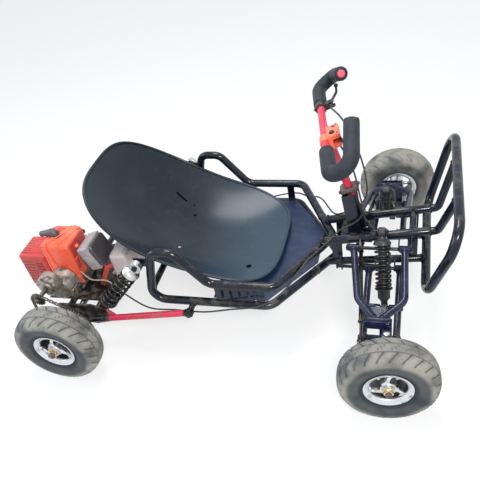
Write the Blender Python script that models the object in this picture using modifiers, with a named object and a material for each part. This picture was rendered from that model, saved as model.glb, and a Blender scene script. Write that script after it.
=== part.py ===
"""Racing kart with a tube frame, a bucket seat, four sprung wheels and a small two-stroke engine.

All lengths are metres and all angles degrees. X points forward, Y to the driver's left and Z up.
Z = 0 is the ground. The sizes are laid out from the rear axle, and one empty then moves the whole
kart back so that the origin lies on the ground under the middle of its outer box.
The kart stands as it was parked: handlebar and front wheels are turned a little to the left.
"""
import math

import bmesh
import bpy
import numpy as np
from mathutils import Matrix, Vector

for leftover in list(bpy.data.objects):
    bpy.data.objects.remove(leftover, do_unlink=True)

# Clearances
GAP = 0.0003
RUNNING = 0.0005
OPEN_PIVOT = 0.0012
TIE_END_GAP = 0.0016

# Wheels
TYRE_RADIUS = 0.130
TYRE_WIDTH = 0.088
TYRE_WALL = 0.008
TREAD_FLAT = 0.015
RIM_RADIUS = 0.0635
RIM_WIDTH = 0.0732
RIM_WALL = 0.0035
BARREL_RADIUS = 0.0515
HUB_RADIUS = 0.021
SPOKE_WIDTH = 0.017
WHEEL_STEPS = 18
WHEELBASE = 0.950
STUB_REACH = 0.091
REAR_TRACK = 0.814
STUB_RADIUS = 0.0085
AXLE_RADIUS = 0.010

# Main frame tubes
TUBE_RADIUS = 0.0127
RAIL_Y = 0.245
UPPER_RAIL_Z = 0.250
LOWER_RAIL_Z = 0.174
HOOP_FOOT_X = 0.252
HOOP_REAR_X = 0.300
HOOP_FRONT_X = 0.364
HOOP_TOP_Z = 0.363
RAIL_REAR_X = 0.450
UPPER_BEND_X = 0.640
LOWER_BEND_X = 0.622
NOSE_X = 0.773
NOSE_Z = 0.232
LOWER_NOSE_X = 0.785
LOWER_NOSE_Z = 0.166
NOSE_JOINT_Y = 0.085
FRAME_BEND = 0.040

# Front frame
LONG_Y = 0.051
LONG_REAR_X = 0.728
LONG_FRONT_X = WHEELBASE + 0.100
LONG_REAR_Z = 0.2515
LONG_SLOPE = 0.173
LOW_LONG_REAR_X = 0.748
LOW_LONG_Z = 0.176
LOW_LONG_RADIUS = 0.0115
EAR = 0.004
PIN_RADIUS = 0.005
SLEEVE_RADIUS = 0.0105
SLEEVE_LENGTH = 0.029
TIP_SLEEVE = 0.056
SHELF_Z = 0.264
SHELF_THICKNESS = 0.005

# Bumper
BUMPER_RADIUS = 0.0135
BUMPER_LOW_X = WHEELBASE + 0.093
BUMPER_LOW_Z = 0.206
BUMPER_LOW_Y = 0.197
BUMPER_TOP_X = WHEELBASE + 0.160
BUMPER_TOP_Z = 0.451
BUMPER_TOP_Y = 0.258
BUMPER_BEND = 0.065
STRUT_TOP_Y = 0.090

# Front suspension, given for one side and mirrored by a sign
ARM_PIVOT_Y = 0.080
UPPER_PIVOT_Z = 0.262
LOWER_PIVOT_Z = 0.187
ARM_REACH = 0.220
ARM_DROP = 0.055
UPPER_REAR_X = WHEELBASE - 0.107
UPPER_FRONT_X = WHEELBASE + 0.034
UPPER_KNEE_Y = 0.240
UPPER_KNEE_REAR_X = WHEELBASE - 0.083
UPPER_KNEE_FRONT_X = WHEELBASE + 0.041
UPPER_TIP_X = WHEELBASE - 0.025
LOWER_REAR_X = WHEELBASE - 0.065
LOWER_FRONT_X = WHEELBASE + 0.023
ARM_RADIUS = 0.010
KINGPIN_OUT = 0.035
KINGPIN_RADIUS = 0.006
FORK_TOP_Z = 0.190
FORK_LOW_Z = 0.082
FORK_THICKNESS = 0.006
STEER_ARM_LENGTH = 0.066
STEER_ARM_OUT = 0.008
STEER_ARM_TOP_Z = 0.170

# Springs and dampers
FRONT_SHOCK_TOP = (WHEELBASE - 0.028, 0.095, 0.335)
FRONT_SHOCK_FOOT_X = WHEELBASE - 0.014
FRONT_SHOCK_FOOT_Y = 0.205
FRONT_SPRING_RADIUS = 0.0195
FRONT_SPRING_TURNS = 8
REAR_SHOCK_Y = 0.262
REAR_SHOCK_TOP = (0.250, 0.320)
REAR_SHOCK_FOOT = (0.0925, 0.145)
REAR_SPRING_RADIUS = 0.0220
REAR_SPRING_TURNS = 7
SPRING_WIRE = 0.0032
EYE_RADIUS = 0.014
EYE_WIDTH = 0.018
PERCH_THICKNESS = 0.004
NECK = 0.034
NECK_RADIUS = 0.0085

# Steering
BAR_CENTRE = Vector((0.768, 0.0, 0.604))
CLAMP_CENTRE = Vector((0.827, 0.0, 0.413))
BAR_TURN = math.radians(12.2)
STEER_RATIO = 0.46
COLUMN_RADIUS = 0.0115
COLUMN_TAIL = 0.02915
BAR_RADIUS = 0.0105
BAR_HALF = 0.246
BAR_BEND = 0.033
HORN_FORWARD = 0.053
HORN_OUT = 0.270
HORN_RISE = 0.013
TIP_FORWARD = 0.082
TIP_Y = 0.141
TIP_RISE = 0.058
GRIP_RADIUS = 0.019
GRIP_START_Y = 0.145
GRIP_END = 0.022
PITMAN_LENGTH = 0.0305
PITMAN_HALF = 0.015
PITMAN_RISE = 0.013
PITMAN_THICKNESS = 0.006
BALL_RADIUS = 0.0071
BALL_BELOW = 0.001
TIE_PIN_RADIUS = 0.0031
TIE_ROD_RADIUS = 0.006
ROD_EYE_RADIUS = 0.0108
TIE_END_HEIGHT = 0.008
TIE_NECK_START = 0.81
POST_WIDTH = 0.055
POST_DEPTH = 0.037
POST_WALL = 0.003
POST_REAR_X = 0.823
CLAMP_DOWN = 0.200
CLAMP_SIZE = (0.050, 0.036, 0.016)

# Rear swinging frame, drawn from its pivot to the axle
SWING_PIVOT = (0.387, 0.172)
SWING_Y = 0.290
SWING_TUBE = 0.010
SWING_BEND = (0.133, 0.124)
SWING_END = (0.030, 0.104)
CARRIER_OUTLINE = (
    (-0.050, 0.098), (0.060, 0.090), (0.135, 0.112), (0.133, 0.136),
    (0.112, 0.157), (0.060, 0.172), (-0.050, 0.168),
)
CROSS_TUBES = ((-0.035, 0.134), (0.064, 0.134))
CARRIER_IN = 0.283
CARRIER_THICKNESS = 0.008
BEARING_RADIUS = 0.030
ENGINE_PLATE_Z = 0.1435
ENGINE_PLATE_THICKNESS = 0.0045
ENGINE_PLATE_LOW = (-0.115, -0.245)
ENGINE_PLATE_HIGH = (0.092, 0.020)
SPROCKET_Y = 0.345
SPROCKET_RADIUS = 0.085
SPROCKET_THICKNESS = 0.004
SPROCKET_HOLE = 0.016
SPROCKET_HOLE_REACH = 0.054
DISC_Y = 0.330
DISC_RADIUS = 0.070
DRIVE_CENTRE = (-0.055, 0.245)
DRIVE_RADIUS = 0.021
CHAIN_THICKNESS = 0.006
CHAIN_WIDTH = 0.008

# Engine
GUARD_LOW = (-0.200, -0.200, ENGINE_PLATE_Z + ENGINE_PLATE_THICKNESS + GAP)
GUARD_HIGH = (-0.104, -0.100, 0.281)
SHROUD_LOW = (-0.100, -0.200, 0.186)
SHROUD_HIGH = (-0.004, -0.092, 0.325)
SHELL_WALL = 0.003
STARTER_Z = 0.196
STARTER_RADIUS = 0.046
STARTER_FACE_Y = -0.034
HANDLE_Y = -0.060
HANDLE_Z = 0.252
FILTER_TILT = math.radians(18.0)
FILTER_CENTRE = (0.052, -0.145, 0.268)
FILTER_SIZE = (0.055, 0.090, 0.087)
INLET_START = (-0.050, -0.145, 0.238)
INLET_END = (0.026, -0.145, 0.252)
INLET_RADIUS = 0.0125
CASE_TOP = 0.210
TANK_LOW = (0.098, -0.170, 0.1495)
TANK_HIGH = (0.158, -0.030, 0.268)
TANK_CAP = (0.128, -0.075)
TANK_CAP_RADIUS = 0.019

# Seat
SEAT_FRONT = (0.623, 0.212)
SEAT_UNDER = (0.481, 0.164)
SEAT_BACK = (0.209, 0.188)
SEAT_TOP = (0.068, 0.501)
SEAT_HALF_WIDTHS = (0.225, 0.2215, 0.246)
SEAT_WALL_HEIGHTS = (0.010, 0.093, 0.086, 0.029)
SEAT_CORNER = 3.3
SEAT_CURL = 2.5
SEAT_THICKNESS = 0.004

# Floor pan
PAN_THICKNESS = 0.0025
PAN_REAR_X = 0.450
PAN_NOSE_X = 0.733
PAN_NOSE_Y = 0.072

# Cables: each starts at its lever, given in the steering frame, and runs on along the frame
CABLE_RADIUS = 0.0025
CABLE_END_GAP = 0.0008
THROTTLE_START = ((0.0135, -0.045, -0.0105), (0.0170, -0.037, -0.0160))
THROTTLE_ROUTE = (
    (0.824, -0.040, 0.555), (0.846, -0.045, 0.500), (0.858, -0.042, 0.430), (0.866, -0.040, 0.360),
    (0.845, -0.036, 0.320), (0.800, -0.040, 0.292), (0.765, -0.070, 0.268), (0.715, -0.150, 0.262),
    (0.660, -0.222, 0.215), (0.600, -0.266, 0.196), (0.500, -0.268, 0.172), (0.420, -0.266, 0.152),
    (0.330, -0.264, 0.150), (0.240, -0.262, 0.150), (0.160, -0.245, 0.190), (0.100, -0.215, 0.205),
    (0.040, -0.208, 0.200), (0.006, -0.200, 0.225),
)
BRAKE_START = ((0.028, 0.100, 0.0), (0.029, 0.088, 0.0))
BRAKE_ROUTE = (
    (0.806, 0.066, 0.592), (0.834, 0.054, 0.545), (0.856, 0.048, 0.480), (0.868, 0.046, 0.420),
    (0.870, 0.042, 0.360),
    (0.845, 0.036, 0.320), (0.800, 0.040, 0.292), (0.765, 0.070, 0.268), (0.715, 0.150, 0.262),
    (0.660, 0.222, 0.215), (0.600, 0.266, 0.196), (0.500, 0.268, 0.172), (0.420, 0.266, 0.152),
    (0.330, 0.262, 0.150), (0.240, 0.240, 0.148), (0.160, 0.222, 0.165), (0.100, 0.222, 0.190),
    (0.068, 0.262, 0.222), (0.058, 0.318, 0.228), (0.058, 0.330, 0.2045),
)

# Values worked out from the sizes above
SIDES = (("right", -1), ("left", 1))
WHEEL_TURN = BAR_TURN * STEER_RATIO
COLUMN_DOWN = (CLAMP_CENTRE - BAR_CENTRE).normalized()
COLUMN_LENGTH = (BAR_CENTRE.z - SHELF_Z) / -COLUMN_DOWN.z + COLUMN_TAIL
PITMAN_TOP = COLUMN_LENGTH - PITMAN_RISE
BALL_DROP = COLUMN_LENGTH + BALL_BELOW
COLUMN_TILT = math.atan2(CLAMP_CENTRE.x - BAR_CENTRE.x, BAR_CENTRE.z - CLAMP_CENTRE.z)
UPRIGHT_Y = ARM_PIVOT_Y + ARM_REACH
KINGPIN_Y = UPRIGHT_Y + KINGPIN_OUT
UPPER_TIP_Z = UPPER_PIVOT_Z - ARM_DROP
LOWER_TIP_Z = LOWER_PIVOT_Z - ARM_DROP
X_MIDDLE = (BUMPER_TOP_X + BUMPER_RADIUS + GUARD_LOW[0]) / 2
PAN_Z = LOWER_RAIL_Z + TUBE_RADIUS + GAP
FRONT_SHOCK_FOOT_Z = LOWER_PIVOT_Z - ARM_DROP * (FRONT_SHOCK_FOOT_Y - ARM_PIVOT_Y) / ARM_REACH

# The collections and the empties that carry the pieces
PARTS = bpy.data.collections.new("racing_kart")
CUTTERS = bpy.data.collections.new("cutters")
for collection in (PARTS, CUTTERS):
    bpy.context.scene.collection.children.link(collection)


def carrier(name, place, turn, holder):
    """Add an empty that holds pieces on a joint's axis."""
    empty = bpy.data.objects.new(name, None)
    PARTS.objects.link(empty)
    empty.parent = holder
    empty.matrix_local = Matrix.Translation(place) @ turn
    return empty


KART = carrier("kart", Vector((-X_MIDDLE, 0.0, 0.0)), Matrix.Identity(4), None)
STEERING_TURN = Matrix.Rotation(-COLUMN_TILT, 4, "Y") @ Matrix.Rotation(BAR_TURN, 4, "Z")
STEERING = carrier("steering_axis", BAR_CENTRE, STEERING_TURN, KART)


def finish(name, colour, roughness, metallic=0.0):
    """Make a material from a linear colour, a roughness and a metallic value."""
    material = bpy.data.materials.new(name)
    material.use_nodes = True
    shader = material.node_tree.nodes["Principled BSDF"]
    shader.inputs["Base Color"].default_value = (*colour, 1.0)
    shader.inputs["Roughness"].default_value = roughness
    shader.inputs["Metallic"].default_value = metallic
    return material


def finishes():
    """Return each piece's finish by a plain name."""
    return {
        "frame": finish("frame_paint", (0.012, 0.016, 0.032), 0.25),
        "pan": finish("pan_paint", (0.03, 0.05, 0.10), 0.40),
        "seat": finish("seat_plastic", (0.035, 0.045, 0.058), 0.45),
        "red": finish("red_paint", (0.62, 0.04, 0.08), 0.30),
        "foam": finish("foam_grip", (0.030, 0.033, 0.036), 0.90),
        "tyre": finish("tyre_rubber", (0.040, 0.042, 0.045), 0.85),
        "rim": finish("rim_silver", (0.55, 0.57, 0.60), 0.35, 0.9),
        "steel": finish("bright_steel", (0.60, 0.60, 0.58), 0.30, 1.0),
        "spring": finish("spring_black", (0.015, 0.015, 0.017), 0.35, 0.3),
        "chain": finish("dark_steel", (0.12, 0.11, 0.10), 0.45, 0.9),
        "casting": finish("engine_casting", (0.32, 0.30, 0.27), 0.55, 0.7),
        "shroud": finish("orange_plastic", (0.85, 0.12, 0.04), 0.40),
        "guard": finish("red_plastic", (0.48, 0.05, 0.04), 0.50),
        "grey": finish("grey_plastic", (0.30, 0.29, 0.30), 0.50),
        "black": finish("black_plastic", (0.02, 0.02, 0.022), 0.45),
        "tank": finish("tank_plastic", (0.62, 0.55, 0.52), 0.35),
        "cable": finish("cable_sheath", (0.10, 0.095, 0.085), 0.55),
    }


FINISH = finishes()


def work_object(data):
    """Put mesh or curve data in the cutters' collection while a piece is being made."""
    thing = bpy.data.objects.new("work", data)
    CUTTERS.objects.link(thing)
    thing.hide_render = True
    thing.display_type = "WIRE"
    return thing


def settled(thing):
    """Return the evaluated mesh of a work object and remove the object."""
    bpy.context.view_layer.update()
    graph = bpy.context.evaluated_depsgraph_get()
    mesh = bpy.data.meshes.new_from_object(thing.evaluated_get(graph))
    bpy.data.objects.remove(thing, do_unlink=True)
    return mesh


def cleaned(mesh):
    """Weld loose caps and point every face outwards."""
    shape = bmesh.new()
    shape.from_mesh(mesh)
    bmesh.ops.remove_doubles(shape, verts=shape.verts, dist=0.000002)
    bmesh.ops.recalc_face_normals(shape, faces=shape.faces)
    shape.to_mesh(mesh)
    shape.free()
    return mesh


def from_bmesh(shape):
    """Turn a bmesh into a mesh."""
    mesh = bpy.data.meshes.new("shape")
    shape.to_mesh(mesh)
    shape.free()
    return mesh


def box(low, high):
    """A block between two corners."""
    low = Vector(low)
    high = Vector(high)
    size = Vector([abs(value) for value in high - low])
    shape = bmesh.new()
    matrix = Matrix.Translation((low + high) / 2) @ Matrix.Diagonal((*size, 1.0))
    bmesh.ops.create_cube(shape, size=1.0, matrix=matrix)
    return from_bmesh(shape)


def strap(start, end, width, thickness, across):
    """A flat bar from start to end, as wide as width in the plane square to across."""
    start = Vector(start)
    end = Vector(end)
    along = (end - start).normalized()
    normal = Vector(across)
    normal = (normal - along * normal.dot(along)).normalized()
    side = normal.cross(along)
    turn = Matrix((along, side, normal)).transposed().to_4x4()
    size = Matrix.Diagonal(((end - start).length, width, thickness, 1.0))
    shape = bmesh.new()
    bmesh.ops.create_cube(shape, size=1.0, matrix=Matrix.Translation((start + end) / 2) @ turn @ size)
    return from_bmesh(shape)


def rod(start, end, radius, sides=8, end_radius=None):
    """A round bar between two points."""
    start = Vector(start)
    end = Vector(end)
    axis = end - start
    turn = axis.to_track_quat("Z", "Y").to_matrix().to_4x4()
    shape = bmesh.new()
    bmesh.ops.create_cone(
        shape,
        cap_ends=True,
        segments=sides,
        radius1=radius,
        radius2=radius if end_radius is None else end_radius,
        depth=axis.length,
        matrix=Matrix.Translation((start + end) / 2) @ turn,
    )
    return from_bmesh(shape)


def pipe(points, radius, resolution=2, closed=False, twist="MINIMUM"):
    """A tube along the points, as a curve with a bevel turned into a mesh."""
    curve = bpy.data.curves.new("pipe", "CURVE")
    curve.dimensions = "3D"
    curve.twist_mode = twist
    spline = curve.splines.new("POLY")
    spline.points.add(len(points) - 1)
    for knot, point in zip(spline.points, points):
        knot.co = (*point, 1.0)
    spline.use_cyclic_u = closed
    curve.bevel_depth = radius
    curve.bevel_resolution = resolution
    curve.use_fill_caps = not closed
    return cleaned(settled(work_object(curve)))


def plate(outline, thickness, matrix):
    """A flat outline in its own XY plane, given a thickness and moved by a matrix."""
    curve = bpy.data.curves.new("plate", "CURVE")
    curve.dimensions = "2D"
    curve.fill_mode = "BOTH"
    curve.extrude = thickness / 2
    spline = curve.splines.new("POLY")
    spline.points.add(len(outline) - 1)
    for knot, point in zip(spline.points, outline):
        knot.co = (point[0], point[1], 0.0, 1.0)
    spline.use_cyclic_u = True
    mesh = cleaned(settled(work_object(curve)))
    mesh.transform(matrix)
    return cleaned(mesh)


def turned(profile, steps, closed):
    """A shape turned about the Y axis from (radius, y) points, with a corner straight below."""
    shape = bmesh.new()
    corners = [shape.verts.new((radius, 0.0, height)) for radius, height in profile]
    pairs = list(zip(corners, corners[1:]))
    if closed:
        pairs.append((corners[-1], corners[0]))
    for pair in pairs:
        shape.edges.new(pair)
    thing = work_object(from_bmesh(shape))
    screw = thing.modifiers.new("turn", "SCREW")
    screw.axis = "Z"
    screw.steps = steps
    screw.render_steps = steps
    screw.use_merge_vertices = True
    screw.merge_threshold = 0.00001
    mesh = cleaned(settled(thing))
    mesh.transform(Matrix.Rotation(math.radians(90.0), 4, "Z"))
    mesh.transform(Matrix.Rotation(math.radians(-90.0), 4, "X"))
    return mesh


def flattened(mesh):
    """Weld the slivers that a Boolean leaves and join the faces that lie in one plane."""
    shape = bmesh.new()
    shape.from_mesh(mesh)
    bmesh.ops.remove_doubles(shape, verts=shape.verts, dist=0.00002)
    flat = math.radians(0.05)
    bmesh.ops.dissolve_limit(shape, angle_limit=flat, verts=shape.verts, edges=shape.edges)
    bmesh.ops.triangulate(shape, faces=[face for face in shape.faces if len(face.verts) > 4])
    shape.to_mesh(mesh)
    shape.free()
    return mesh


def rounded(mesh, width, segments=1):
    """Take the sharp edges off a block."""
    thing = work_object(mesh)
    bevel = thing.modifiers.new("edges", "BEVEL")
    bevel.width = width
    bevel.segments = segments
    bevel.limit_method = "ANGLE"
    return settled(thing)


def welded(pieces, cuts=(), solver="EXACT"):
    """Join the pieces into one body and cut the holes from it."""
    base = work_object(pieces[0])
    helpers = []
    for operation, meshes in (("UNION", pieces[1:]), ("DIFFERENCE", cuts)):
        for mesh in meshes:
            helper = work_object(mesh)
            joint = base.modifiers.new(operation.lower(), "BOOLEAN")
            joint.operation = operation
            joint.solver = solver
            joint.object = helper
            helpers.append(helper)
    mesh = settled(base)
    for helper in helpers:
        bpy.data.objects.remove(helper, do_unlink=True)
    return flattened(mesh)


def shell(low, high, wall, edge, segments, opening):
    """A rounded box with thin walls, and the hollow that runs out of it by an opening vector."""
    low, high = Vector(low), Vector(high)
    opening = Vector(opening)
    thickness = Vector((wall, wall, wall))
    inner_low = low + thickness + Vector([min(value, 0.0) for value in opening])
    inner_high = high - thickness + Vector([max(value, 0.0) for value in opening])
    outer = rounded(box(low, high), edge, segments)
    return outer, rounded(box(inner_low, inner_high), edge - wall / 2, segments)


def part(name, mesh, look, origin=None, place=None, turn=None, holder=KART):
    """Add a sub-part. Its origin is a point of its mesh, or the place where it is put."""
    if origin is not None:
        mesh.transform(Matrix.Translation(-Vector(origin)))
        place = origin
    mesh.materials.clear()
    mesh.materials.append(FINISH[look])
    mesh.shade_smooth()
    mesh.set_sharp_from_angle(angle=math.radians(38.0))
    thing = bpy.data.objects.new(name, mesh)
    PARTS.objects.link(thing)
    thing.parent = holder
    if place is not None:
        thing.location = place
    if turn is not None:
        thing.rotation_euler = (0.0, 0.0, turn)
    return thing


def bent(corners, bends, steps=3):
    """A path through the corners, each inner corner rounded to an arc of its bend radius."""
    corners = [Vector(corner) for corner in corners]
    path = [corners[0]]
    for before, corner, after, bend in zip(corners, corners[1:], corners[2:], bends):
        into = (corner - before).normalized()
        away = (after - corner).normalized()
        half = into.angle(away) / 2
        reach = bend * math.tan(half)
        centre = corner + (away - into).normalized() * bend / math.cos(half)
        first = corner - into * reach - centre
        last = corner + away * reach - centre
        for step in range(steps + 1):
            share = step / steps
            weight_a = math.sin((1 - share) * 2 * half) / math.sin(2 * half)
            weight_b = math.sin(share * 2 * half) / math.sin(2 * half)
            path.append(centre + first * weight_a + last * weight_b)
    path.append(corners[-1])
    return path


def mixed(start, end, share):
    """The point at a share of the way from start to end."""
    return Vector(start).lerp(Vector(end), share)


def at(x, y, z, side):
    """A point of one side of the kart."""
    return Vector((x, side * y, z))


def long_z(x):
    """Height of the upper front tube's centre."""
    return LONG_REAR_Z + LONG_SLOPE * (x - LONG_REAR_X)


def low_long_z(x):
    """Height of the lower front tube's centre."""
    front_x = BUMPER_LOW_X - BUMPER_RADIUS
    share = (x - LOW_LONG_REAR_X) / (front_x - LOW_LONG_REAR_X)
    return LOW_LONG_Z + (BUMPER_LOW_Z - LOW_LONG_Z) * share


def nose_joint(bend_x, bend_z, nose_x, nose_z, side, distance=0.0):
    """Where a side frame's tube meets the nose, moved inwards along the tube by a distance."""
    outer = at(bend_x, RAIL_Y, bend_z, side)
    nose = at(nose_x, 0.0, nose_z, side)
    point = mixed(outer, nose, 1 - NOSE_JOINT_Y / RAIL_Y)
    return point + (nose - outer).normalized() * distance


def steered(x, y, z):
    """A point of the straight-ahead steering frame, as it lies in the kart when turned."""
    return BAR_CENTRE + STEERING_TURN @ Vector((x, y, z))


def side_frame(word, side):
    """The hoop, both rails and the diagonals of one side, with the lugs welded to them."""
    corners = [
        nose_joint(UPPER_BEND_X, UPPER_RAIL_Z, NOSE_X, NOSE_Z, side),
        at(UPPER_BEND_X, RAIL_Y, UPPER_RAIL_Z, side),
        at(RAIL_REAR_X, RAIL_Y, UPPER_RAIL_Z, side),
        at(HOOP_FRONT_X, RAIL_Y, HOOP_TOP_Z, side),
        at(HOOP_REAR_X, RAIL_Y, HOOP_TOP_Z, side),
        at(HOOP_FOOT_X, RAIL_Y, LOWER_RAIL_Z, side),
        at(LOWER_BEND_X, RAIL_Y, LOWER_RAIL_Z, side),
        nose_joint(LOWER_BEND_X, LOWER_RAIL_Z, LOWER_NOSE_X, LOWER_NOSE_Z, side),
    ]
    bends = (FRAME_BEND, FRAME_BEND, FRAME_BEND, 0.030, FRAME_BEND, FRAME_BEND)
    pieces = [pipe(bent(corners, bends), TUBE_RADIUS)]

    # Lug, spacer and bolt that the swinging frame's front eye turns on
    pivot_x, pivot_z = SWING_PIVOT
    eye_in = SWING_Y - EYE_WIDTH / 2
    eye_out = SWING_Y + EYE_WIDTH / 2
    pieces.append(rod(at(pivot_x, RAIL_Y, pivot_z, side), at(pivot_x, eye_in - GAP, pivot_z, side), 0.009))
    pieces.append(rod(at(pivot_x, RAIL_Y, pivot_z, side), at(pivot_x, eye_out + 0.004, pivot_z, side), PIN_RADIUS))
    head = (at(pivot_x, eye_out + GAP, pivot_z, side), at(pivot_x, eye_out + 0.007, pivot_z, side))
    pieces.append(rod(*head, 0.009, 6))

    # Bracket and bolt for the top eye of the rear damper
    top_x, top_z = REAR_SHOCK_TOP
    share = (top_z - LOWER_RAIL_Z) / (HOOP_TOP_Z - LOWER_RAIL_Z)
    upright_x = HOOP_FOOT_X + (HOOP_REAR_X - HOOP_FOOT_X) * share
    shock_in = REAR_SHOCK_Y - EYE_WIDTH / 2
    shock_out = REAR_SHOCK_Y + EYE_WIDTH / 2
    bracket_y = RAIL_Y - 0.0025
    foot = at(upright_x, bracket_y, top_z, side)
    eye = at(top_x - 0.012, bracket_y, top_z, side)
    pieces.append(strap(foot, eye, 0.030, EAR, (0.0, 1.0, 0.0)))
    bolt_in = at(top_x, bracket_y, top_z, side)
    pieces.append(rod(bolt_in, at(top_x, shock_in - GAP, top_z, side), 0.0085))
    pieces.append(rod(bolt_in, at(top_x, shock_out + 0.004, top_z, side), PIN_RADIUS))
    head = (at(top_x, shock_out + GAP, top_z, side), at(top_x, shock_out + 0.006, top_z, side))
    pieces.append(rod(*head, 0.009, 6))

    # Tab between the rails ahead of the seat
    tab_x = UPPER_BEND_X - 0.045
    pieces.append(strap(at(tab_x, RAIL_Y, LOWER_RAIL_Z, side), at(tab_x, RAIL_Y, UPPER_RAIL_Z, side),
                        0.024, EAR, (0.0, 1.0, 0.0)))
    cuts = []
    if side < 0:
        # Slotted side plate, and the cross tube that ties both hoops together
        low = at(RAIL_REAR_X + 0.012, RAIL_Y - 0.002, LOWER_RAIL_Z, side)
        high = at(tab_x - 0.018, RAIL_Y + 0.002, UPPER_RAIL_Z, side)
        pieces.append(box(low, high))
        for slot in range(4):
            slot_x = RAIL_REAR_X + 0.030 + 0.026 * slot
            low = (slot_x, side * RAIL_Y - 0.010, LOWER_RAIL_Z + 0.024)
            cuts.append(box(low, (slot_x + 0.008, side * RAIL_Y + 0.010, UPPER_RAIL_Z - 0.022)))
        cross_z = LOWER_RAIL_Z + 0.036
        cross_x = HOOP_FOOT_X + (HOOP_REAR_X - HOOP_FOOT_X) * 0.036 / (HOOP_TOP_Z - LOWER_RAIL_Z)
        far_end = at(cross_x, -(RAIL_Y - TUBE_RADIUS - GAP), cross_z, side)
        pieces.append(rod(at(cross_x, RAIL_Y, cross_z, side), far_end, 0.010))
    part(f"side_frame_{word}", welded(pieces, cuts), "frame")


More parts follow.
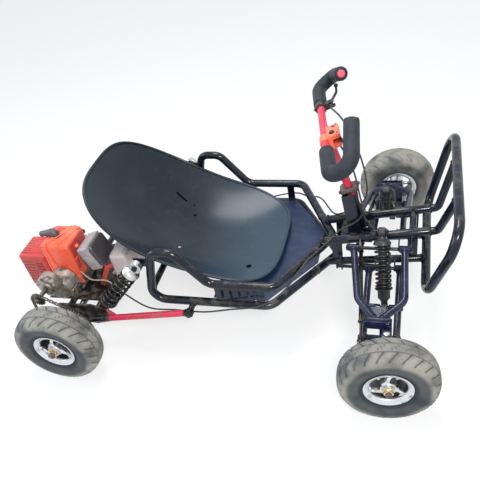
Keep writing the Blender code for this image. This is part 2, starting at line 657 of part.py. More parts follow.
def front_frame():
    """The nose, the front tubes and every bracket that the front suspension bolts to."""
    nose_corners = [
        nose_joint(UPPER_BEND_X, UPPER_RAIL_Z, NOSE_X, NOSE_Z, -1, GAP),
        Vector((NOSE_X, 0.0, NOSE_Z)),
        nose_joint(UPPER_BEND_X, UPPER_RAIL_Z, NOSE_X, NOSE_Z, 1, GAP),
    ]
    low_corners = [
        nose_joint(LOWER_BEND_X, LOWER_RAIL_Z, LOWER_NOSE_X, LOWER_NOSE_Z, -1, GAP),
        Vector((LOWER_NOSE_X, 0.0, LOWER_NOSE_Z)),
        nose_joint(LOWER_BEND_X, LOWER_RAIL_Z, LOWER_NOSE_X, LOWER_NOSE_Z, 1, GAP),
    ]
    pieces = [
        pipe(bent(nose_corners, (0.030,)), TUBE_RADIUS),
        pipe(bent(low_corners, (0.030,)), TUBE_RADIUS),
    ]
    low_front_x = BUMPER_LOW_X - BUMPER_RADIUS - GAP
    along_x = (1.0, 0.0, 0.0)
    for side in (-1, 1):
        rear = at(LONG_REAR_X, LONG_Y, long_z(LONG_REAR_X), side)
        front = at(LONG_FRONT_X, LONG_Y, long_z(LONG_FRONT_X), side)
        pieces.append(rod(rear, front, TUBE_RADIUS))
        rear = at(LOW_LONG_REAR_X, LONG_Y, low_long_z(LOW_LONG_REAR_X), side)
        front = at(low_front_x, LONG_Y, low_long_z(low_front_x), side)
        pieces.append(rod(rear, front, LOW_LONG_RADIUS))

        # Gussets between the upper and the lower tube
        for gusset_x, width in ((0.790, 0.030), (LONG_FRONT_X - 0.044, 0.024)):
            low = at(gusset_x, LONG_Y, low_long_z(gusset_x), side)
            high = at(gusset_x, LONG_Y, long_z(gusset_x), side)
            pieces.append(strap(low, high, width, 0.005, (0.0, 1.0, 0.0)))

        # Long bolts of the arms with the ears that hold them
        ends = (UPPER_REAR_X - 0.023, UPPER_FRONT_X + 0.023)
        pieces.append(rod(at(ends[0], ARM_PIVOT_Y, UPPER_PIVOT_Z, side),
                          at(ends[1], ARM_PIVOT_Y, UPPER_PIVOT_Z, side), PIN_RADIUS, 6))
        ear_reach = SLEEVE_LENGTH / 2 + EAR / 2 + RUNNING
        for centre_x in (UPPER_REAR_X, UPPER_FRONT_X):
            for step in (-1, 1):
                ear_x = centre_x + step * ear_reach
                foot = at(ear_x, LONG_Y - 0.004, long_z(ear_x) - 0.004, side)
                tip = at(ear_x, ARM_PIVOT_Y + 0.009, UPPER_PIVOT_Z, side)
                pieces.append(strap(foot, tip, 0.020, EAR, along_x))
        ends = (0.788, LOWER_FRONT_X + 0.023)
        pieces.append(rod(at(ends[0], ARM_PIVOT_Y, LOWER_PIVOT_Z, side),
                          at(ends[1], ARM_PIVOT_Y, LOWER_PIVOT_Z, side), PIN_RADIUS, 6))
        low_ears = [0.806]
        for centre_x in (LOWER_REAR_X, LOWER_FRONT_X):
            low_ears.extend((centre_x - ear_reach, centre_x + ear_reach))
        for ear_x in low_ears:
            foot = at(ear_x, LONG_Y, low_long_z(ear_x), side)
            tip = at(ear_x, ARM_PIVOT_Y + 0.009, LOWER_PIVOT_Z, side)
            pieces.append(strap(foot, tip, 0.020, EAR, along_x))

        # Tower ears and the bolt for the damper's top eye
        top_x, top_y, top_z = FRONT_SHOCK_TOP
        reach = EYE_WIDTH / 2 + EAR / 2 + GAP
        for step in (-1, 1):
            ear_x = top_x + step * reach
            foot = at(ear_x, LONG_Y - 0.002, long_z(ear_x) - 0.004, side)
            tip = mixed(foot, at(ear_x, top_y, top_z, side), 1.15)
            pieces.append(strap(foot, tip, 0.020, EAR, along_x))
        pieces.append(rod(at(top_x - 0.018, top_y, top_z, side), at(top_x + 0.018, top_y, top_z, side), PIN_RADIUS, 6))

    # Cross tubes, and the shelf that carries the post and the column's lower bearing
    cross_x = LONG_FRONT_X - 0.047
    pieces.append(rod((cross_x, -LONG_Y, long_z(cross_x)), (cross_x, LONG_Y, long_z(cross_x)), 0.010, 6))
    cross_x = LONG_FRONT_X - 0.052
    pieces.append(rod((cross_x, -LONG_Y, low_long_z(cross_x)), (cross_x, LONG_Y, low_long_z(cross_x)), 0.009, 6))
    pieces.append(box((0.800, -LONG_Y, SHELF_Z), (0.892, LONG_Y, SHELF_Z + SHELF_THICKNESS)))
    bearing_top = BAR_CENTRE + COLUMN_DOWN * (COLUMN_LENGTH - 0.050)
    bearing_foot = BAR_CENTRE + COLUMN_DOWN * (COLUMN_LENGTH - 0.022)
    pieces.append(rod(bearing_top, bearing_foot, COLUMN_RADIUS + 0.0055, 12))
    bore_top = BAR_CENTRE + COLUMN_DOWN * (COLUMN_LENGTH - 0.085)
    bore_foot = BAR_CENTRE + COLUMN_DOWN * (COLUMN_LENGTH + 0.035)
    bore = rod(bore_top, bore_foot, COLUMN_RADIUS + RUNNING, 12)
    part("front_frame", welded(pieces, [bore]), "frame")


def bumper():
    """The closed front loop with its two struts."""
    corners = [
        Vector((BUMPER_LOW_X, 0.0, BUMPER_LOW_Z)),
        Vector((BUMPER_LOW_X, BUMPER_LOW_Y, BUMPER_LOW_Z)),
        Vector((BUMPER_TOP_X, BUMPER_TOP_Y, BUMPER_TOP_Z)),
        Vector((BUMPER_TOP_X, -BUMPER_TOP_Y, BUMPER_TOP_Z)),
        Vector((BUMPER_LOW_X, -BUMPER_LOW_Y, BUMPER_LOW_Z)),
        Vector((BUMPER_LOW_X, 0.0, BUMPER_LOW_Z)),
    ]
    path = bent(corners, (BUMPER_BEND,) * 4, 4)[:-1]
    pieces = [pipe(path, BUMPER_RADIUS, closed=True)]
    ahead = Vector((1.0, 0.0, LONG_SLOPE)).normalized()
    for side in (-1, 1):
        end = at(LONG_FRONT_X, LONG_Y, long_z(LONG_FRONT_X), side)
        corners = [
            end + ahead * GAP,
            end + ahead * 0.020,
            at(BUMPER_TOP_X, STRUT_TOP_Y, BUMPER_TOP_Z, side),
        ]
        pieces.append(pipe(bent(corners, (0.018,), 2), 0.0115, 1))
    part("bumper", welded(pieces), "frame")


def floor_pan():
    """The flat pan under the driver's legs, whose top ahead of the seat is a face of its own."""
    edge = RAIL_Y - 0.006
    bend_x = LOWER_BEND_X - 0.010
    seat_x = SEAT_FRONT[0] + 0.008
    seat_y = edge + (PAN_NOSE_Y - edge) * (seat_x - bend_x) / (PAN_NOSE_X - bend_x)
    top_z = PAN_Z + PAN_THICKNESS
    shape = bmesh.new()
    rows = []
    for x, y in ((PAN_REAR_X, edge), (bend_x, edge), (seat_x, seat_y), (PAN_NOSE_X, PAN_NOSE_Y)):
        corners = ((-y, PAN_Z), (y, PAN_Z), (y, top_z), (-y, top_z))
        rows.append([shape.verts.new((x, *corner)) for corner in corners])
    for before, after in zip(rows, rows[1:]):
        for corner in range(4):
            following = (corner + 1) % 4
            shape.faces.new((before[corner], before[following], after[following], after[corner]))
    shape.faces.new(rows[0])
    shape.faces.new(rows[-1])
    part("floor_pan", cleaned(from_bmesh(shape)), "pan")


def bezier(points, share):
    """A Bezier curve of any degree through its first and last point, by repeated mixing."""
    levels = [np.asarray(point, float) for point in points]
    share = np.asarray(share, float)[..., None]
    while len(levels) > 1:
        levels = [low * (1 - share) + high * share for low, high in zip(levels, levels[1:])]
    return levels[0]


def seat_grid(across, along):
    """The seat's middle surface: a bent strip in side view, with walls that curl up at its sides.

    A square of parameters is rounded to a superellipse, so the rim has no corners. The length
    parameter runs along a Bezier curve in side view, and the width parameter spreads the surface
    sideways and lifts it along the curve's normal.
    """
    half = np.linspace(-1.0, 1.0, across)
    length = np.linspace(-1.0, 1.0, along)
    b, a = np.meshgrid(half, length)
    lengthways = a * (1 - np.abs(b) ** SEAT_CORNER / 2) ** (1 / SEAT_CORNER)
    sideways = b * (1 - np.abs(a) ** SEAT_CORNER / 2) ** (1 / SEAT_CORNER)
    share = (1 - lengthways) / 2
    profile = (SEAT_FRONT, SEAT_UNDER, SEAT_BACK, SEAT_TOP)
    centre = bezier(profile, share)
    step = 0.001
    ahead = bezier(profile, np.clip(share + step, 0, 1)) - bezier(profile, np.clip(share - step, 0, 1))
    ahead /= np.linalg.norm(ahead, axis=-1, keepdims=True)
    normal = np.stack([ahead[..., 1], -ahead[..., 0]], -1)
    width = bezier([(value,) for value in SEAT_HALF_WIDTHS], share)[..., 0]
    wall = bezier([(value,) for value in SEAT_WALL_HEIGHTS], share)[..., 0]
    lift = wall * np.abs(sideways) ** SEAT_CURL
    x = centre[..., 0] + normal[..., 0] * lift
    z = centre[..., 1] + normal[..., 1] * lift
    return np.stack([x, sideways * width, z], -1)


def seat_shell():
    """The moulded bucket seat, whose lowest point rests just above the pan."""
    across, along = 11, 13
    points = seat_grid(across, along)
    lowest = points[..., 2].min() - SEAT_THICKNESS / 2
    points[..., 2] += PAN_Z + PAN_THICKNESS + GAP - lowest
    rows = np.arange(across * along).reshape(along, across)
    faces = np.stack([rows[:-1, :-1], rows[1:, :-1], rows[1:, 1:], rows[:-1, 1:]], -1).reshape(-1, 4)
    mesh = bpy.data.meshes.new("seat")
    mesh.from_pydata(points.reshape(-1, 3).tolist(), [], faces.tolist())
    thing = work_object(mesh)
    wall = thing.modifiers.new("wall", "SOLIDIFY")
    wall.thickness = SEAT_THICKNESS
    wall.offset = 0.0
    mesh = cleaned(settled(thing))
    part("seat_shell", mesh, "seat")


def steering_post():
    """The channel that stands on the shelf behind the column, open to the front."""
    foot_z = SHELF_Z + SHELF_THICKNESS + GAP
    slope = Matrix.Rotation(-COLUMN_TILT, 4, "Y")
    under = BAR_CENTRE + COLUMN_DOWN * (CLAMP_DOWN + CLAMP_SIZE[2] / 2 + GAP)
    top_rear = under + slope @ Vector((-0.0235, 0.0, 0.0))
    top_front = under + slope @ Vector((POST_DEPTH - 0.0235, 0.0, 0.0))
    outline = [
        (POST_REAR_X, foot_z),
        (POST_REAR_X + POST_DEPTH, foot_z),
        (top_front.x, top_front.z),
        (top_rear.x, top_rear.z),
    ]
    inside = [
        (POST_REAR_X + POST_WALL, foot_z - 0.010),
        (POST_REAR_X + 2 * POST_DEPTH, foot_z - 0.010),
        (top_front.x + POST_DEPTH, top_front.z + 0.020),
        (top_rear.x + POST_WALL, top_rear.z + 0.020),
    ]
    upright = Matrix.Rotation(math.radians(90.0), 4, "X")
    body = plate(outline, POST_WIDTH, upright)
    hollow = plate(inside, POST_WIDTH - 2 * POST_WALL, upright)
    mesh = welded([body], [hollow])
    flange = box((POST_REAR_X - 0.011, -0.0375, foot_z), (POST_REAR_X + 0.024, 0.0375, foot_z + 0.003))
    part("steering_post", welded([mesh, flange]), "frame")


def column_clamp():
    """The bearing block at the top of the post, with its two clamp bolts."""
    length, width, height = CLAMP_SIZE
    block = rounded(box((-length / 2, -width / 2, -height / 2), (length / 2, width / 2, height / 2)), 0.002)
    pieces = [block]
    for step in (-1, 1):
        y = step * (width / 2 - 0.005)
        pieces.append(rod((-length / 2 - 0.004, y, 0.0), (length / 2 + 0.004, y, 0.0), 0.0040, 6))
    bore = rod((0.0, 0.0, -height), (0.0, 0.0, height), COLUMN_RADIUS + RUNNING, 12)
    mesh = welded(pieces, [bore])
    mesh.transform(Matrix.Rotation(-COLUMN_TILT, 4, "Y"))
    part("column_clamp", mesh, "steel", place=BAR_CENTRE + COLUMN_DOWN * CLAMP_DOWN)


def bar_path(side):
    """Half of the handlebar's loop, from its middle out, round and back in to its open tip."""
    corners = [
        (0.0, 0.0, 0.0),
        (0.0, side * BAR_HALF, 0.0),
        (HORN_FORWARD, side * HORN_OUT, HORN_RISE),
        (TIP_FORWARD, side * TIP_Y, TIP_RISE),
    ]
    return bent(corners, (BAR_BEND, BAR_BEND), 4)


def whole_bar():
    """The bar's whole path, from the right tip to the left one."""
    return bar_path(-1)[::-1] + bar_path(1)[1:]


def handlebar():
    """The looped bar, its stem, the column and the plate that moves the tie rods, as one weldment."""
    pieces = [pipe(whole_bar(), BAR_RADIUS)]
    pieces.append(rod((0.0, 0.0, 0.0), (0.0, 0.0, -COLUMN_LENGTH), COLUMN_RADIUS, 12))
    plate_foot = -PITMAN_TOP - PITMAN_THICKNESS
    width = PITMAN_HALF + 0.011
    pieces.append(box((-PITMAN_LENGTH - 0.012, -width, plate_foot), (0.016, width, -PITMAN_TOP)))
    for side in (-1, 1):
        centre = Vector((-PITMAN_LENGTH, side * PITMAN_HALF, 0.0))
        ball_foot = -BALL_DROP - BALL_RADIUS - GAP
        pin_foot = centre + Vector((0.0, 0.0, ball_foot - 0.004))
        pieces.append(rod(centre + Vector((0.0, 0.0, -PITMAN_TOP)), pin_foot, TIE_PIN_RADIUS))
        pieces.append(rod(centre + Vector((0.0, 0.0, ball_foot)), pin_foot, 0.006, 6))
    part("handlebar", welded(pieces), "red", holder=STEERING)


def cut_path(path, start, end):
    """The stretch of a path between two distances along it."""
    result = []
    travelled = 0.0
    for before, after in zip(path, path[1:]):
        length = (after - before).length
        for distance in (start, end):
            if travelled <= distance < travelled + length:
                result.append(mixed(before, after, (distance - travelled) / length))
        if start < travelled + length < end:
            result.append(after)
        travelled += length
    return result


def grip(word, side):
    """The foam sleeve that follows the bar round its bend."""
    path = bar_path(side)
    length = sum((after - before).length for before, after in zip(path, path[1:]))
    outer = pipe(cut_path(path, GRIP_START_Y, length - GRIP_END), GRIP_RADIUS)
    bore = pipe(whole_bar(), BAR_RADIUS + GAP)
    part(f"grip_{word}", welded([outer], [bore]), "foam", holder=STEERING)


LEVER_PIVOT = Vector((0.030, 0.118, 0.0))
TRIGGER_PIVOT = Vector((0.029, -0.060, 0.0))


def brake_perch():
    """The clamp on the bar that holds the brake lever between two cheeks."""
    bar_bore = rod((0.0, 0.09, 0.0), (0.0, 0.16, 0.0), BAR_RADIUS + GAP)
    clamp = rod((0.0, 0.108, 0.0), (0.0, 0.130, 0.0), 0.0160, 14)
    cheek = box((0.0, 0.110, -0.0095), (0.040, 0.127, 0.0095))
    barrel = rod((0.028, 0.100, 0.0), (0.028, 0.112, 0.0), 0.0045, 8)
    slot = box((0.019, 0.1115, -0.0050), (0.050, 0.160, 0.0050))
    pin = rod(LEVER_PIVOT + Vector((0, 0, -0.0095)), LEVER_PIVOT + Vector((0, 0, 0.0095)), 0.0025, 8)
    body = welded([clamp, cheek, barrel], [slot, bar_bore])
    part("brake_perch", welded([body, pin]), "black", holder=STEERING)


def brake_lever():
    """The bent lever blade, made about its pivot."""
    corners = [(0.0, 0.0, 0.0), (0.004, 0.020, 0.0), (0.020, 0.060, 0.0), (0.022, 0.105, 0.0)]
    blade = pipe(bent(corners, (0.020, 0.030), 2), 0.0042, 1)
    ball = rod((0.022, 0.100, 0.0), (0.022, 0.112, 0.0), 0.0062, 10)
    boss = rod((0.0, 0.0, -0.0045), (0.0, 0.0, 0.0045), 0.0058, 12)
    bore = rod((0.0, 0.0, -0.02), (0.0, 0.0, 0.02), 0.0025 + RUNNING, 8)
    mesh = welded([blade, ball, boss], [bore])
    part("brake_lever", mesh, "black", place=LEVER_PIVOT, holder=STEERING)


def throttle_housing():
    """The orange throttle body clamped on the bar, with the cheeks of its trigger."""
    body = rounded(box((-0.018, -0.105, -0.017), (0.020, -0.045, 0.017)), 0.004)
    cheek = box((0.010, -0.068, -0.010), (0.036, -0.052, 0.010))
    button = rod((-0.004, -0.088, 0.010), (-0.004, -0.088, 0.021), 0.006, 10)
    slot = box((0.0205, -0.150, -0.0050), (0.050, -0.0505, 0.0050))
    bar_bore = rod((0.0, -0.12, 0.0), (0.0, -0.03, 0.0), BAR_RADIUS + GAP)
    pin = rod(TRIGGER_PIVOT + Vector((0, 0, -0.0095)), TRIGGER_PIVOT + Vector((0, 0, 0.0095)), 0.0025, 8)
    mesh = welded([body, cheek, button], [slot, bar_bore])
    part("throttle_housing", welded([mesh, pin]), "shroud", holder=STEERING)


def throttle_trigger():
    """The finger lever of the throttle."""
    corners = [(0.0, 0.0, 0.0), (0.006, -0.020, 0.0), (0.016, -0.062, 0.0)]
    blade = pipe(bent(corners, (0.030,), 2), 0.0042, 1)
    boss = rod((0.0, 0.0, -0.0045), (0.0, 0.0, 0.0045), 0.0056, 12)
    bore = rod((0.0, 0.0, -0.02), (0.0, 0.0, 0.02), 0.0025 + RUNNING, 8)
    part("throttle_trigger", welded([blade, boss], [bore]), "black", place=TRIGGER_PIVOT, holder=STEERING)


def knuckle_ball(side):
    """The tie rod's outer end, above the knuckle's arm."""
    arm = Vector((-STEER_ARM_LENGTH, side * STEER_ARM_OUT, 0.0))
    arm.rotate(Matrix.Rotation(WHEEL_TURN, 3, "Z"))
    z = STEER_ARM_TOP_Z + TIE_END_GAP + TIE_END_HEIGHT / 2
    return at(WHEELBASE, KINGPIN_Y, z, side) + arm


def tie_rod(word, side):
    """The ball on the steering plate, and the rod from it to the knuckle."""
    centre = Vector((-PITMAN_LENGTH, side * PITMAN_HALF, -BALL_DROP))
    shape = bmesh.new()
    bmesh.ops.create_uvsphere(shape, u_segments=8, v_segments=5, radius=BALL_RADIUS)
    hole = rod((0.0, 0.0, -0.02), (0.0, 0.0, 0.02), TIE_PIN_RADIUS + 0.0004)
    part(f"tie_rod_ball_{word}", welded([from_bmesh(shape)], [hole]), "steel", place=centre, holder=STEERING)

    inner = steered(*centre)
    outer = knuckle_ball(side)
    up = -COLUMN_DOWN
    eye = rod(inner - up * 0.0035, inner + up * 0.0035, ROD_EYE_RADIUS, 12)
    bore = rod(inner - up * 0.01, inner + up * 0.01, BALL_RADIUS + RUNNING, 12)
    half = Vector((0.0, 0.0, TIE_END_HEIGHT / 2))
    end = rod(outer - half, outer + half, ROD_EYE_RADIUS, 12)
    head = rod(outer, outer + half * 2, 0.006, 6)
    shank = rod(mixed(inner, outer, 0.025), mixed(inner, outer, TIE_NECK_START), TIE_ROD_RADIUS)
    neck = rod(mixed(inner, outer, TIE_NECK_START - 0.02), outer, 0.0038, 6)
    nut_a = rod(mixed(inner, outer, 0.08), mixed(inner, outer, 0.105), 0.008, 6)
    lock = (mixed(inner, outer, TIE_NECK_START - 0.01), mixed(inner, outer, TIE_NECK_START + 0.015))
    nut_b = rod(*lock, 0.008, 6)
    mesh = welded([eye, shank, neck, end, head, nut_a, nut_b], [bore])
    part(f"tie_rod_{word}", mesh, "steel", origin=inner)


def sleeve(centre_x, y, z, side, length=SLEEVE_LENGTH):
    """A bush along X and the bore that goes through it."""
    centre = at(centre_x, y, z, side)
    half = Vector((length / 2, 0.0, 0.0))
    bush = rod(centre - half, centre + half, SLEEVE_RADIUS)
    bore = rod(centre - half * 1.5, centre + half * 1.5, PIN_RADIUS + RUNNING)
    return bush, bore


def upper_arm(word, side):
    """The upper A-arm: two legs that bend in to the bush at its tip."""
    pieces, cuts = [], []
    knee_z = UPPER_PIVOT_Z - ARM_DROP * (UPPER_KNEE_Y - ARM_PIVOT_Y) / ARM_REACH
    for x, knee_x, tip_x in (
        (UPPER_REAR_X, UPPER_KNEE_REAR_X, UPPER_TIP_X - 0.008),
        (UPPER_FRONT_X, UPPER_KNEE_FRONT_X, UPPER_TIP_X + 0.008),
    ):
        bush, bore = sleeve(x, ARM_PIVOT_Y, UPPER_PIVOT_Z, side)
        corners = [
            at(x, ARM_PIVOT_Y + 0.003, UPPER_PIVOT_Z, side),
            at(knee_x, UPPER_KNEE_Y, knee_z, side),
            at(tip_x, UPRIGHT_Y - 0.003, UPPER_TIP_Z, side),
        ]
        pieces.extend((bush, pipe(bent(corners, (0.035,), 2), ARM_RADIUS, 1)))
        cuts.append(bore)
    bush, bore = sleeve(UPPER_TIP_X, UPRIGHT_Y, UPPER_TIP_Z, side, TIP_SLEEVE)
    pieces.append(bush)
    cuts.append(bore)
    pieces.append(strap(at(UPPER_TIP_X, UPRIGHT_Y - 0.036, UPPER_TIP_Z + 0.009, side),
                        at(UPPER_TIP_X, UPRIGHT_Y - 0.004, UPPER_TIP_Z + 0.001, side),
                        0.044, 0.004, (0.0, 0.0, 1.0)))
    pivot = at(UPPER_TIP_X, ARM_PIVOT_Y, UPPER_PIVOT_Z, side)
    part(f"upper_arm_{word}", welded(pieces, cuts), "frame", origin=pivot)


def lower_arm(word, side):
    """The lower arm: two straight legs, the damper's cross bar and the bolt for the upright."""
    pieces, cuts = [], []
    middle_x = (LOWER_REAR_X + LOWER_FRONT_X) / 2
    for x in (LOWER_REAR_X, LOWER_FRONT_X):
        bush, bore = sleeve(x, ARM_PIVOT_Y, LOWER_PIVOT_Z, side)
        leg = rod(at(x, ARM_PIVOT_Y + 0.003, LOWER_PIVOT_Z - 0.001, side),
                  at(x, UPRIGHT_Y, LOWER_TIP_Z, side), ARM_RADIUS, 8)
        step = 0.0085
        ring = rod(at(x - step, UPRIGHT_Y, LOWER_TIP_Z, side), at(x + step, UPRIGHT_Y, LOWER_TIP_Z, side),
                   SLEEVE_RADIUS)
        pieces.extend((bush, leg, ring))
        cuts.append(bore)
    for y, z in ((UPRIGHT_Y, LOWER_TIP_Z), (FRONT_SHOCK_FOOT_Y, FRONT_SHOCK_FOOT_Z)):
        pieces.append(rod(at(LOWER_REAR_X, y, z, side), at(LOWER_FRONT_X, y, z, side), PIN_RADIUS))
    reach = EYE_WIDTH / 2 + OPEN_PIVOT
    foot_y, foot_z = FRONT_SHOCK_FOOT_Y, FRONT_SHOCK_FOOT_Z
    for start, end in (
        (LOWER_REAR_X, FRONT_SHOCK_FOOT_X - reach),
        (FRONT_SHOCK_FOOT_X + reach, LOWER_FRONT_X),
    ):
        pieces.append(rod(at(start, foot_y, foot_z, side), at(end, foot_y, foot_z, side), 0.0085))
    pivot = at(middle_x, ARM_PIVOT_Y, LOWER_PIVOT_Z, side)
    part(f"lower_arm_{word}", welded(pieces, cuts), "frame", origin=pivot)


def upright(word, side):
    """The carrier between both arms, with the forks that hold the kingpin."""
    x = WHEELBASE
    back_y = UPRIGHT_Y + SLEEVE_RADIUS + 0.0013
    face_y = back_y + 0.0038
    ear_reach = TIP_SLEEVE / 2 + RUNNING + EAR / 2
    bush, bore = sleeve((LOWER_REAR_X + LOWER_FRONT_X) / 2, UPRIGHT_Y, LOWER_TIP_Z, side, 0.068)
    top_z = UPPER_TIP_Z + SLEEVE_RADIUS
    pieces = [
        bush,
        box(at(x - 0.020, UPRIGHT_Y + 0.0075, FORK_LOW_Z, side), at(x + 0.012, face_y, UPPER_TIP_Z - 0.0125, side)),
        box(at(UPPER_TIP_X - ear_reach - EAR / 2, back_y, FORK_TOP_Z, side), at(x + 0.012, face_y, top_z, side)),
        rod(at(UPPER_TIP_X - ear_reach, UPRIGHT_Y, UPPER_TIP_Z, side),
            at(UPPER_TIP_X + ear_reach, UPRIGHT_Y, UPPER_TIP_Z, side), PIN_RADIUS),
    ]
    for step in (-1, 1):
        ear_x = UPPER_TIP_X + step * ear_reach
        pieces.append(box(at(ear_x - EAR / 2, UPRIGHT_Y - 0.0065, UPPER_TIP_Z - 0.009, side),
                          at(ear_x + EAR / 2, face_y - 0.001, UPPER_TIP_Z + 0.009, side)))
    for z in (FORK_LOW_Z, FORK_TOP_Z):
        pieces.append(box(at(x - 0.013, back_y, z, side), at(x + 0.0115, KINGPIN_Y + 0.013, z + FORK_THICKNESS, side)))
    pieces.append(rod(at(x, KINGPIN_Y, FORK_LOW_Z - 0.004, side),
                      at(x, KINGPIN_Y, FORK_TOP_Z + FORK_THICKNESS + 0.004, side), KINGPIN_RADIUS, 10))
    pieces.append(rod(at(x, KINGPIN_Y, FORK_TOP_Z + 0.002, side),
                      at(x, KINGPIN_Y, FORK_TOP_Z + FORK_THICKNESS + 0.005, side), 0.009, 6))
    pivot = at((LOWER_REAR_X + LOWER_FRONT_X) / 2, UPRIGHT_Y, LOWER_TIP_Z, side)
    part(f"upright_{word}", welded(pieces, [bore]), "frame", origin=pivot)


def knuckle(word, side):
    """The steering knuckle: barrel, stub axle, wheel nut and steering arm, made about the kingpin."""
    low = FORK_LOW_Z + FORK_THICKNESS + RUNNING
    high = FORK_TOP_Z - RUNNING
    shoulder = STUB_REACH - RIM_WIDTH / 2 - GAP
    nut = STUB_REACH + RIM_WIDTH / 2 + 0.0004 + GAP
    arm_low = STEER_ARM_TOP_Z - 0.009
    arm_end = (-STEER_ARM_LENGTH, side * STEER_ARM_OUT)
    z = TYRE_RADIUS
    middle = STEER_ARM_TOP_Z - 0.0045
    pieces = [
        rod((0.0, 0.0, low), (0.0, 0.0, high), 0.012, 12),
        rod((0.0, side * 0.009, z), (0.0, side * (nut + 0.014), z), STUB_RADIUS, 12),
        rod((0.0, side * 0.0085, z), (0.0, side * shoulder, z), 0.0137, 10, 0.0115),
        rod((0.0, side * nut, z), (0.0, side * (nut + 0.009), z), 0.0130, 6),
        strap((-0.009, side * 0.001, middle), (*arm_end, middle), 0.015, 0.006, (0.0, 0.0, 1.0)),
        rod((*arm_end, arm_low - 0.006), (*arm_end, STEER_ARM_TOP_Z), 0.0095),
    ]
    bore = rod((0.0, 0.0, 0.05), (0.0, 0.0, 0.22), KINGPIN_RADIUS + RUNNING, 10)
    place = at(WHEELBASE, KINGPIN_Y, 0.0, side)
    part(f"knuckle_{word}", welded(pieces, [bore], "MANIFOLD"), "steel", place=place, turn=WHEEL_TURN)


def coil(start, end, radius, wire, turns, per_turn=8):
    """The points of a spring between two perches.

    The wire leaves each perch straight along the axis for its own diameter and then winds about
    the axis as a helix of constant rise.
    """
    start, end = Vector(start), Vector(end)
    axis = (end - start).normalized()
    out = axis.cross(Vector((0.0, 0.0, 1.0))).normalized()
    side = axis.cross(out)
    length = (end - start).length
    lead = 2 * wire
    count = turns * per_turn
    points = [start + out * radius]
    for step in range(count + 1):
        share = step / count
        angle = 2 * math.pi * turns * share
        along = lead + (length - 2 * lead) * share
        points.append(start + axis * along + (out * math.cos(angle) + side * math.sin(angle)) * radius)
    points.append(end + out * radius)
    return points


def least_gap(points, wire, per_turn=8):
    """The smallest distance between the surfaces of a coil's neighbouring turns, on its points."""
    array = np.array([tuple(point) for point in points[1:-1]])
    distances = [
        np.linalg.norm(array[skip:] - array[:-skip], axis=1).min()
        for skip in range(per_turn // 2, per_turn + per_turn // 2 + 1)
    ]
    return min(distances) - 2 * wire


def damper(name, top, foot, pin_axis, spring_radius, turns):
    """A coil-over damper between two eyes: the body above, the rod below and the spring round both."""
    top, foot = Vector(top), Vector(foot)
    axis = (foot - top).normalized()
    length = (foot - top).length
    across = Vector(pin_axis)
    half = across * EYE_WIDTH / 2
    perch_radius = spring_radius + SPRING_WIRE + 0.002
    top_perch = NECK
    low_perch = length - NECK

    def along(distance):
        return top + axis * distance

    body = [
        rod(top - half, top + half, EYE_RADIUS, 10),
        rod(along(0.004), along(top_perch), NECK_RADIUS),
        rod(along(top_perch - PERCH_THICKNESS), along(top_perch), perch_radius, 14),
        rod(along(top_perch - 0.001), along(length * 0.60), 0.0120),
    ]
    cuts = [
        rod(top - half * 2, top + half * 2, PIN_RADIUS + RUNNING),
        rod(along(length * 0.30), along(length * 0.62), 0.0066, 10),
    ]
    part(f"{name}_body", welded(body, cuts), "black", origin=top)

    lower = [
        rod(foot - half, foot + half, EYE_RADIUS, 10),
        rod(along(low_perch + 0.001), along(length - 0.004), NECK_RADIUS),
        rod(along(low_perch), along(low_perch + PERCH_THICKNESS), perch_radius, 14),
        rod(along(length * 0.41), along(low_perch + 0.002), 0.0061, 10),
    ]
    bore = rod(foot - half * 2, foot + half * 2, PIN_RADIUS + OPEN_PIVOT, 12)
    part(f"{name}_rod", welded(lower, [bore]), "steel", origin=foot)

    points = coil(along(top_perch + GAP), along(low_perch - GAP), spring_radius, SPRING_WIRE, turns)
    print(f"{name}_spring least gap between turns {least_gap(points, SPRING_WIRE) * 1000:.2f} mm")
    part(f"{name}_spring", pipe(points, SPRING_WIRE, 1), "spring", origin=top)


def front_damper(word, side):
    """The damper from the tower bolt to the lower arm's cross bar."""
    x, y, z = FRONT_SHOCK_TOP
    top = at(x, y, z, side)
    foot = at(FRONT_SHOCK_FOOT_X, FRONT_SHOCK_FOOT_Y, FRONT_SHOCK_FOOT_Z, side)
    damper(f"front_damper_{word}", top, foot, (1.0, 0.0, 0.0), FRONT_SPRING_RADIUS, FRONT_SPRING_TURNS)


def rear_damper(word, side):
    """The damper from the hoop's bracket to the swinging frame."""
    top = at(REAR_SHOCK_TOP[0], REAR_SHOCK_Y, REAR_SHOCK_TOP[1], side)
    foot = at(REAR_SHOCK_FOOT[0], REAR_SHOCK_Y, REAR_SHOCK_FOOT[1], side)
    damper(f"rear_damper_{word}", top, foot, (0.0, 1.0, 0.0), REAR_SPRING_RADIUS, REAR_SPRING_TURNS)


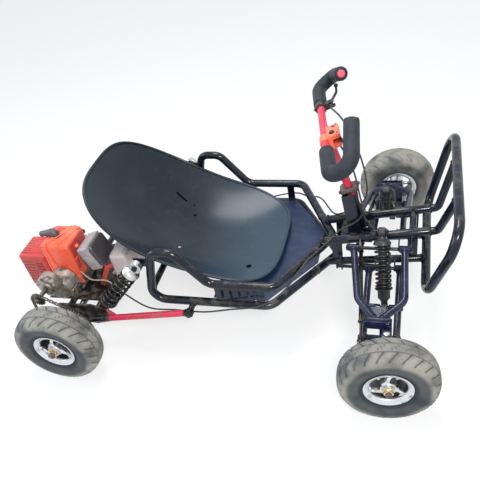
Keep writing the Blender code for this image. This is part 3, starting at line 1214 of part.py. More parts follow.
def rim_mesh(bore_radius):
    """A small wheel rim about the Y axis, its open spoked face towards +Y."""
    half = RIM_WIDTH / 2
    wall = RIM_WALL
    profile = [
        (RIM_RADIUS, half), (RIM_RADIUS, half - wall), (BARREL_RADIUS, half - 0.012),
        (BARREL_RADIUS, -half + 0.012), (RIM_RADIUS, -half + wall), (RIM_RADIUS, -half),
        (BARREL_RADIUS - wall, -half + 0.009), (BARREL_RADIUS - wall, half - 0.009),
    ]
    pieces = [turned(profile[::-1], WHEEL_STEPS, True)]
    pieces.append(rod((0.0, -half, 0.0), (0.0, half, 0.0), HUB_RADIUS, 12))
    for spoke in range(3):
        angle = math.radians(90.0 + 120.0 * spoke)
        outward = Vector((math.cos(angle), 0.0, math.sin(angle)))
        start = outward * (HUB_RADIUS - 0.005) + Vector((0.0, half - 0.013, 0.0))
        end = outward * (BARREL_RADIUS - wall / 2) + Vector((0.0, half - 0.017, 0.0))
        pieces.append(strap(start, end, SPOKE_WIDTH, 0.009, (0.0, 1.0, 0.0)))
    bore = rod((0.0, -RIM_WIDTH, 0.0), (0.0, RIM_WIDTH, 0.0), bore_radius, 12)
    return welded(pieces, [bore])


def tyre_mesh():
    """The hollow tyre about the Y axis: a rounded crown, bulging sides and two beads."""
    half = TYRE_WIDTH / 2
    bead = RIM_WIDTH / 2 - RIM_WALL - 2 * GAP
    seat = BARREL_RADIUS + GAP
    wall = TYRE_WALL
    side = [(seat, bead - 0.0083), (RIM_RADIUS - 0.0005, bead), (0.104, half), (0.1245, half - 0.013)]
    inside = [(0.118, half - 0.022), (0.098, half - wall), (seat, bead - 0.0155)]
    crown = [(TYRE_RADIUS, TREAD_FLAT), (TYRE_RADIUS, -TREAD_FLAT)]
    outer_ring = side + crown + [(radius, -y) for radius, y in side[::-1]]
    inner_ring = [(radius, -y) for radius, y in inside[::-1]] + inside
    return turned((outer_ring + inner_ring)[::-1], WHEEL_STEPS, True)


def wheels():
    """Four equal tyres and rims; the rims' bores fit the stub axles or the live axle."""
    tyre = tyre_mesh()
    for place_word, bore in (("front", STUB_RADIUS + RUNNING), ("rear", AXLE_RADIUS + GAP)):
        rim = rim_mesh(bore)
        for word, side in SIDES:
            turn = 0.0 if side > 0 else math.pi
            centre = at(0.0, REAR_TRACK / 2, TYRE_RADIUS, side)
            if place_word == "front":
                reach = Vector((0.0, side * STUB_REACH, 0.0))
                reach.rotate(Matrix.Rotation(WHEEL_TURN, 3, "Z"))
                centre = at(WHEELBASE, KINGPIN_Y, TYRE_RADIUS, side) + reach
                turn += WHEEL_TURN
            part(f"{place_word}_rim_{word}", rim, "rim", place=centre, turn=turn)
            part(f"{place_word}_tyre_{word}", tyre, "tyre", place=centre, turn=turn)


def swing_frame():
    """The frame that swings at the rear: two arms, the axle's bearing plates and the engine plate."""
    pivot_x, pivot_z = SWING_PIVOT
    pieces, cuts = [], []
    for side in (-1, 1):
        outside = CARRIER_IN + CARRIER_THICKNESS
        corners = [
            at(pivot_x - 0.0106, SWING_Y, pivot_z - 0.002, side),
            at(SWING_BEND[0], SWING_Y, SWING_BEND[1], side),
            at(SWING_END[0], SWING_Y, SWING_END[1], side),
        ]
        half = Vector((0.0, EYE_WIDTH / 2, 0.0))
        centre = at(pivot_x, SWING_Y, pivot_z, side)
        pieces.append(rod(centre - half, centre + half, 0.0125, 12))
        cuts.append(rod(centre - half * 1.5, centre + half * 1.5, PIN_RADIUS + RUNNING))
        pieces.append(pipe(bent(corners, (0.080,), 2), SWING_TUBE, 1))
        facing = Matrix.Translation((0.0, side * (CARRIER_IN + CARRIER_THICKNESS / 2), 0.0))
        pieces.append(plate(CARRIER_OUTLINE, CARRIER_THICKNESS, facing @ Matrix.Rotation(math.radians(90.0), 4, "X")))
        bearing_in = at(0.0, CARRIER_IN - 0.006, TYRE_RADIUS, side)
        pieces.append(rod(bearing_in, at(0.0, outside + 0.006, TYRE_RADIUS, side), BEARING_RADIUS, 14))
        bore_in = at(0.0, CARRIER_IN - 0.020, TYRE_RADIUS, side)
        cuts.append(rod(bore_in, at(0.0, outside + 0.020, TYRE_RADIUS, side), AXLE_RADIUS + RUNNING, 12))

        # Bolt for the damper's foot
        foot_x, foot_z = REAR_SHOCK_FOOT
        eye_in = REAR_SHOCK_Y - EYE_WIDTH / 2
        eye_out = REAR_SHOCK_Y + EYE_WIDTH / 2
        pieces.append(rod(at(foot_x, CARRIER_IN + 0.002, foot_z, side), at(foot_x, eye_out + GAP, foot_z, side), 0.0085))
        pieces.append(rod(at(foot_x, CARRIER_IN + 0.002, foot_z, side), at(foot_x, eye_in - 0.004, foot_z, side), PIN_RADIUS))
        pieces.append(rod(at(foot_x, eye_in - GAP, foot_z, side), at(foot_x, eye_in - 0.006, foot_z, side), 0.009, 6))

    # Cross tubes, engine plate and brake bracket
    for x, z in CROSS_TUBES:
        pieces.append(rod((x, -CARRIER_IN - 0.002, z), (x, CARRIER_IN + 0.002, z), SWING_TUBE))
    plate_top = ENGINE_PLATE_Z + ENGINE_PLATE_THICKNESS
    pieces.append(box((*ENGINE_PLATE_LOW, ENGINE_PLATE_Z), (*ENGINE_PLATE_HIGH, plate_top)))
    caliper_in = DISC_Y - SPROCKET_THICKNESS / 2 - 0.001
    caliper_out = DISC_Y + SPROCKET_THICKNESS / 2 + 0.001
    pieces.append(box((0.040, CARRIER_IN + 0.002, 0.150), (0.076, caliper_in - 0.001, 0.168)))
    pieces.append(box((0.038, caliper_in - 0.012, 0.158), (0.078, caliper_out + 0.012, 0.204)))
    cuts.append(box((0.030, caliper_in, 0.150), (0.074, caliper_out, 0.200)))
    pivot = (pivot_x, 0.0, pivot_z)
    part("swing_frame", welded(pieces, cuts), "frame", origin=pivot)


def rear_axle():
    """The live axle with its wheel collars, nuts, brake disc and sprocket hub."""
    z = TYRE_RADIUS
    wheel_y = REAR_TRACK / 2
    face = RIM_WIDTH / 2
    end = wheel_y + face + 0.018
    pieces = [rod((0.0, -end, z), (0.0, end, z), AXLE_RADIUS, 12)]
    for side in (-1, 1):
        shoulder = side * (wheel_y - face - GAP)
        pieces.append(rod((0.0, shoulder - side * 0.014, z), (0.0, shoulder, z), 0.0180, 12))
        nut = side * (wheel_y + face + 0.0004 + GAP)
        pieces.append(rod((0.0, nut, z), (0.0, nut + side * 0.009, z), 0.0145, 6))
    thickness = SPROCKET_THICKNESS / 2
    pieces.append(rod((0.0, DISC_Y - thickness, z), (0.0, DISC_Y + thickness, z), DISC_RADIUS, 24))
    pieces.append(rod((0.0, DISC_Y - 0.012, z), (0.0, DISC_Y + 0.012, z), 0.022, 8))
    pieces.append(rod((0.0, -SPROCKET_Y - thickness, z), (0.0, -SPROCKET_Y + thickness, z), SPROCKET_RADIUS, 28))
    pieces.append(rod((0.0, -SPROCKET_Y - 0.010, z), (0.0, -SPROCKET_Y + 0.012, z), 0.024, 8))
    cuts = []
    for hole in range(4):
        angle = math.radians(45.0 + 90.0 * hole)
        x = SPROCKET_HOLE_REACH * math.cos(angle)
        height = z + SPROCKET_HOLE_REACH * math.sin(angle)
        cuts.append(rod((x, -SPROCKET_Y - 0.01, height), (x, -SPROCKET_Y + 0.01, height), SPROCKET_HOLE, 8))
    part("rear_axle", welded(pieces, cuts), "chain", origin=(0.0, 0.0, z))


def drive_sprocket():
    """The gearbox's output sprocket on its shaft."""
    x, z = DRIVE_CENTRE
    thickness = SPROCKET_THICKNESS / 2
    pieces = [
        rod((x, -SPROCKET_Y - thickness, z), (x, -SPROCKET_Y + thickness, z), DRIVE_RADIUS - 0.001, 14),
        rod((x, -SPROCKET_Y - 0.008, z), (x, -0.300, z), 0.007, 10),
    ]
    part("drive_sprocket", welded(pieces), "chain", origin=(x, -SPROCKET_Y, z))


def chain_outline(extra):
    """The loop round both sprockets at a distance outside their rims, in the XZ plane."""
    big, small = SPROCKET_RADIUS + extra, DRIVE_RADIUS + extra
    centre_a = Vector((0.0, TYRE_RADIUS))
    centre_b = Vector(DRIVE_CENTRE)
    line = centre_b - centre_a
    heading = math.atan2(line.y, line.x)
    lean = math.acos((big - small) / line.length)
    points = []
    for step in range(19):
        angle = heading + lean + (2 * math.pi - 2 * lean) * step / 18
        points.append(centre_a + Vector((math.cos(angle), math.sin(angle))) * big)
    for step in range(7):
        angle = heading - lean + 2 * lean * step / 6
        points.append(centre_b + Vector((math.cos(angle), math.sin(angle))) * small)
    return [tuple(point) for point in points]


def drive_chain():
    """The roller chain as a closed band over both sprockets."""
    facing = Matrix.Translation((0.0, -SPROCKET_Y, 0.0)) @ Matrix.Rotation(math.radians(90.0), 4, "X")
    band = plate(chain_outline(0.0006 + CHAIN_THICKNESS), CHAIN_WIDTH, facing)
    hollow = plate(chain_outline(0.0006), CHAIN_WIDTH * 2, facing)
    part("drive_chain", welded([band], [hollow]), "chain")


def engine_block():
    """Crankcase, finned cylinder, silencer, inlet and the boot on its spark plug."""
    base = ENGINE_PLATE_Z + ENGINE_PLATE_THICKNESS + GAP
    centre_x = (SHROUD_LOW[0] + SHROUD_HIGH[0]) / 2
    centre_y = (SHROUD_LOW[1] + SHROUD_HIGH[1]) / 2
    inside = SHELL_WALL + GAP
    side_low = SHROUD_LOW[1] + inside
    side_high = SHROUD_HIGH[1] - inside
    front_x = SHROUD_HIGH[0] - inside
    pieces = [
        rounded(box((centre_x - 0.044, side_low, base), (front_x, side_high, CASE_TOP)), 0.0105, 2),
        rod((centre_x, -0.195, 0.170), (centre_x, -0.2045, 0.170), 0.018),
    ]
    fins = [(0.0, 0.0)]
    for fin in range(3):
        height = 0.012 + 0.026 * fin
        fins.extend(((0.024, height), (0.041, height), (0.041, height + 0.007), (0.024, height + 0.007)))
    fins.append((0.0, 0.092))
    cylinder = turned(fins[::-1], 10, False)
    cylinder.transform(Matrix.Rotation(math.radians(90.0), 4, "X"))
    cylinder.transform(Matrix.Translation((centre_x, centre_y, 0.192)))
    pieces.append(cleaned(cylinder))
    plug_top = SHROUD_HIGH[2] + 0.012
    pieces.append(rod((centre_x, centre_y, 0.280), (centre_x - 0.012, centre_y, plug_top), 0.0085, 10))
    muffler_x = SHROUD_LOW[0] - GUARD_HIGH[0]
    pieces.append(rod((centre_x, centre_y, 0.232), (GUARD_HIGH[0] - 0.020, centre_y, 0.232), 0.012, 10))
    low = (GUARD_LOW[0] + 0.010, GUARD_LOW[1] + 0.010, GUARD_LOW[2] + 0.012)
    high = (GUARD_HIGH[0] - muffler_x, GUARD_HIGH[1] - 0.010, GUARD_HIGH[2] - 0.012)
    pieces.append(rounded(box(low, high), 0.006))
    pieces.append(rod(INLET_START, INLET_END, INLET_RADIUS))
    part("engine_block", welded(pieces), "casting")


def engine_shroud():
    """The moulded cover over the cylinder with the pull starter's drum housing on its left."""
    low, high = Vector(SHROUD_LOW), Vector(SHROUD_HIGH)
    middle = (low.x + high.x) / 2
    outer, hollow = shell(low, high, SHELL_WALL, 0.012, 2, (-0.03, 0.0, -0.03))
    ridge_y = low.y + 0.001
    ridge = strap((middle - 0.040, ridge_y, low.z + 0.014), (middle + 0.020, ridge_y, low.z + 0.064),
                  0.022, 0.008, (0.0, 1.0, 0.0))
    drum_foot = (middle, high.y - 0.0025, STARTER_Z)
    drum = rod(drum_foot, (middle, STARTER_FACE_Y, STARTER_Z), STARTER_RADIUS, 20, STARTER_RADIUS - 0.006)
    boss_z = STARTER_Z + 0.034
    boss = rod((middle, HANDLE_Y, boss_z), (middle, HANDLE_Y, HANDLE_Z - GAP), 0.010)
    plug_x = middle - 0.012
    centre_y = (low.y + high.y) / 2
    plug_hole = rod((plug_x, centre_y, high.z - 0.02), (plug_x, centre_y, high.z + 0.02), 0.016, 12)
    inlet = rod((high.x - 0.01, FILTER_CENTRE[1], 0.2455), (high.x + 0.01, FILTER_CENTRE[1], 0.2475), 0.016)
    mesh = welded([outer, ridge], [hollow, plug_hole, inlet])
    part("engine_shroud", welded([mesh, drum, boss]), "shroud")


def muffler_guard():
    """The slotted box over the silencer, open towards the engine."""
    low, high = Vector(GUARD_LOW), Vector(GUARD_HIGH)
    outer, hollow = shell(low, high, SHELL_WALL, 0.008, 1, (0.03, 0.0, 0.0))
    cuts = [hollow]
    for slot in range(6):
        z = low.z + 0.030 + 0.014 * slot
        cuts.append(box((low.x + 0.050, low.y - 0.01, z), (high.x - 0.020, low.y + 0.01, z + 0.005)))
    part("muffler_guard", welded([outer], cuts), "guard")


def tilted_block(size, offset, edge):
    """A rounded block in the air filter's leaning frame."""
    half = Vector(size) / 2
    centre = Vector(offset)
    block = rounded(box(centre - half, centre + half), edge, 2)
    block.transform(Matrix.Rotation(-FILTER_TILT, 4, "Y"))
    return block


def air_filter():
    """The grey filter box with its dark lid, leaning with its face forward and up."""
    depth, width, height = FILTER_SIZE
    lid_depth = 0.016
    case = tilted_block((depth - lid_depth, width, height), (-lid_depth / 2, 0.0, 0.0), 0.008)
    lid = tilted_block((lid_depth, width - 0.006, height - 0.006), ((depth - lid_depth) / 2 - GAP, 0.0, 0.0), 0.006)
    neck = rod((-0.036, 0.0, -0.0175), (-0.010, 0.0, -0.0125), INLET_RADIUS + 0.004)
    part("air_filter", welded([case, neck, lid], [filter_inlet()]), "grey", place=FILTER_CENTRE)


def filter_inlet():
    """The hole in the filter's back that the inlet pipe reaches into."""
    start = Vector(INLET_START) - Vector(FILTER_CENTRE)
    end = Vector(INLET_END) - Vector(FILTER_CENTRE)
    end += (end - start).normalized() * GAP
    return rod(start, end, INLET_RADIUS + GAP)


def fuel_tank():
    """The small moulded tank between the filter and the seat, with its filler neck and cap."""
    body = rounded(box(TANK_LOW, TANK_HIGH), 0.012, 2)
    x, y = TANK_CAP
    top = TANK_HIGH[2]
    neck = rod((x, y, top - 0.006), (x, y, top + 0.008), 0.014, 14)
    cap = rod((x, y, top + 0.006), (x, y, top + 0.016), TANK_CAP_RADIUS, 14)
    foot = box((0.060, -0.130, ENGINE_PLATE_Z + ENGINE_PLATE_THICKNESS + GAP), (0.110, -0.070, 0.156))
    part("fuel_tank", welded([body, neck, cap, foot]), "tank")


def gearbox():
    """The clutch and reduction housing between the crankcase and the drive sprocket."""
    x, z = DRIVE_CENTRE
    pieces = [
        rod((x, -0.300, z), (x, -0.258, z), 0.034, 18),
        rod((x + 0.003, -0.262, 0.198), (x + 0.003, -0.2048, 0.198), 0.044, 18, 0.040),
        box((x - 0.026, -0.285, 0.196), (x + 0.026, -0.236, z)),
        box((x - 0.030, -0.240, ENGINE_PLATE_Z + ENGINE_PLATE_THICKNESS + GAP), (x + 0.036, -0.2048, 0.190)),
    ]
    bore = rod((x, -0.320, z), (x, -0.270, z), 0.007 + RUNNING, 10)
    part("gearbox", welded(pieces, [bore]), "casting")


def starter_handle():
    """The handle of the pull starter, seated on the drum housing."""
    x = (SHROUD_LOW[0] + SHROUD_HIGH[0]) / 2
    handle = welded([
        rod((x, HANDLE_Y, HANDLE_Z), (x, HANDLE_Y, HANDLE_Z + 0.012), 0.006, 8),
        rounded(box((x - 0.020, HANDLE_Y - 0.007, HANDLE_Z + 0.010), (x + 0.020, HANDLE_Y + 0.007, HANDLE_Z + 0.024)), 0.003),
    ])
    part("starter_handle", handle, "black", origin=(x, HANDLE_Y, HANDLE_Z))


def smooth_route(route, per_span=2):
    """Points on a Catmull-Rom curve through the route's own points."""
    points = [Vector(point) for point in route]
    padded = [points[0] * 2 - points[1]] + points + [points[-1] * 2 - points[-2]]
    result = []
    for a, b, c, d in zip(padded, padded[1:], padded[2:], padded[3:]):
        for step in range(per_span):
            t = step / per_span
            result.append(
                (b * 2 + (c - a) * t + (a * 2 - b * 5 + c * 4 - d) * t ** 2 + (b * 3 - a - c * 3 + d) * t ** 3) / 2
            )
    result.append(points[-1])
    return result


def cables():
    """The throttle cable on the right and the brake cable on the left."""
    routes = (("throttle", THROTTLE_START, THROTTLE_ROUTE), ("brake", BRAKE_START, BRAKE_ROUTE))
    for word, start, route in routes:
        first = steered(*start[0])
        second = steered(*start[1])
        first += (second - first).normalized() * CABLE_END_GAP
        path = smooth_route((first, second) + route)
        length = sum((after - before).length for before, after in zip(path, path[1:]))
        print(f"{word}_cable length {length:.3f} m")
        part(f"{word}_cable", pipe(path, CABLE_RADIUS, 1), "cable")


def build_kart():
    """Make every piece."""
    for word, side in SIDES:
        side_frame(word, side)
        grip(word, side)
        tie_rod(word, side)
        upper_arm(word, side)
        lower_arm(word, side)
        upright(word, side)
        knuckle(word, side)
        front_damper(word, side)
        rear_damper(word, side)
    front_frame()
    bumper()
    floor_pan()
    seat_shell()
    steering_post()
    column_clamp()
    handlebar()
    brake_perch()
    brake_lever()
    throttle_housing()
    throttle_trigger()
    wheels()
    swing_frame()
    rear_axle()
    drive_sprocket()
    drive_chain()
    engine_block()
    engine_shroud()
    muffler_guard()
    air_filter()
    fuel_tank()
    gearbox()
    starter_handle()
    cables()


build_kart()
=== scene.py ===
# %% [markdown]
# # A racing kart, dressed piece by piece
# The kart's solids come packed from the CAD model: every tube, arm and wheel already has its place
# and its joint. This lesson loads them as a fixed frame and makes the surfaces that are seen:
# glossy paint on bent tubes, dusty tyres, a moulded seat, coil springs and a small engine.
# Nothing is moved here. A new piece is made where the solid stands, and rides on the same body.

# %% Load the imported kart
import math

import bmesh
import bpy
import numpy as np
from mathutils import Matrix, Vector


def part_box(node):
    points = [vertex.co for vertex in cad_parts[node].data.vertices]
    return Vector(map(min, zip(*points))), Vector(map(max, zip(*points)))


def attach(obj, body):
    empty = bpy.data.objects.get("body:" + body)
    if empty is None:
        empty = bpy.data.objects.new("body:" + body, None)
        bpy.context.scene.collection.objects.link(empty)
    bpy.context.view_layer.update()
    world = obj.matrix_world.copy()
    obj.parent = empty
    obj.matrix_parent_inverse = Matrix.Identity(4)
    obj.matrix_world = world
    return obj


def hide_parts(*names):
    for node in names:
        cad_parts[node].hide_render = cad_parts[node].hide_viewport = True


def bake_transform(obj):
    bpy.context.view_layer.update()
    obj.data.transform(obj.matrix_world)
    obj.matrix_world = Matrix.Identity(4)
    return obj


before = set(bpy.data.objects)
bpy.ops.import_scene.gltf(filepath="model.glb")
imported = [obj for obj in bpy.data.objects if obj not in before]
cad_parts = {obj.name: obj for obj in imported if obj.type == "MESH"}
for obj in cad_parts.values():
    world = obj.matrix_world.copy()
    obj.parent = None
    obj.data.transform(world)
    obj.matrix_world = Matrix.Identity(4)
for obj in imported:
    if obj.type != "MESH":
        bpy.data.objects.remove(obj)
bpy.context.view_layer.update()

# %% [markdown]
# ## Where things are
# The kart was measured from its rear axle: X forward, Y to the driver's left, Z up, in metres. The
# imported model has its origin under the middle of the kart, so one shift along X takes every point
# from the axle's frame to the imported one. Both sides of the kart are alike, so most functions take
# a side, -1 for the right and 1 for the left. TUBE is the frame tube's radius, STUB the way from a
# kingpin to the middle of its wheel, and HUB_HALF half the width of a rim's hub.

# %% The kart's main sizes
REAR_X = 0.46175
SIDES = (("right", -1), ("left", 1))
WHEELBASE = 0.950
AXLE_Z = 0.130
TRACK_REAR = 0.814
KINGPIN_Y = 0.335
STUB = 0.091
HUB_HALF = 0.0366
TUBE = 0.0127
RAIL_Y = 0.245
UPPER_Z, LOWER_Z = 0.250, 0.174
BAR_CENTRE = np.array([0.768, 0.0, 0.604])
CLAMP_CENTRE = np.array([0.827, 0.0, 0.413])
BAR_TURN = math.radians(12.2)
STEER_RATIO = 0.46
WHEEL_TURN = BAR_TURN * STEER_RATIO
print("wheelbase in mm:", 1000 * WHEELBASE, "front track:", round(2000 * (KINGPIN_Y + STUB)))
print("front wheels turned by", round(math.degrees(WHEEL_TURN), 1), "degrees")

# %% [markdown]
# ## Small tools for shapes
# A shape here is a pair: an array of points and a list of arrays of face corners. Almost everything
# on a kart is a circle carried along a path, a profile turned about an axis, or a block with soft
# edges. Each of these is a function of two parameters on a grid, so numpy can work out all its
# points at once, and one helper joins the grid's neighbours into faces.

# %% Grids, paths and frames
def unit(vector):
    """Divide vectors by their length."""
    vector = np.asarray(vector, float)
    return vector / np.linalg.norm(vector, axis=-1, keepdims=True)


def grid_faces(rows, columns, close_rows=False, close_columns=False):
    """Four-cornered faces between the neighbours of a grid that is counted row by row."""
    row = np.arange(rows if close_rows else rows - 1)
    column = np.arange(columns if close_columns else columns - 1)
    row, column = np.meshgrid(row, column, indexing="ij")
    next_row, next_column = (row + 1) % rows, (column + 1) % columns
    corners = [row * columns + column, row * columns + next_column,
               next_row * columns + next_column, next_row * columns + column]
    return np.stack(corners, -1).reshape(-1, 4)


def at(x, y, z, side=1):
    """A point of one side of the kart."""
    return np.array([x, side * y, z])


def square_to(direction):
    """Two unit vectors that make a right-handed frame with a direction."""
    direction = unit(direction)
    helper = np.array([0.0, 0.0, 1.0]) if abs(direction[2]) < 0.8 else np.array([1.0, 0.0, 0.0])
    first = unit(np.cross(helper, direction))
    return first, np.cross(direction, first)


def bent(corners, bends, steps=9):
    """A path through the corners. Each inner corner becomes an arc: with the half angle h between
    both runs, the arc's points are its two ends weighted by sin((1-t)2h) and sin(t 2h)."""
    corners = [np.asarray(corner, float) for corner in corners]
    path = [corners[0][None]]
    share = np.linspace(0.0, 1.0, steps + 1)[:, None]
    for before, corner, after, bend in zip(corners, corners[1:], corners[2:], bends):
        into, away = unit(corner - before), unit(after - corner)
        half = math.acos(min(1.0, float(into @ away))) / 2
        reach = bend * math.tan(half)
        centre = corner + unit(away - into) * bend / math.cos(half)
        first, last = corner - into * reach - centre, corner + away * reach - centre
        turn = np.sin((1 - share) * 2 * half) * first + np.sin(share * 2 * half) * last
        path.append(centre + turn / math.sin(2 * half))
    path.append(corners[-1][None])
    return np.concatenate(path)


def smooth_route(route, per_span=6):
    """Points on a Catmull-Rom curve: each span is the cubic that passes through its two knots and
    is parallel there to the line between the knots' neighbours."""
    route = np.asarray(route, float)
    padded = np.concatenate([2 * route[:1] - route[1:2], route, 2 * route[-1:] - route[-2:-1]])
    a, b, c, d = (padded[i:len(padded) - 3 + i][:, None] for i in range(4))
    t = (np.arange(per_span) / per_span)[None, :, None]
    span = (2 * b + (c - a) * t + (2 * a - 5 * b + 4 * c - d) * t**2 + (3 * b - a - 3 * c + d) * t**3) / 2
    return np.concatenate([span.reshape(-1, 3), route[-1:]])


def carried_frame(path, closed=False):
    """Tangents of a path and two normals carried along it with as little twist as can be: each
    ring's normal is the last one, made square to the new tangent."""
    ahead = np.roll(path, -1, 0) - np.roll(path, 1, 0) if closed else np.gradient(path, axis=0)
    tangent = unit(ahead)
    normal = square_to(tangent[0])[0]
    normals = []
    for direction in tangent:
        normal = unit(normal - direction * (normal @ direction))
        normals.append(normal)
    normals = np.array(normals)
    return tangent, normals, np.cross(tangent, normals)


# %% Tubes, turned shapes, rods and beads
def tube(path, radius, sides=22, edge=0.0010, closed=False, flat=1.0):
    """A circle along a path: P(t, a) = path(t) + r(t) (cos a N(t) + flat sin a B(t)). An open tube
    ends in a small round edge and a flat cap, which are three more rings at either end."""
    path = np.asarray(path, float)
    radius = np.broadcast_to(np.asarray(radius, float), (len(path),))
    tangent, normal, other = carried_frame(path, closed)
    if not closed:
        ends = np.array([0] * 3 + list(range(1, len(path) - 1)) + [len(path) - 1] * 3)
        inset = np.zeros(len(ends))
        inset[2], inset[-3] = edge, -edge
        shrink = np.zeros(len(ends))
        shrink[[1, -2]] = edge
        radius = radius[ends] - shrink
        radius[[0, -1]] = 0.0
        tangent, normal, other = tangent[ends], normal[ends], other[ends]
        path = path[ends] + tangent * inset[:, None]
    angle = np.linspace(0.0, 2 * math.pi, sides, endpoint=False)
    ring = np.cos(angle)[:, None] * normal[:, None] + flat * np.sin(angle)[:, None] * other[:, None]
    points = path[:, None] + radius[:, None, None] * ring
    return points.reshape(-1, 3), [grid_faces(len(path), sides, closed, True)]


def turned(profile, start, direction, steps=48, closed=False):
    """A profile of (distance along, radius) pairs turned about an axis through start."""
    along, radius = np.asarray(profile, float).T
    direction = unit(direction)
    first, second = square_to(direction)
    angle = np.linspace(0.0, 2 * math.pi, steps, endpoint=False)
    ring = np.cos(angle)[:, None] * first + np.sin(angle)[:, None] * second
    points = np.asarray(start) + direction * along[:, None, None] + ring[None] * radius[:, None, None]
    return points.reshape(-1, 3), [grid_faces(len(along), steps, closed, True)]


def rod(start, end, radius, steps=28, edge=0.0008):
    """A round bar between two points, with a small round edge at either end."""
    start, end = np.asarray(start, float), np.asarray(end, float)
    length = np.linalg.norm(end - start)
    edge = min(edge, length / 3)
    rounding = [(0, radius - edge), (0.3 * edge, radius - 0.3 * edge), (edge, radius)]
    far_rounding = [(length - along, reach) for along, reach in rounding[::-1]]
    return turned([(0, 0)] + rounding + far_rounding + [(length, 0)], start, end - start, steps)


def nut(start, end, radius):
    """A six-sided nut or bolt head whose corners are turned off at both ends."""
    return rod(start, end, radius, 6, 0.0011)


def along_x(make, start, end, y, z, radius, side=1):
    """A rod or a nut that lies along X on one side of the kart."""
    return make(at(start, y, z, side), at(end, y, z, side), radius)


def along_y(make, start, end, x, z, radius, side=1):
    """A rod or a nut that lies along Y on one side of the kart."""
    return make(at(x, start, z, side), at(x, end, z, side), radius)


def sleeve(low, high, bore, radius, edge=0.0012, drop=None):
    """The profile of a bored ring, chamfered outside by the edge along it and the drop inwards."""
    outer = radius - (edge if drop is None else drop)
    return [(low, bore), (low, outer), (low + edge, radius),
            (high - edge, radius), (high, outer), (high, bore)]


def bolt_circle(count, first, reach, centre_x, centre_z):
    """Places (x, z) at equal angles on a circle square to Y. The first stands at an angle in degrees."""
    angle = np.radians(first + 360.0 / count * np.arange(count))
    return list(zip(centre_x + reach * np.cos(angle), centre_z + reach * np.sin(angle)))


def weld(centre, direction, radius, size=0.0024, ripples=26):
    """A weld bead: a ring round a joint whose thickness ripples, size (1 + 0.22 cos(ripples a))."""
    first, second = square_to(direction)
    angle = np.linspace(0.0, 2 * math.pi, 4 * ripples, endpoint=False)[:, None]
    around = np.linspace(0.0, 2 * math.pi, 8, endpoint=False)[None]
    thick = size * (1 + 0.22 * np.cos(ripples * angle))
    reach = (radius + thick * np.cos(around))[..., None]
    out = np.cos(angle)[..., None] * first + np.sin(angle)[..., None] * second
    points = np.asarray(centre) + out * reach + unit(direction) * (thick * np.sin(around))[..., None]
    return points.reshape(-1, 3), [grid_faces(4 * ripples, 8, True, True)]


# %% Blocks, straps and plates
def block(low, high, edge=0.002, levels=3):
    """A box with round edges. A point p of the sharp box's surface moves to q + edge unit(p - q),
    where q is p held inside the box that is smaller by the edge all round."""
    low, high = np.asarray(low, float), np.asarray(high, float)
    edge = min(edge, 0.49 * float((high - low).min()))
    share = 1 - np.cos(np.linspace(0.0, math.pi / 2, levels + 1))
    lines = [np.concatenate([lo + edge * share, (hi - edge * share)[::-1]]) for lo, hi in zip(low, high)]
    count = len(lines[0])
    points, faces = [], []
    for axis in range(3):
        u, v = np.meshgrid(lines[(axis + 1) % 3], lines[(axis + 2) % 3], indexing="ij")
        for value in (low[axis], high[axis]):
            face = np.empty((count, count, 3))
            face[..., axis], face[..., (axis + 1) % 3], face[..., (axis + 2) % 3] = value, u, v
            faces.append(grid_faces(count, count) + len(points) * count * count)
            points.append(face.reshape(-1, 3))
    points = np.concatenate(points)
    inner = np.clip(points, low + edge, high - edge)
    return inner + edge * unit(points - inner), faces


def moved(shape, axes, origin):
    """A shape made in its own frame, put where three axes and an origin say."""
    return shape[0] @ np.asarray(axes, float) + np.asarray(origin), shape[1]


def strap(start, end, width, thickness, across, edge=0.0012):
    """A flat bar from start to end, square to across, with round edges."""
    start, end = np.asarray(start, float), np.asarray(end, float)
    along = unit(end - start)
    normal = unit(np.asarray(across) - along * (np.asarray(across) @ along))
    high = (np.linalg.norm(end - start), width / 2, thickness / 2)
    flat = block((0.0, -width / 2, -thickness / 2), high, edge)
    return moved(flat, (along, np.cross(normal, along), normal), start)


def plate(outline, thickness, origin, x_axis, y_axis, edge=0.0008):
    """A flat outline with a thickness. The faces are drawn in by the edge along the mean of each
    corner's two side normals, which chamfers it."""
    outline = np.asarray(outline, float)
    along = unit(np.roll(outline, -1, 0) - outline)
    normal = np.stack([along[:, 1], -along[:, 0]], -1)
    mean = unit(normal + np.roll(normal, 1, 0))
    reach = edge / np.clip((mean * normal).sum(-1, keepdims=True), 0.4, 1.0)
    turning = np.sign(np.cross(along, np.roll(along, -1, 0)).sum())
    inset = outline - mean * reach * turning
    half = thickness / 2
    x_axis, y_axis = unit(x_axis), unit(y_axis)
    z_axis = np.cross(x_axis, y_axis)
    rings = [(inset, -half), (outline, -half + edge), (outline, half - edge), (inset, half)]
    flat_axes = np.stack([x_axis, y_axis])
    points = [np.asarray(origin) + ring @ flat_axes + z_axis * height for ring, height in rings]
    count = len(outline)
    caps = np.stack([np.arange(count)[::-1], np.arange(count) + 3 * count])
    return np.concatenate(points), [grid_faces(4, count, False, True), caps]


# %% Collars and pierced plates
def collar(bore, half_x, half_y, low, high, edge=0.0015, power=9.0, steps=64):
    """A block with a round bore along Z. Its outer wall is the curve |x/a|^n + |y/b|^n = 1, so a
    large power n gives a rectangle with soft corners."""
    angle = np.linspace(0.0, 2 * math.pi, steps, endpoint=False)
    ring = np.stack([np.cos(angle), np.sin(angle)], -1)
    reach = (np.abs(ring[:, 0] / half_x) ** power + np.abs(ring[:, 1] / half_y) ** power) ** (-1 / power)
    levels = [(None, low), (-edge, low), (0.0, low + edge), (0.0, high - edge), (-edge, high), (None, high)]
    points = []
    for shift, height in levels:
        radius = np.full(steps, bore) if shift is None else reach + shift
        points.append(np.column_stack([ring * radius[:, None], np.full(steps, height)]))
    return np.concatenate(points), [grid_faces(len(levels), steps, True, True)]


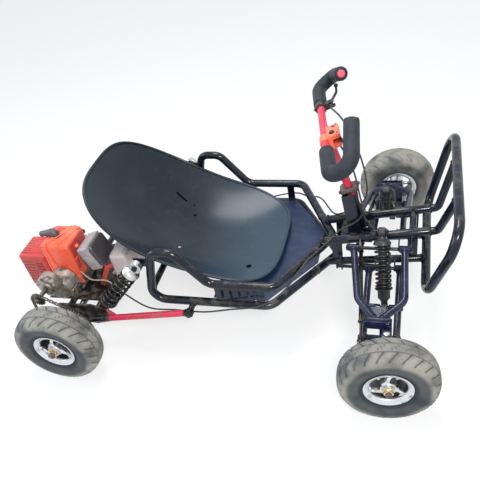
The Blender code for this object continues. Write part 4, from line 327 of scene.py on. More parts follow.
def pierced(columns, rows, kept, thickness, origin, x_axis, y_axis):
    """A flat plate on a grid of lines. Cells that aren't kept are holes, and a wall stands on each
    edge between a kept cell and a hole."""
    columns, rows = np.asarray(columns, float), np.asarray(rows, float)
    kept = np.asarray(kept, bool)
    x_axis, y_axis = unit(x_axis), unit(y_axis)
    across, up = np.meshgrid(columns, rows, indexing="ij")
    flat = np.asarray(origin) + across[..., None] * x_axis + up[..., None] * y_axis
    depth = np.cross(x_axis, y_axis) * thickness / 2
    points = np.concatenate([(flat - depth).reshape(-1, 3), (flat + depth).reshape(-1, 3)])
    height, lift = len(rows), len(columns) * len(rows)
    i, j = np.nonzero(kept)
    cells = np.stack([i * height + j, (i + 1) * height + j, (i + 1) * height + j + 1, i * height + j + 1], -1)
    faces = [cells + lift, cells[:, ::-1]]
    wide = np.pad(kept, 1).astype(int)
    i, j = np.nonzero(np.diff(wide, axis=0)[:, 1:-1])
    ends = [(i * height + j, i * height + j + 1)]
    i, j = np.nonzero(np.diff(wide, axis=1)[1:-1, :])
    ends.append((i * height + j, (i + 1) * height + j))
    for first, second in ends:
        faces.append(np.stack([first, second, second + lift, first + lift], -1))
    return points, faces


# %% Put shapes into one piece
def piece(name, shapes, finish, body, nodes=(), slot=None, crease=34.0, **values):
    """Join shapes into one object at the origin, weld what coincides and point its faces outwards.
    The piece rides on a body unless that is None and stands for CAD nodes. The slot it is given is
    not used."""
    counts = np.cumsum([0] + [len(points) for points, _ in shapes])
    points = np.concatenate([points for points, _ in shapes]) - (REAR_X, 0.0, 0.0)
    faces = [face + start for start, (_, group) in zip(counts, shapes) for face in group]
    corners = np.concatenate([face.ravel() for face in faces])
    sizes = np.concatenate([np.full(len(face), face.shape[1]) for face in faces])
    mesh = bpy.data.meshes.new(name)
    mesh.vertices.add(len(points))
    mesh.vertices.foreach_set("co", points.ravel())
    mesh.loops.add(len(corners))
    mesh.loops.foreach_set("vertex_index", corners)
    mesh.polygons.add(len(sizes))
    mesh.polygons.foreach_set("loop_start", np.cumsum(sizes) - sizes)
    mesh.update(calc_edges=True)
    for key, array in values.items():
        mesh.attributes.new(key, "FLOAT", "POINT").data.foreach_set("value", np.asarray(array, float))
    shape = bmesh.new()
    shape.from_mesh(mesh)
    bmesh.ops.remove_doubles(shape, verts=shape.verts, dist=0.000003)
    bmesh.ops.recalc_face_normals(shape, faces=shape.faces)
    shape.to_mesh(mesh)
    shape.free()
    mesh.shade_smooth()
    mesh.set_sharp_from_angle(angle=math.radians(crease))
    mesh.materials.append(finish)
    made = bpy.data.objects.new(name, mesh)
    bpy.context.scene.collection.objects.link(made)
    if body is not None:
        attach(made, body)
    if nodes:
        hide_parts(*nodes)
    print(name, "faces:", len(mesh.polygons))
    return made

# %% [markdown]
# ## Finishes
# A kart that has been driven is never one flat colour. Its paint is glossy where hands and trousers
# wipe it and dusty on top, its castings hold brown dirt, its tyres carry sand. Each finish below is
# a small node tree of its own: noise in object space gives patches and grain, the surface's normal
# tells where dust settles, and the height above the ground tells where mud is thrown.

# %% Tools for node trees
def node(tree, kind, inputs=(), **settings):
    """Add a node. A socket given as an input is linked, and a plain value is written into it."""
    made = tree.nodes.new("ShaderNode" + kind)
    for key, value in settings.items():
        setattr(made, key, value)
    for socket, value in dict(inputs).items():
        if isinstance(value, bpy.types.NodeSocket):
            tree.links.new(value, made.inputs[socket])
        else:
            made.inputs[socket].default_value = value
    return made


def start_finish(name, roughness, metallic=0.0, coat=0.0, sheen=0.0, specular=0.5):
    """A new material with its shader. Values that are the same all over go straight on the shader."""
    material = bpy.data.materials.new(name)
    material.use_nodes = True
    tree = material.node_tree
    shader = tree.nodes["Principled BSDF"]
    settings = {"Roughness": roughness, "Metallic": metallic, "Coat Weight": coat, "Coat Roughness": 0.12,
                "Sheen Weight": sheen, "Specular IOR Level": specular}
    for socket, value in settings.items():
        shader.inputs[socket].default_value = value
    return material, tree, shader


def noise(tree, scale, detail=4.0, stretch=(1.0, 1.0, 1.0)):
    """Noise in object space, stretched along the axes where a finish has a direction."""
    where = node(tree, "TexCoord").outputs["Object"]
    if stretch != (1.0, 1.0, 1.0):
        where = node(tree, "Mapping", {"Vector": where, "Scale": stretch}).outputs[0]
    return node(tree, "TexNoise", {"Vector": where, "Scale": scale, "Detail": detail}).outputs[0]


def ease(tree, value, low, high, to_low=0.0, to_high=1.0):
    """Bring a value smoothly from one range to another and hold it there."""
    return node(tree, "MapRange", {0: value, 1: low, 2: high, 3: to_low, 4: to_high},
                interpolation_type="SMOOTHSTEP").outputs[0]


def times(tree, first, second, operation="MULTIPLY"):
    """Multiply, add or compare two values."""
    return node(tree, "Math", {0: first, 1: second}, operation=operation, use_clamp=True).outputs[0]


def mixed(tree, share, first, second):
    """Mix two colours, each a socket or a plain linear colour."""
    first, second = (value if isinstance(value, bpy.types.NodeSocket) else (*value, 1.0)
                     for value in (first, second))
    return node(tree, "Mix", {0: share, 6: first, 7: second}, data_type="RGBA").outputs[2]


def facing_up(tree):
    """How far a surface faces the sky, from -1 to 1."""
    normal = node(tree, "NewGeometry").outputs["Normal"]
    return node(tree, "SeparateXYZ", {0: normal}).outputs["Z"]


def coordinate(tree, axis):
    """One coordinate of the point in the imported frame."""
    return node(tree, "SeparateXYZ", {0: node(tree, "TexCoord").outputs["Object"]}).outputs[axis]


def raised(tree, shader, height, depth, strength=1.0):
    """Let a height bend the light on the surface."""
    bump = node(tree, "Bump", {"Height": height, "Distance": depth, "Strength": strength})
    tree.links.new(bump.outputs[0], shader.inputs["Normal"])


def joined_to(tree, shader, **sockets):
    """Link sockets of the shader by name, with _ for a space."""
    for key, value in sockets.items():
        tree.links.new(value, shader.inputs[key.replace("_", " ")])


DUST = (0.22, 0.185, 0.145)
MUD = (0.105, 0.085, 0.062)
print("dust and mud are mixed over every finish")

# %% [markdown]
# ### Painted steel
# The frame is sprayed nearly black with a blue cast, the bar and the swinging arms pinkish red. Wet
# paint has a faint orange peel, a rounder noise of about a centimetre. Dust lies only where the tube
# faces up, in patches, and mud thickens below the floor's height.

# %% Paint for the frame, the bar and the arms
MUD_FULL_Z, MUD_NONE_Z = 0.135, 0.205
PAINT_EDGE = 0.002


def painted_steel(name, colour, faded, dust, mud, roughness=0.14, second=None):
    """Gloss paint that fades in patches, with dust on top and mud low down. A second paint, given by
    two places along X and a colour, covers the tube between them."""
    material, tree, shader = start_finish(name, roughness, specular=0.35)
    patches = noise(tree, 16.0, 6.0)
    speckle = noise(tree, 210.0, 3.0)
    paint = mixed(tree, ease(tree, patches, 0.40, 0.72), colour, faded)
    if second is not None:
        rear, front, second_colour = second
        along = coordinate(tree, "X")
        share = times(tree, ease(tree, along, rear - PAINT_EDGE, rear + PAINT_EDGE),
                      ease(tree, along, front + PAINT_EDGE, front - PAINT_EDGE))
        share = times(tree, share, ease(tree, patches, 0.78, 0.66))
        paint = mixed(tree, share, paint, second_colour)
    clump = noise(tree, 42.0, 8.0)
    on_top = times(tree, ease(tree, facing_up(tree), 0.25, 1.0, 0.0, dust), ease(tree, clump, 0.42, 0.70))
    low_down = times(tree, ease(tree, coordinate(tree, "Z"), MUD_NONE_Z, MUD_FULL_Z, 0.0, mud),
                     ease(tree, clump, 0.46, 0.62))
    dirty = mixed(tree, on_top, paint, DUST)
    dirty = mixed(tree, low_down, dirty, mixed(tree, speckle, MUD, DUST))
    dull = times(tree, on_top, low_down, "ADD")
    joined_to(tree, shader, Base_Color=dirty, Roughness=ease(tree, dull, 0.0, 0.8, roughness, 0.85))
    peel = times(tree, noise(tree, 95.0, 2.0), times(tree, dull, speckle), "ADD")
    raised(tree, shader, peel, 0.0006, 0.35)
    return material


FRAME_PAINT = painted_steel("frame_paint_gloss", (0.004, 0.007, 0.015), (0.009, 0.017, 0.034), 0.24, 0.55)
ARM_PAINT = painted_steel("front_arm_paint", (0.006, 0.010, 0.034), (0.014, 0.022, 0.062), 0.08, 0.2)
RED_PAINT = painted_steel("red_bar_paint", (0.60, 0.027, 0.066), (0.70, 0.070, 0.120), 0.10, 0.3, 0.3)
SWING_RED = (0.112 - REAR_X, 0.368 - REAR_X, (0.64, 0.030, 0.070))
SWING_PAINT = painted_steel("swing_arm_paint", (0.006, 0.006, 0.007), (0.018, 0.016, 0.015), 0.25, 0.5, 0.35,
                            SWING_RED)
print("painted steel:", FRAME_PAINT.name, RED_PAINT.name, SWING_PAINT.name)

# %% [markdown]
# ### Metals
# Bright nuts, damper rods and eyes are plated steel with fine turning marks. The rims are cast
# aluminium, satin with a little dust in patches. The engine's castings are the dirtiest thing
# on the kart: pale metal with brown oily dirt in broad patches.

# %% Bright steel, cast rims and dirty castings
def bare_metal(name, colour, dark, roughness, dirt, grain=120.0, depth=0.0003, stretch=(1.0, 1.0, 1.0)):
    """Metal whose colour and gloss go from clean to dirty with two sizes of noise."""
    material, tree, shader = start_finish(name, roughness, 0.9)
    stain = ease(tree, noise(tree, 38.0, 9.0), 0.62 - dirt * 0.3, 0.70)
    fine = noise(tree, grain, 5.0, stretch)
    colour = mixed(tree, times(tree, stain, ease(tree, fine, 0.3, 0.65)), colour, dark)
    joined_to(tree, shader, Base_Color=colour,
              Roughness=ease(tree, times(tree, stain, fine), 0.0, 0.6, roughness, min(1.0, roughness + 0.45)),
              Metallic=ease(tree, stain, 0.2, 0.9, 0.95, 0.35))
    raised(tree, shader, times(tree, fine, stain, "ADD"), depth, 0.5)
    return material


BRIGHT_STEEL = bare_metal("plated_steel", (0.60, 0.60, 0.59), (0.20, 0.16, 0.12), 0.24, 0.4)
RIM_METAL = bare_metal("cast_rim", (0.70, 0.72, 0.75), (0.24, 0.22, 0.19), 0.33, 0.25, 300.0, 0.0002)
BRASS = bare_metal("brass_nut", (0.72, 0.57, 0.36), (0.25, 0.17, 0.09), 0.25, 0.3)
DARK_STEEL = bare_metal("oiled_steel", (0.17, 0.155, 0.14), (0.035, 0.028, 0.022), 0.38, 0.7)
CASTING = bare_metal("dirty_casting", (0.42, 0.385, 0.34), (0.050, 0.038, 0.028), 0.5, 0.85, 90.0, 0.0012)
print("metals:", BRIGHT_STEEL.name, RIM_METAL.name, CASTING.name)

# %% [markdown]
# ### Plastics and foam
# Moulded covers have a fine spark-eroded grain and fade a little towards pink or grey. The seat is
# a smooth satin shell. Painted shade darkens its upright back, and a painted reflection of the sky
# makes its base blue-grey. Grips are closed-cell foam: very fine pores, no gloss, a faint
# bloom.

# %% Moulded plastic
def moulded_plastic(name, colour, faded, roughness, dirt, specular=0.5):
    """Plastic with an even grain, broad fading, and dirt that gathers in speckled patches."""
    material, tree, shader = start_finish(name, roughness, specular=specular)
    broad = noise(tree, 11.0, 3.0)
    spots = noise(tree, 55.0, 8.0)
    tint = mixed(tree, ease(tree, broad, 0.35, 0.68), colour, faded)
    share = ease(tree, spots, 0.66 - 0.22 * dirt, 0.80, 0.0, min(1.0, 1.4 * dirt))
    joined_to(tree, shader, Base_Color=mixed(tree, share, tint, MUD),
              Roughness=ease(tree, times(tree, share, broad, "ADD"), 0.3, 1.2, roughness, roughness + 0.25))
    raised(tree, shader, noise(tree, 420.0, 2.0), 0.00025, 0.4)
    return material


ORANGE = moulded_plastic("orange_cover", (0.93, 0.115, 0.050), (0.98, 0.21, 0.115), 0.34, 0.10)
# Black without gloss, for the dark discs that stand for open holes as painted shade.
HOLE_SHADE = moulded_plastic("hole_painted_shade", (0.003, 0.004, 0.006), (0.005, 0.006, 0.008), 0.7, 0.0, 0.0)
CRIMSON = moulded_plastic("crimson_guard", (0.50, 0.045, 0.040), (0.60, 0.085, 0.070), 0.45, 0.35)
GREY = moulded_plastic("grey_box", (0.33, 0.30, 0.31), (0.42, 0.38, 0.37), 0.45, 0.25)
CHARCOAL = moulded_plastic("charcoal_lid", (0.055, 0.048, 0.054), (0.085, 0.073, 0.080), 0.38, 0.2)
BLACK = moulded_plastic("black_fitting", (0.009, 0.010, 0.011), (0.024, 0.024, 0.026), 0.34, 0.25)
BOOT_GREY = moulded_plastic("boot_rubber", (0.050, 0.047, 0.052), (0.095, 0.090, 0.095), 0.35, 0.2)
TANK = moulded_plastic("pale_tank", (0.60, 0.52, 0.50), (0.70, 0.62, 0.58), 0.35, 0.25)
print("plastics:", ORANGE.name, CRIMSON.name, GREY.name)


# %% Seat, floor, foam, springs and cable sheath
def seat_finish():
    """The seat's satin shell: painted shade darkens the upright back, and a painted reflection of the
    sky makes the front blue-grey; a little dust lies in front.
    """
    material, tree, shader = start_finish("seat_satin_and_painted_shade", 0.22, coat=0.04, specular=0.26)
    cloud = noise(tree, 5.0, 5.0)
    # Painted shade and reflection: the colour goes from dark on the back to lighter blue-grey on the base,
    # along X.
    ahead = ease(tree, coordinate(tree, "X"), -0.20, 0.10)
    tint = mixed(tree, ahead, (0.008, 0.015, 0.022), (0.036, 0.060, 0.088))
    tint = mixed(tree, ease(tree, cloud, 0.42, 0.80, 0.0, 0.35), tint, (0.050, 0.068, 0.082))
    specks = ease(tree, noise(tree, 34.0, 12.0), 0.50, 0.80, 0.0, 0.035)
    dust = times(tree, specks, ease(tree, facing_up(tree), 0.2, 0.9))
    joined_to(tree, shader, Base_Color=mixed(tree, dust, tint, (0.30, 0.30, 0.28)),
              Roughness=ease(tree, times(tree, cloud, dust, "ADD"), 0.2, 0.9, 0.22, 0.36))
    raised(tree, shader, noise(tree, 520.0, 2.0), 0.00006, 0.3)
    return material


def foam_finish():
    """Closed-cell foam: tiny pores in a dark slate colour."""
    material, tree, shader = start_finish("foam_sleeve", 0.55, sheen=0.03, specular=0.35)
    where = node(tree, "TexCoord").outputs["Object"]
    pores = node(tree, "TexVoronoi", {"Vector": where, "Scale": 900.0}).outputs[0]
    patches = ease(tree, noise(tree, 30.0, 5.0), 0.3, 0.7)
    tint = mixed(tree, patches, (0.008, 0.012, 0.018), (0.018, 0.024, 0.033))
    joined_to(tree, shader, Base_Color=tint, Roughness=ease(tree, pores, 0.0, 0.7, 0.5, 0.75))
    raised(tree, shader, pores, 0.0004, 0.5)
    return material


def cable_finish():
    """Sheath that is black along the frame and bleached beige near the engine."""
    material, tree, shader = start_finish("cable_sheath_finish", 0.5)
    spots = noise(tree, 120.0, 6.0)
    share = ease(tree, coordinate(tree, "X"), 0.190 - REAR_X, 0.130 - REAR_X)
    tint = mixed(tree, share, (0.030, 0.028, 0.026), (0.36, 0.33, 0.25))
    joined_to(tree, shader, Base_Color=mixed(tree, ease(tree, spots, 0.5, 0.75, 0.0, 0.6), tint, DUST),
              Roughness=ease(tree, spots, 0.3, 0.7, 0.35, 0.7))
    raised(tree, shader, spots, 0.0002, 0.4)
    return material


SEAT = seat_finish()
FOAM = foam_finish()
SHEATH = cable_finish()
PAN_PAINT = painted_steel("pan_blue_paint", (0.010, 0.024, 0.066), (0.018, 0.036, 0.088), 0.06, 0.0, 0.40)
SPRING_PAINT = painted_steel("spring_black_paint", (0.005, 0.005, 0.006), (0.014, 0.014, 0.014),
                             0.12, 0.2, 0.12)
print("seat, foam, cable, pan and spring finishes are ready")

# %% [markdown]
# ### Tyre rubber
# Dust lies on the tread's blocks and shoulders. The dust value is lower in the grooves and on the wall
# by the rim, which leaves them darker. The tyre's mesh carries that as a value at each point, so the
# finish follows the pattern that was modelled, whatever way the wheel is turned.

# %% Rubber
def rubber():
    """Grey rubber, with dust by the mesh's own dust value and broken up by noise."""
    material, tree, shader = start_finish("tyre_rubber_dusty", 0.8, specular=0.20)
    given = node(tree, "Attribute", attribute_name="dust").outputs["Fac"]
    patches = noise(tree, 17.0, 8.0)
    share = times(tree, ease(tree, given, 0.0, 1.0), ease(tree, patches, 0.28, 0.62, 0.25, 1.0))
    base = mixed(tree, patches, (0.014, 0.022, 0.031), (0.034, 0.045, 0.056))
    grit = noise(tree, 340.0, 4.0)
    tint = mixed(tree, grit, (0.23, 0.225, 0.20), (0.40, 0.38, 0.33))
    joined_to(tree, shader, Base_Color=mixed(tree, share, base, tint),
              Roughness=ease(tree, share, 0.0, 1.0, 0.58, 0.95))
    raised(tree, shader, times(tree, grit, patches, "ADD"), 0.0005, 0.4)
    return material


RUBBER = rubber()
print("rubber reads the attribute: dust")

# %% [markdown]
# ## The frame
# Each side of the kart is one tube, bent six times: from the nose back along the upper rail, up over
# the hoop beside the seat, down and forward along the lower rail. Where tubes meet they are welded,
# and a weld is a small rippled ring. The front frame ties both sides together and carries the arms.

# %% Places on the frame
FRONT_TUBE_Y = 0.051
NOSE_UPPER, NOSE_LOWER = (0.773, 0.0, 0.232), (0.785, 0.0, 0.166)
HOOP_X, HOOP_Z, HOOP_FOOT_X = 0.300, 0.363, 0.252
SWING_PIVOT = (0.387, 0.172)
UPPER_BOLT, LOWER_BOLT = (0.080, 0.262), (0.080, 0.187)
FRONT_DAMPER_TOP, FRONT_DAMPER_FOOT = (0.922, 0.095, 0.335), (0.936, 0.205, 0.15575)
REAR_DAMPER_TOP, REAR_DAMPER_FOOT = (0.250, 0.262, 0.320), (0.0925, 0.262, 0.145)
BOLT = 0.005
FRONT_SLOPE = 0.173


def long_z(x):
    """Height of the upper front tube's centre."""
    return 0.2515 + FRONT_SLOPE * (x - 0.728)


def low_long_z(x):
    """Height of the lower front tube's centre."""
    return 0.176 + 0.030 * (x - 0.748) / 0.2815


def on_tube(x, side, line=long_z):
    """A point of a front tube's centre line."""
    return at(x, FRONT_TUBE_Y, line(x), side)


def hoop_x(z):
    """How far forward the rear leg of the hoop stands at a height."""
    return HOOP_FOOT_X + (HOOP_X - HOOP_FOOT_X) * (z - LOWER_Z) / (HOOP_Z - LOWER_Z)


def nose_joint(bend_x, bend_z, nose, side):
    """Where a side's tube meets the nose."""
    outer = at(bend_x, RAIL_Y, bend_z, side)
    return outer + (np.array(nose) - outer) * (1 - 0.085 / RAIL_Y)


def bolted(x, z, start, end, spacer_end, side, radius=0.0085):
    """A spacer on the frame, the bolt through it along Y, and the nut and washer on the bolt's end."""
    nut_y = end - 0.0065
    return [along_y(rod, start, spacer_end, x, z, radius, side), along_y(rod, start, end, x, z, BOLT, side),
            along_y(nut, nut_y, nut_y + 0.0055, x, z, 0.009, side),
            along_y(rod, nut_y - 0.0004, nut_y + 0.0008, x, z, 0.0102, side)]


UPPER_JOINT = {side: nose_joint(0.640, UPPER_Z, NOSE_UPPER, side) for side in (-1, 1)}
LOWER_JOINT = {side: nose_joint(0.622, LOWER_Z, NOSE_LOWER, side) for side in (-1, 1)}
print("upper tubes meet the nose at", np.round(UPPER_JOINT[1], 3))


# %% Side frames
def side_tube(side):
    """The one tube of a side, bent six times, with the welds at both its ends."""
    knees = ((0.640, UPPER_Z), (0.450, UPPER_Z), (0.364, HOOP_Z), (HOOP_X, HOOP_Z), (HOOP_FOOT_X, LOWER_Z),
             (0.622, LOWER_Z))
    corners = [at(x, RAIL_Y, z, side) for x, z in knees]
    bends = (0.040, 0.040, 0.040, 0.030, 0.040, 0.040)
    path = bent([UPPER_JOINT[side], *corners, LOWER_JOINT[side]], bends, 12)
    shapes = [tube(path, TUBE, 28, 0.0001)]
    for end, inner in ((path[0], path[1]), (path[-1], path[-2])):
        shapes.append(weld(end, inner - end, TUBE - 0.0004, 0.0016))
    return shapes


def rail_guard():
    """The slotted plate between the right side's rails, and the bar across the kart under the seat."""
    slots = 0.480 + 0.026 * np.arange(4)[:, None] + [0.0, 0.008]
    columns = np.concatenate([[0.462], slots.ravel(), [0.577]])
    rows = [LOWER_Z + 0.004, 0.198, 0.228, UPPER_Z - 0.004]
    kept = np.ones((len(columns) - 1, 3), bool)
    kept[1::2, 1] = False
    bar_z = 0.210
    return [pierced(columns, rows, kept, 0.004, (0, -RAIL_Y, 0), (1, 0, 0), (0, 0, 1)),
            along_y(rod, -RAIL_Y, 0.232, hoop_x(bar_z), bar_z, 0.010),
            weld((hoop_x(bar_z), -0.2325, bar_z), (0, 1, 0), 0.0102, 0.0020)]


def side_frame(word, side):
    """The hoop and both rails of one side, with lugs, bolts and the plates between the rails."""
    shapes = side_tube(side)
    x, z = SWING_PIVOT
    shapes += bolted(x, z, RAIL_Y, 0.306, 0.2807, side, 0.009)
    shapes.append(weld(at(x, RAIL_Y + 0.0115, z, side), (0, 1, 0), 0.0092, 0.0019))
    x, z = REAR_DAMPER_TOP[::2]
    lug_y = 0.2425
    start, end = at(hoop_x(z), lug_y, z, side), at(x - 0.013, lug_y, z, side)
    shapes.append(strap(start, end, 0.030, 0.004, (0, 1, 0)))
    shapes += bolted(x, z, lug_y, 0.2765, 0.2527, side)

    tab_x = 0.595
    low, high = at(tab_x, RAIL_Y, LOWER_Z, side), at(tab_x, RAIL_Y, UPPER_Z, side)
    shapes.append(strap(low, high, 0.024, 0.004, (0, 1, 0)))
    for height in (LOWER_Z + TUBE, UPPER_Z - TUBE):
        for x in np.linspace(tab_x - 0.010, tab_x + 0.010, 9):
            shapes.append(weld(at(x, RAIL_Y, height, side), (0, 1, 0), 0.0001, 0.0023, 6))
    if side < 0:
        shapes += rail_guard()
    piece(f"side_tubes_{word}", shapes, FRAME_PAINT, "chassis", [f"side_frame_{word}"], "frame_paint")


for word, side in SIDES:
    side_frame(word, side)


# %% Front frame
def bracket(foot, tip, width=0.020, thickness=0.004):
    """An ear: a flat plate that stands across the kart and ends round about its bolt."""
    foot, tip = np.asarray(foot, float), np.asarray(tip, float)
    up = unit(tip - foot)
    side = np.cross(up, (1.0, 0.0, 0.0))
    reach = np.linalg.norm(tip - foot)
    angle = np.linspace(0.0, math.pi, 9)
    half = width / 2
    arc = np.stack([half * np.cos(angle), reach - half + half * np.sin(angle)], -1)
    outline = np.concatenate([[[-half, 0.0], [half, 0.0]], arc])
    return plate(outline, thickness, foot, side, up, 0.0006)


def arm_ears(side):
    """The long bolt of either arm with its nuts, and the ears that hold it."""
    shapes = []
    for (y, height), line, start, end, ears in (
        (UPPER_BOLT, long_z, 0.820, 1.007, (0.8264, 0.8596, 0.9674, 1.0006)),
        (LOWER_BOLT, low_long_z, 0.788, 0.996, (0.806, 0.8684, 0.9016, 0.9564, 0.9896)),
    ):
        shapes.append(along_x(rod, start, end, y, height, BOLT, side))
        for x in (start + 0.001, end - 0.006):
            shapes.append(along_x(nut, x, x + 0.005, y, height, 0.0088, side))
        for x in ears:
            shapes.append(bracket(at(x, 0.049, line(x) - 0.002, side), at(x, y + 0.010, height, side)))
    return shapes


def damper_ears(side):
    """The two ears above a front tube, with the bolt through the damper's upper eye."""
    y, z = FRONT_DAMPER_TOP[1:]
    shapes = []
    for x in (0.9108, 0.9332):
        foot = at(x, 0.049, long_z(x) - 0.004, side)
        shapes.append(bracket(foot, foot + (at(x, y, z, side) - foot) * 1.15, 0.022))
    shapes.append(along_x(rod, 0.904, 0.940, y, z, BOLT, side))
    for x in (0.9045, 0.9355):
        shapes.append(along_x(nut, x, x + 0.004, y, z, 0.0088, side))
    return shapes


def front_frame():
    """The nose, the front tubes, the ears and bolts of the arms, and the post's shelf."""
    shapes = []
    for ends, nose in ((UPPER_JOINT, NOSE_UPPER), (LOWER_JOINT, NOSE_LOWER)):
        shapes.append(tube(bent([ends[-1], nose, ends[1]], (0.030,), 16), TUBE, 28, 0.0001))
    for side in (-1, 1):
        rear, front = on_tube(0.742, side), on_tube(1.050, side)
        shapes.append(rod(rear, front, TUBE))
        shapes.append(weld(rear + (front - rear) * 0.032, front - rear, TUBE, 0.0024))
        rear, front = on_tube(0.754, side, low_long_z), on_tube(1.0292, side, low_long_z)
        shapes += [rod(rear, front, 0.0115), weld(front, front - rear, 0.0112, 0.0017)]
        for x, width in ((0.790, 0.030), (1.006, 0.024)):
            shapes.append(strap(on_tube(x, side, low_long_z), on_tube(x, side), width, 0.005, (0, 1, 0)))
        shapes += arm_ears(side) + damper_ears(side)

    for x, line, radius in ((1.003, long_z, 0.010), (0.998, low_long_z, 0.009)):
        shapes.append(rod(on_tube(x, -1, line), on_tube(x, 1, line), radius))
        for side in (-1, 1):
            shapes.append(weld(at(x, FRONT_TUBE_Y - TUBE, line(x), side), (0, 1, 0), radius, 0.0018))
    shapes.append(block((0.800, -0.058, 0.264), (0.892, 0.058, 0.269), 0.0012))
    collar_ring = sleeve(0.335, 0.363, 0.0121, 0.0172, 0.0015, 0.0012)
    shapes.append(turned(collar_ring, BAR_CENTRE, CLAMP_CENTRE - BAR_CENTRE, 48, True))
    piece("front_tubes", shapes, FRAME_PAINT, "chassis", ["front_frame"], "frame_paint")


front_frame()

# %% Bumper, floor pan and steering post
def bumper():
    """The closed loop at the front, with its two struts and four welds."""
    low_x, low_y, low_z = 1.043, 0.197, 0.206
    top_x, top_y, top_z = 1.110, 0.258, 0.451
    corners = [(low_x, 0.0, low_z), (low_x, low_y, low_z), (top_x, top_y, top_z), (top_x, -top_y, top_z),
               (low_x, -low_y, low_z), (low_x, 0.0, low_z)]
    path = bent(corners, (0.065,) * 4, 14)[:-1]
    shapes = [tube(path, 0.0130, 30, closed=True)]
    for side in (-1, 1):
        start = on_tube(1.050, side)
        ahead = unit([1.0, 0.0, FRONT_SLOPE])
        top = at(top_x, 0.090, top_z, side)
        strut = bent([start, start + ahead * 0.020, top], (0.018,), 8)
        down = unit(strut[-2] - top)
        shapes += [tube(strut, 0.0115, 24), weld(top + down * 0.0135, down, 0.0114, 0.0020),
                   weld(start, ahead, 0.0116, 0.0020)]
    piece("bumper_loop", shapes, FRAME_PAINT, "chassis", ["bumper"], "frame_paint")


def floor_pan():
    """The flat pan, with bolts along its edges."""
    top, sheet = LOWER_Z + TUBE + 0.0028, 0.0025
    right = [(0.450, -0.239), (0.612, -0.239), (0.733, -0.072)]
    outline = right + [(x, -y) for x, y in right[::-1]]
    shapes = [plate(outline, sheet, (0, 0, top - sheet / 2), (1, 0, 0), (0, 1, 0), 0.0007)]
    head = [(0.0, 0.0050), (0.0012, 0.0048), (0.0020, 0.0036), (0.0024, 0.0)]
    for x, y in ((0.470, 0.225), (0.600, 0.225), (0.690, 0.115)):
        for side in (-1, 1):
            shapes.append(turned(head, at(x, y, top, side), (0, 0, 1), 24))
    piece("pan_sheet", shapes, PAN_PAINT, "chassis", ["floor_pan"], "pan_paint")


def steering_post():
    """The channel behind the column, folded from sheet, and its foot flange."""
    foot_z, sheet = 0.2693, 0.003
    under = BAR_CENTRE + unit(CLAMP_CENTRE - BAR_CENTRE) * 0.2083
    tilt = math.atan2(0.059, 0.191)
    slope = np.array([math.cos(tilt), 0.0, math.sin(tilt)])
    rear, front = under - slope * 0.0235, under + slope * 0.0135
    shapes = [strap((0.8245, 0, foot_z), rear + slope * sheet / 2, 0.054, sheet, (1, 0, 0.15), 0.0008)]
    outline = [(0.823, foot_z), (0.860, foot_z), (front[0], front[2]), (rear[0], rear[2])]
    for side in (-1, 1):
        shapes.append(plate(outline, sheet, (0, side * 0.026, 0), (1, 0, 0), (0, 0, 1), 0.0007))
        foot = at(0.8195, 0.0325, foot_z + sheet, side)
        shapes.append(nut(foot, foot + (0, 0, 0.005), 0.0045))
    shapes.append(block((0.812, -0.0375, foot_z), (0.847, 0.0375, foot_z + sheet), 0.0008))
    piece("post_channel", shapes, FRAME_PAINT, "chassis", ["steering_post"], "frame_paint")


bumper()
floor_pan()
steering_post()

# %% [markdown]
# ## Handlebar and controls
# The bar, its grips and its levers are drawn in the steering's own frame, with the column along Z
# and the bar along Y, and then turned as the kart was parked. Red paint reaches down to the bearing
# block and the column below it is dark.

# %% The steering's own frame
TILT = math.atan2(CLAMP_CENTRE[0] - BAR_CENTRE[0], BAR_CENTRE[2] - CLAMP_CENTRE[2])


def turn_z(angle):
    """The matrix of a turn about Z."""
    c, s = math.cos(angle), math.sin(angle)
    return np.array([[c, -s, 0], [s, c, 0], [0, 0, 1]])


def turn_y(angle):
    """The matrix of a turn about Y."""
    c, s = math.cos(angle), math.sin(angle)
    return np.array([[c, 0, s], [0, 1, 0], [-s, 0, c]])


STEER = turn_y(-TILT) @ turn_z(BAR_TURN)


def steered(shapes):
    """Put shapes from the steering's frame into the kart's."""
    return [moved(shape, STEER.T, BAR_CENTRE) for shape in shapes]


def paired(word, name, shapes, finish, body, cad_node, slot, crease=34.0):
    """A piece of one side: its name, its body and its CAD node all end in the side's word."""
    piece(f"{name}_{word}", shapes, finish, f"{body}_{word}", [f"{cad_node}_{word}"], slot, crease)


def bar_path(side):
    """Half of the bar's loop, from its middle round to its open tip."""
    corners = [(0, 0, 0), (0, side * 0.246, 0), (0.053, side * 0.270, 0.013), (0.082, side * 0.141, 0.058)]
    return bent(corners, (0.033, 0.033), 12)


def stretch(path, start, end, steps):
    """Points at equal distances along a path, between two distances. An end of 0 or less counts back
    from the path's end."""
    travelled = np.concatenate([[0.0], np.cumsum(np.linalg.norm(np.diff(path, axis=0), axis=1))])
    wanted = np.linspace(start, end if end > 0 else travelled[-1] + end, steps)
    return np.stack([np.interp(wanted, travelled, column) for column in path.T], -1)


print("steering column leans by", round(math.degrees(TILT), 1), "degrees")

# %% Bar, column and bearing block
COLUMN = 0.0115
PLATE_PIN = (-0.0305, 0.015)
near_half = stretch(bar_path(-1), 0.0, -0.004, 90)
bar_line = np.concatenate([near_half[::-1], bar_path(1)[1:]])
bar_shapes = [tube(bar_line, 0.0105, 28, 0.0012), rod((0, 0, 0), (0, 0, -0.222), COLUMN, 32),
              weld((0, 0, -0.0105), (0, 0, 1), 0.0113, 0.0022)]
piece("bar_loop", steered(bar_shapes), RED_PAINT, "steering", ["handlebar"], "red_paint")

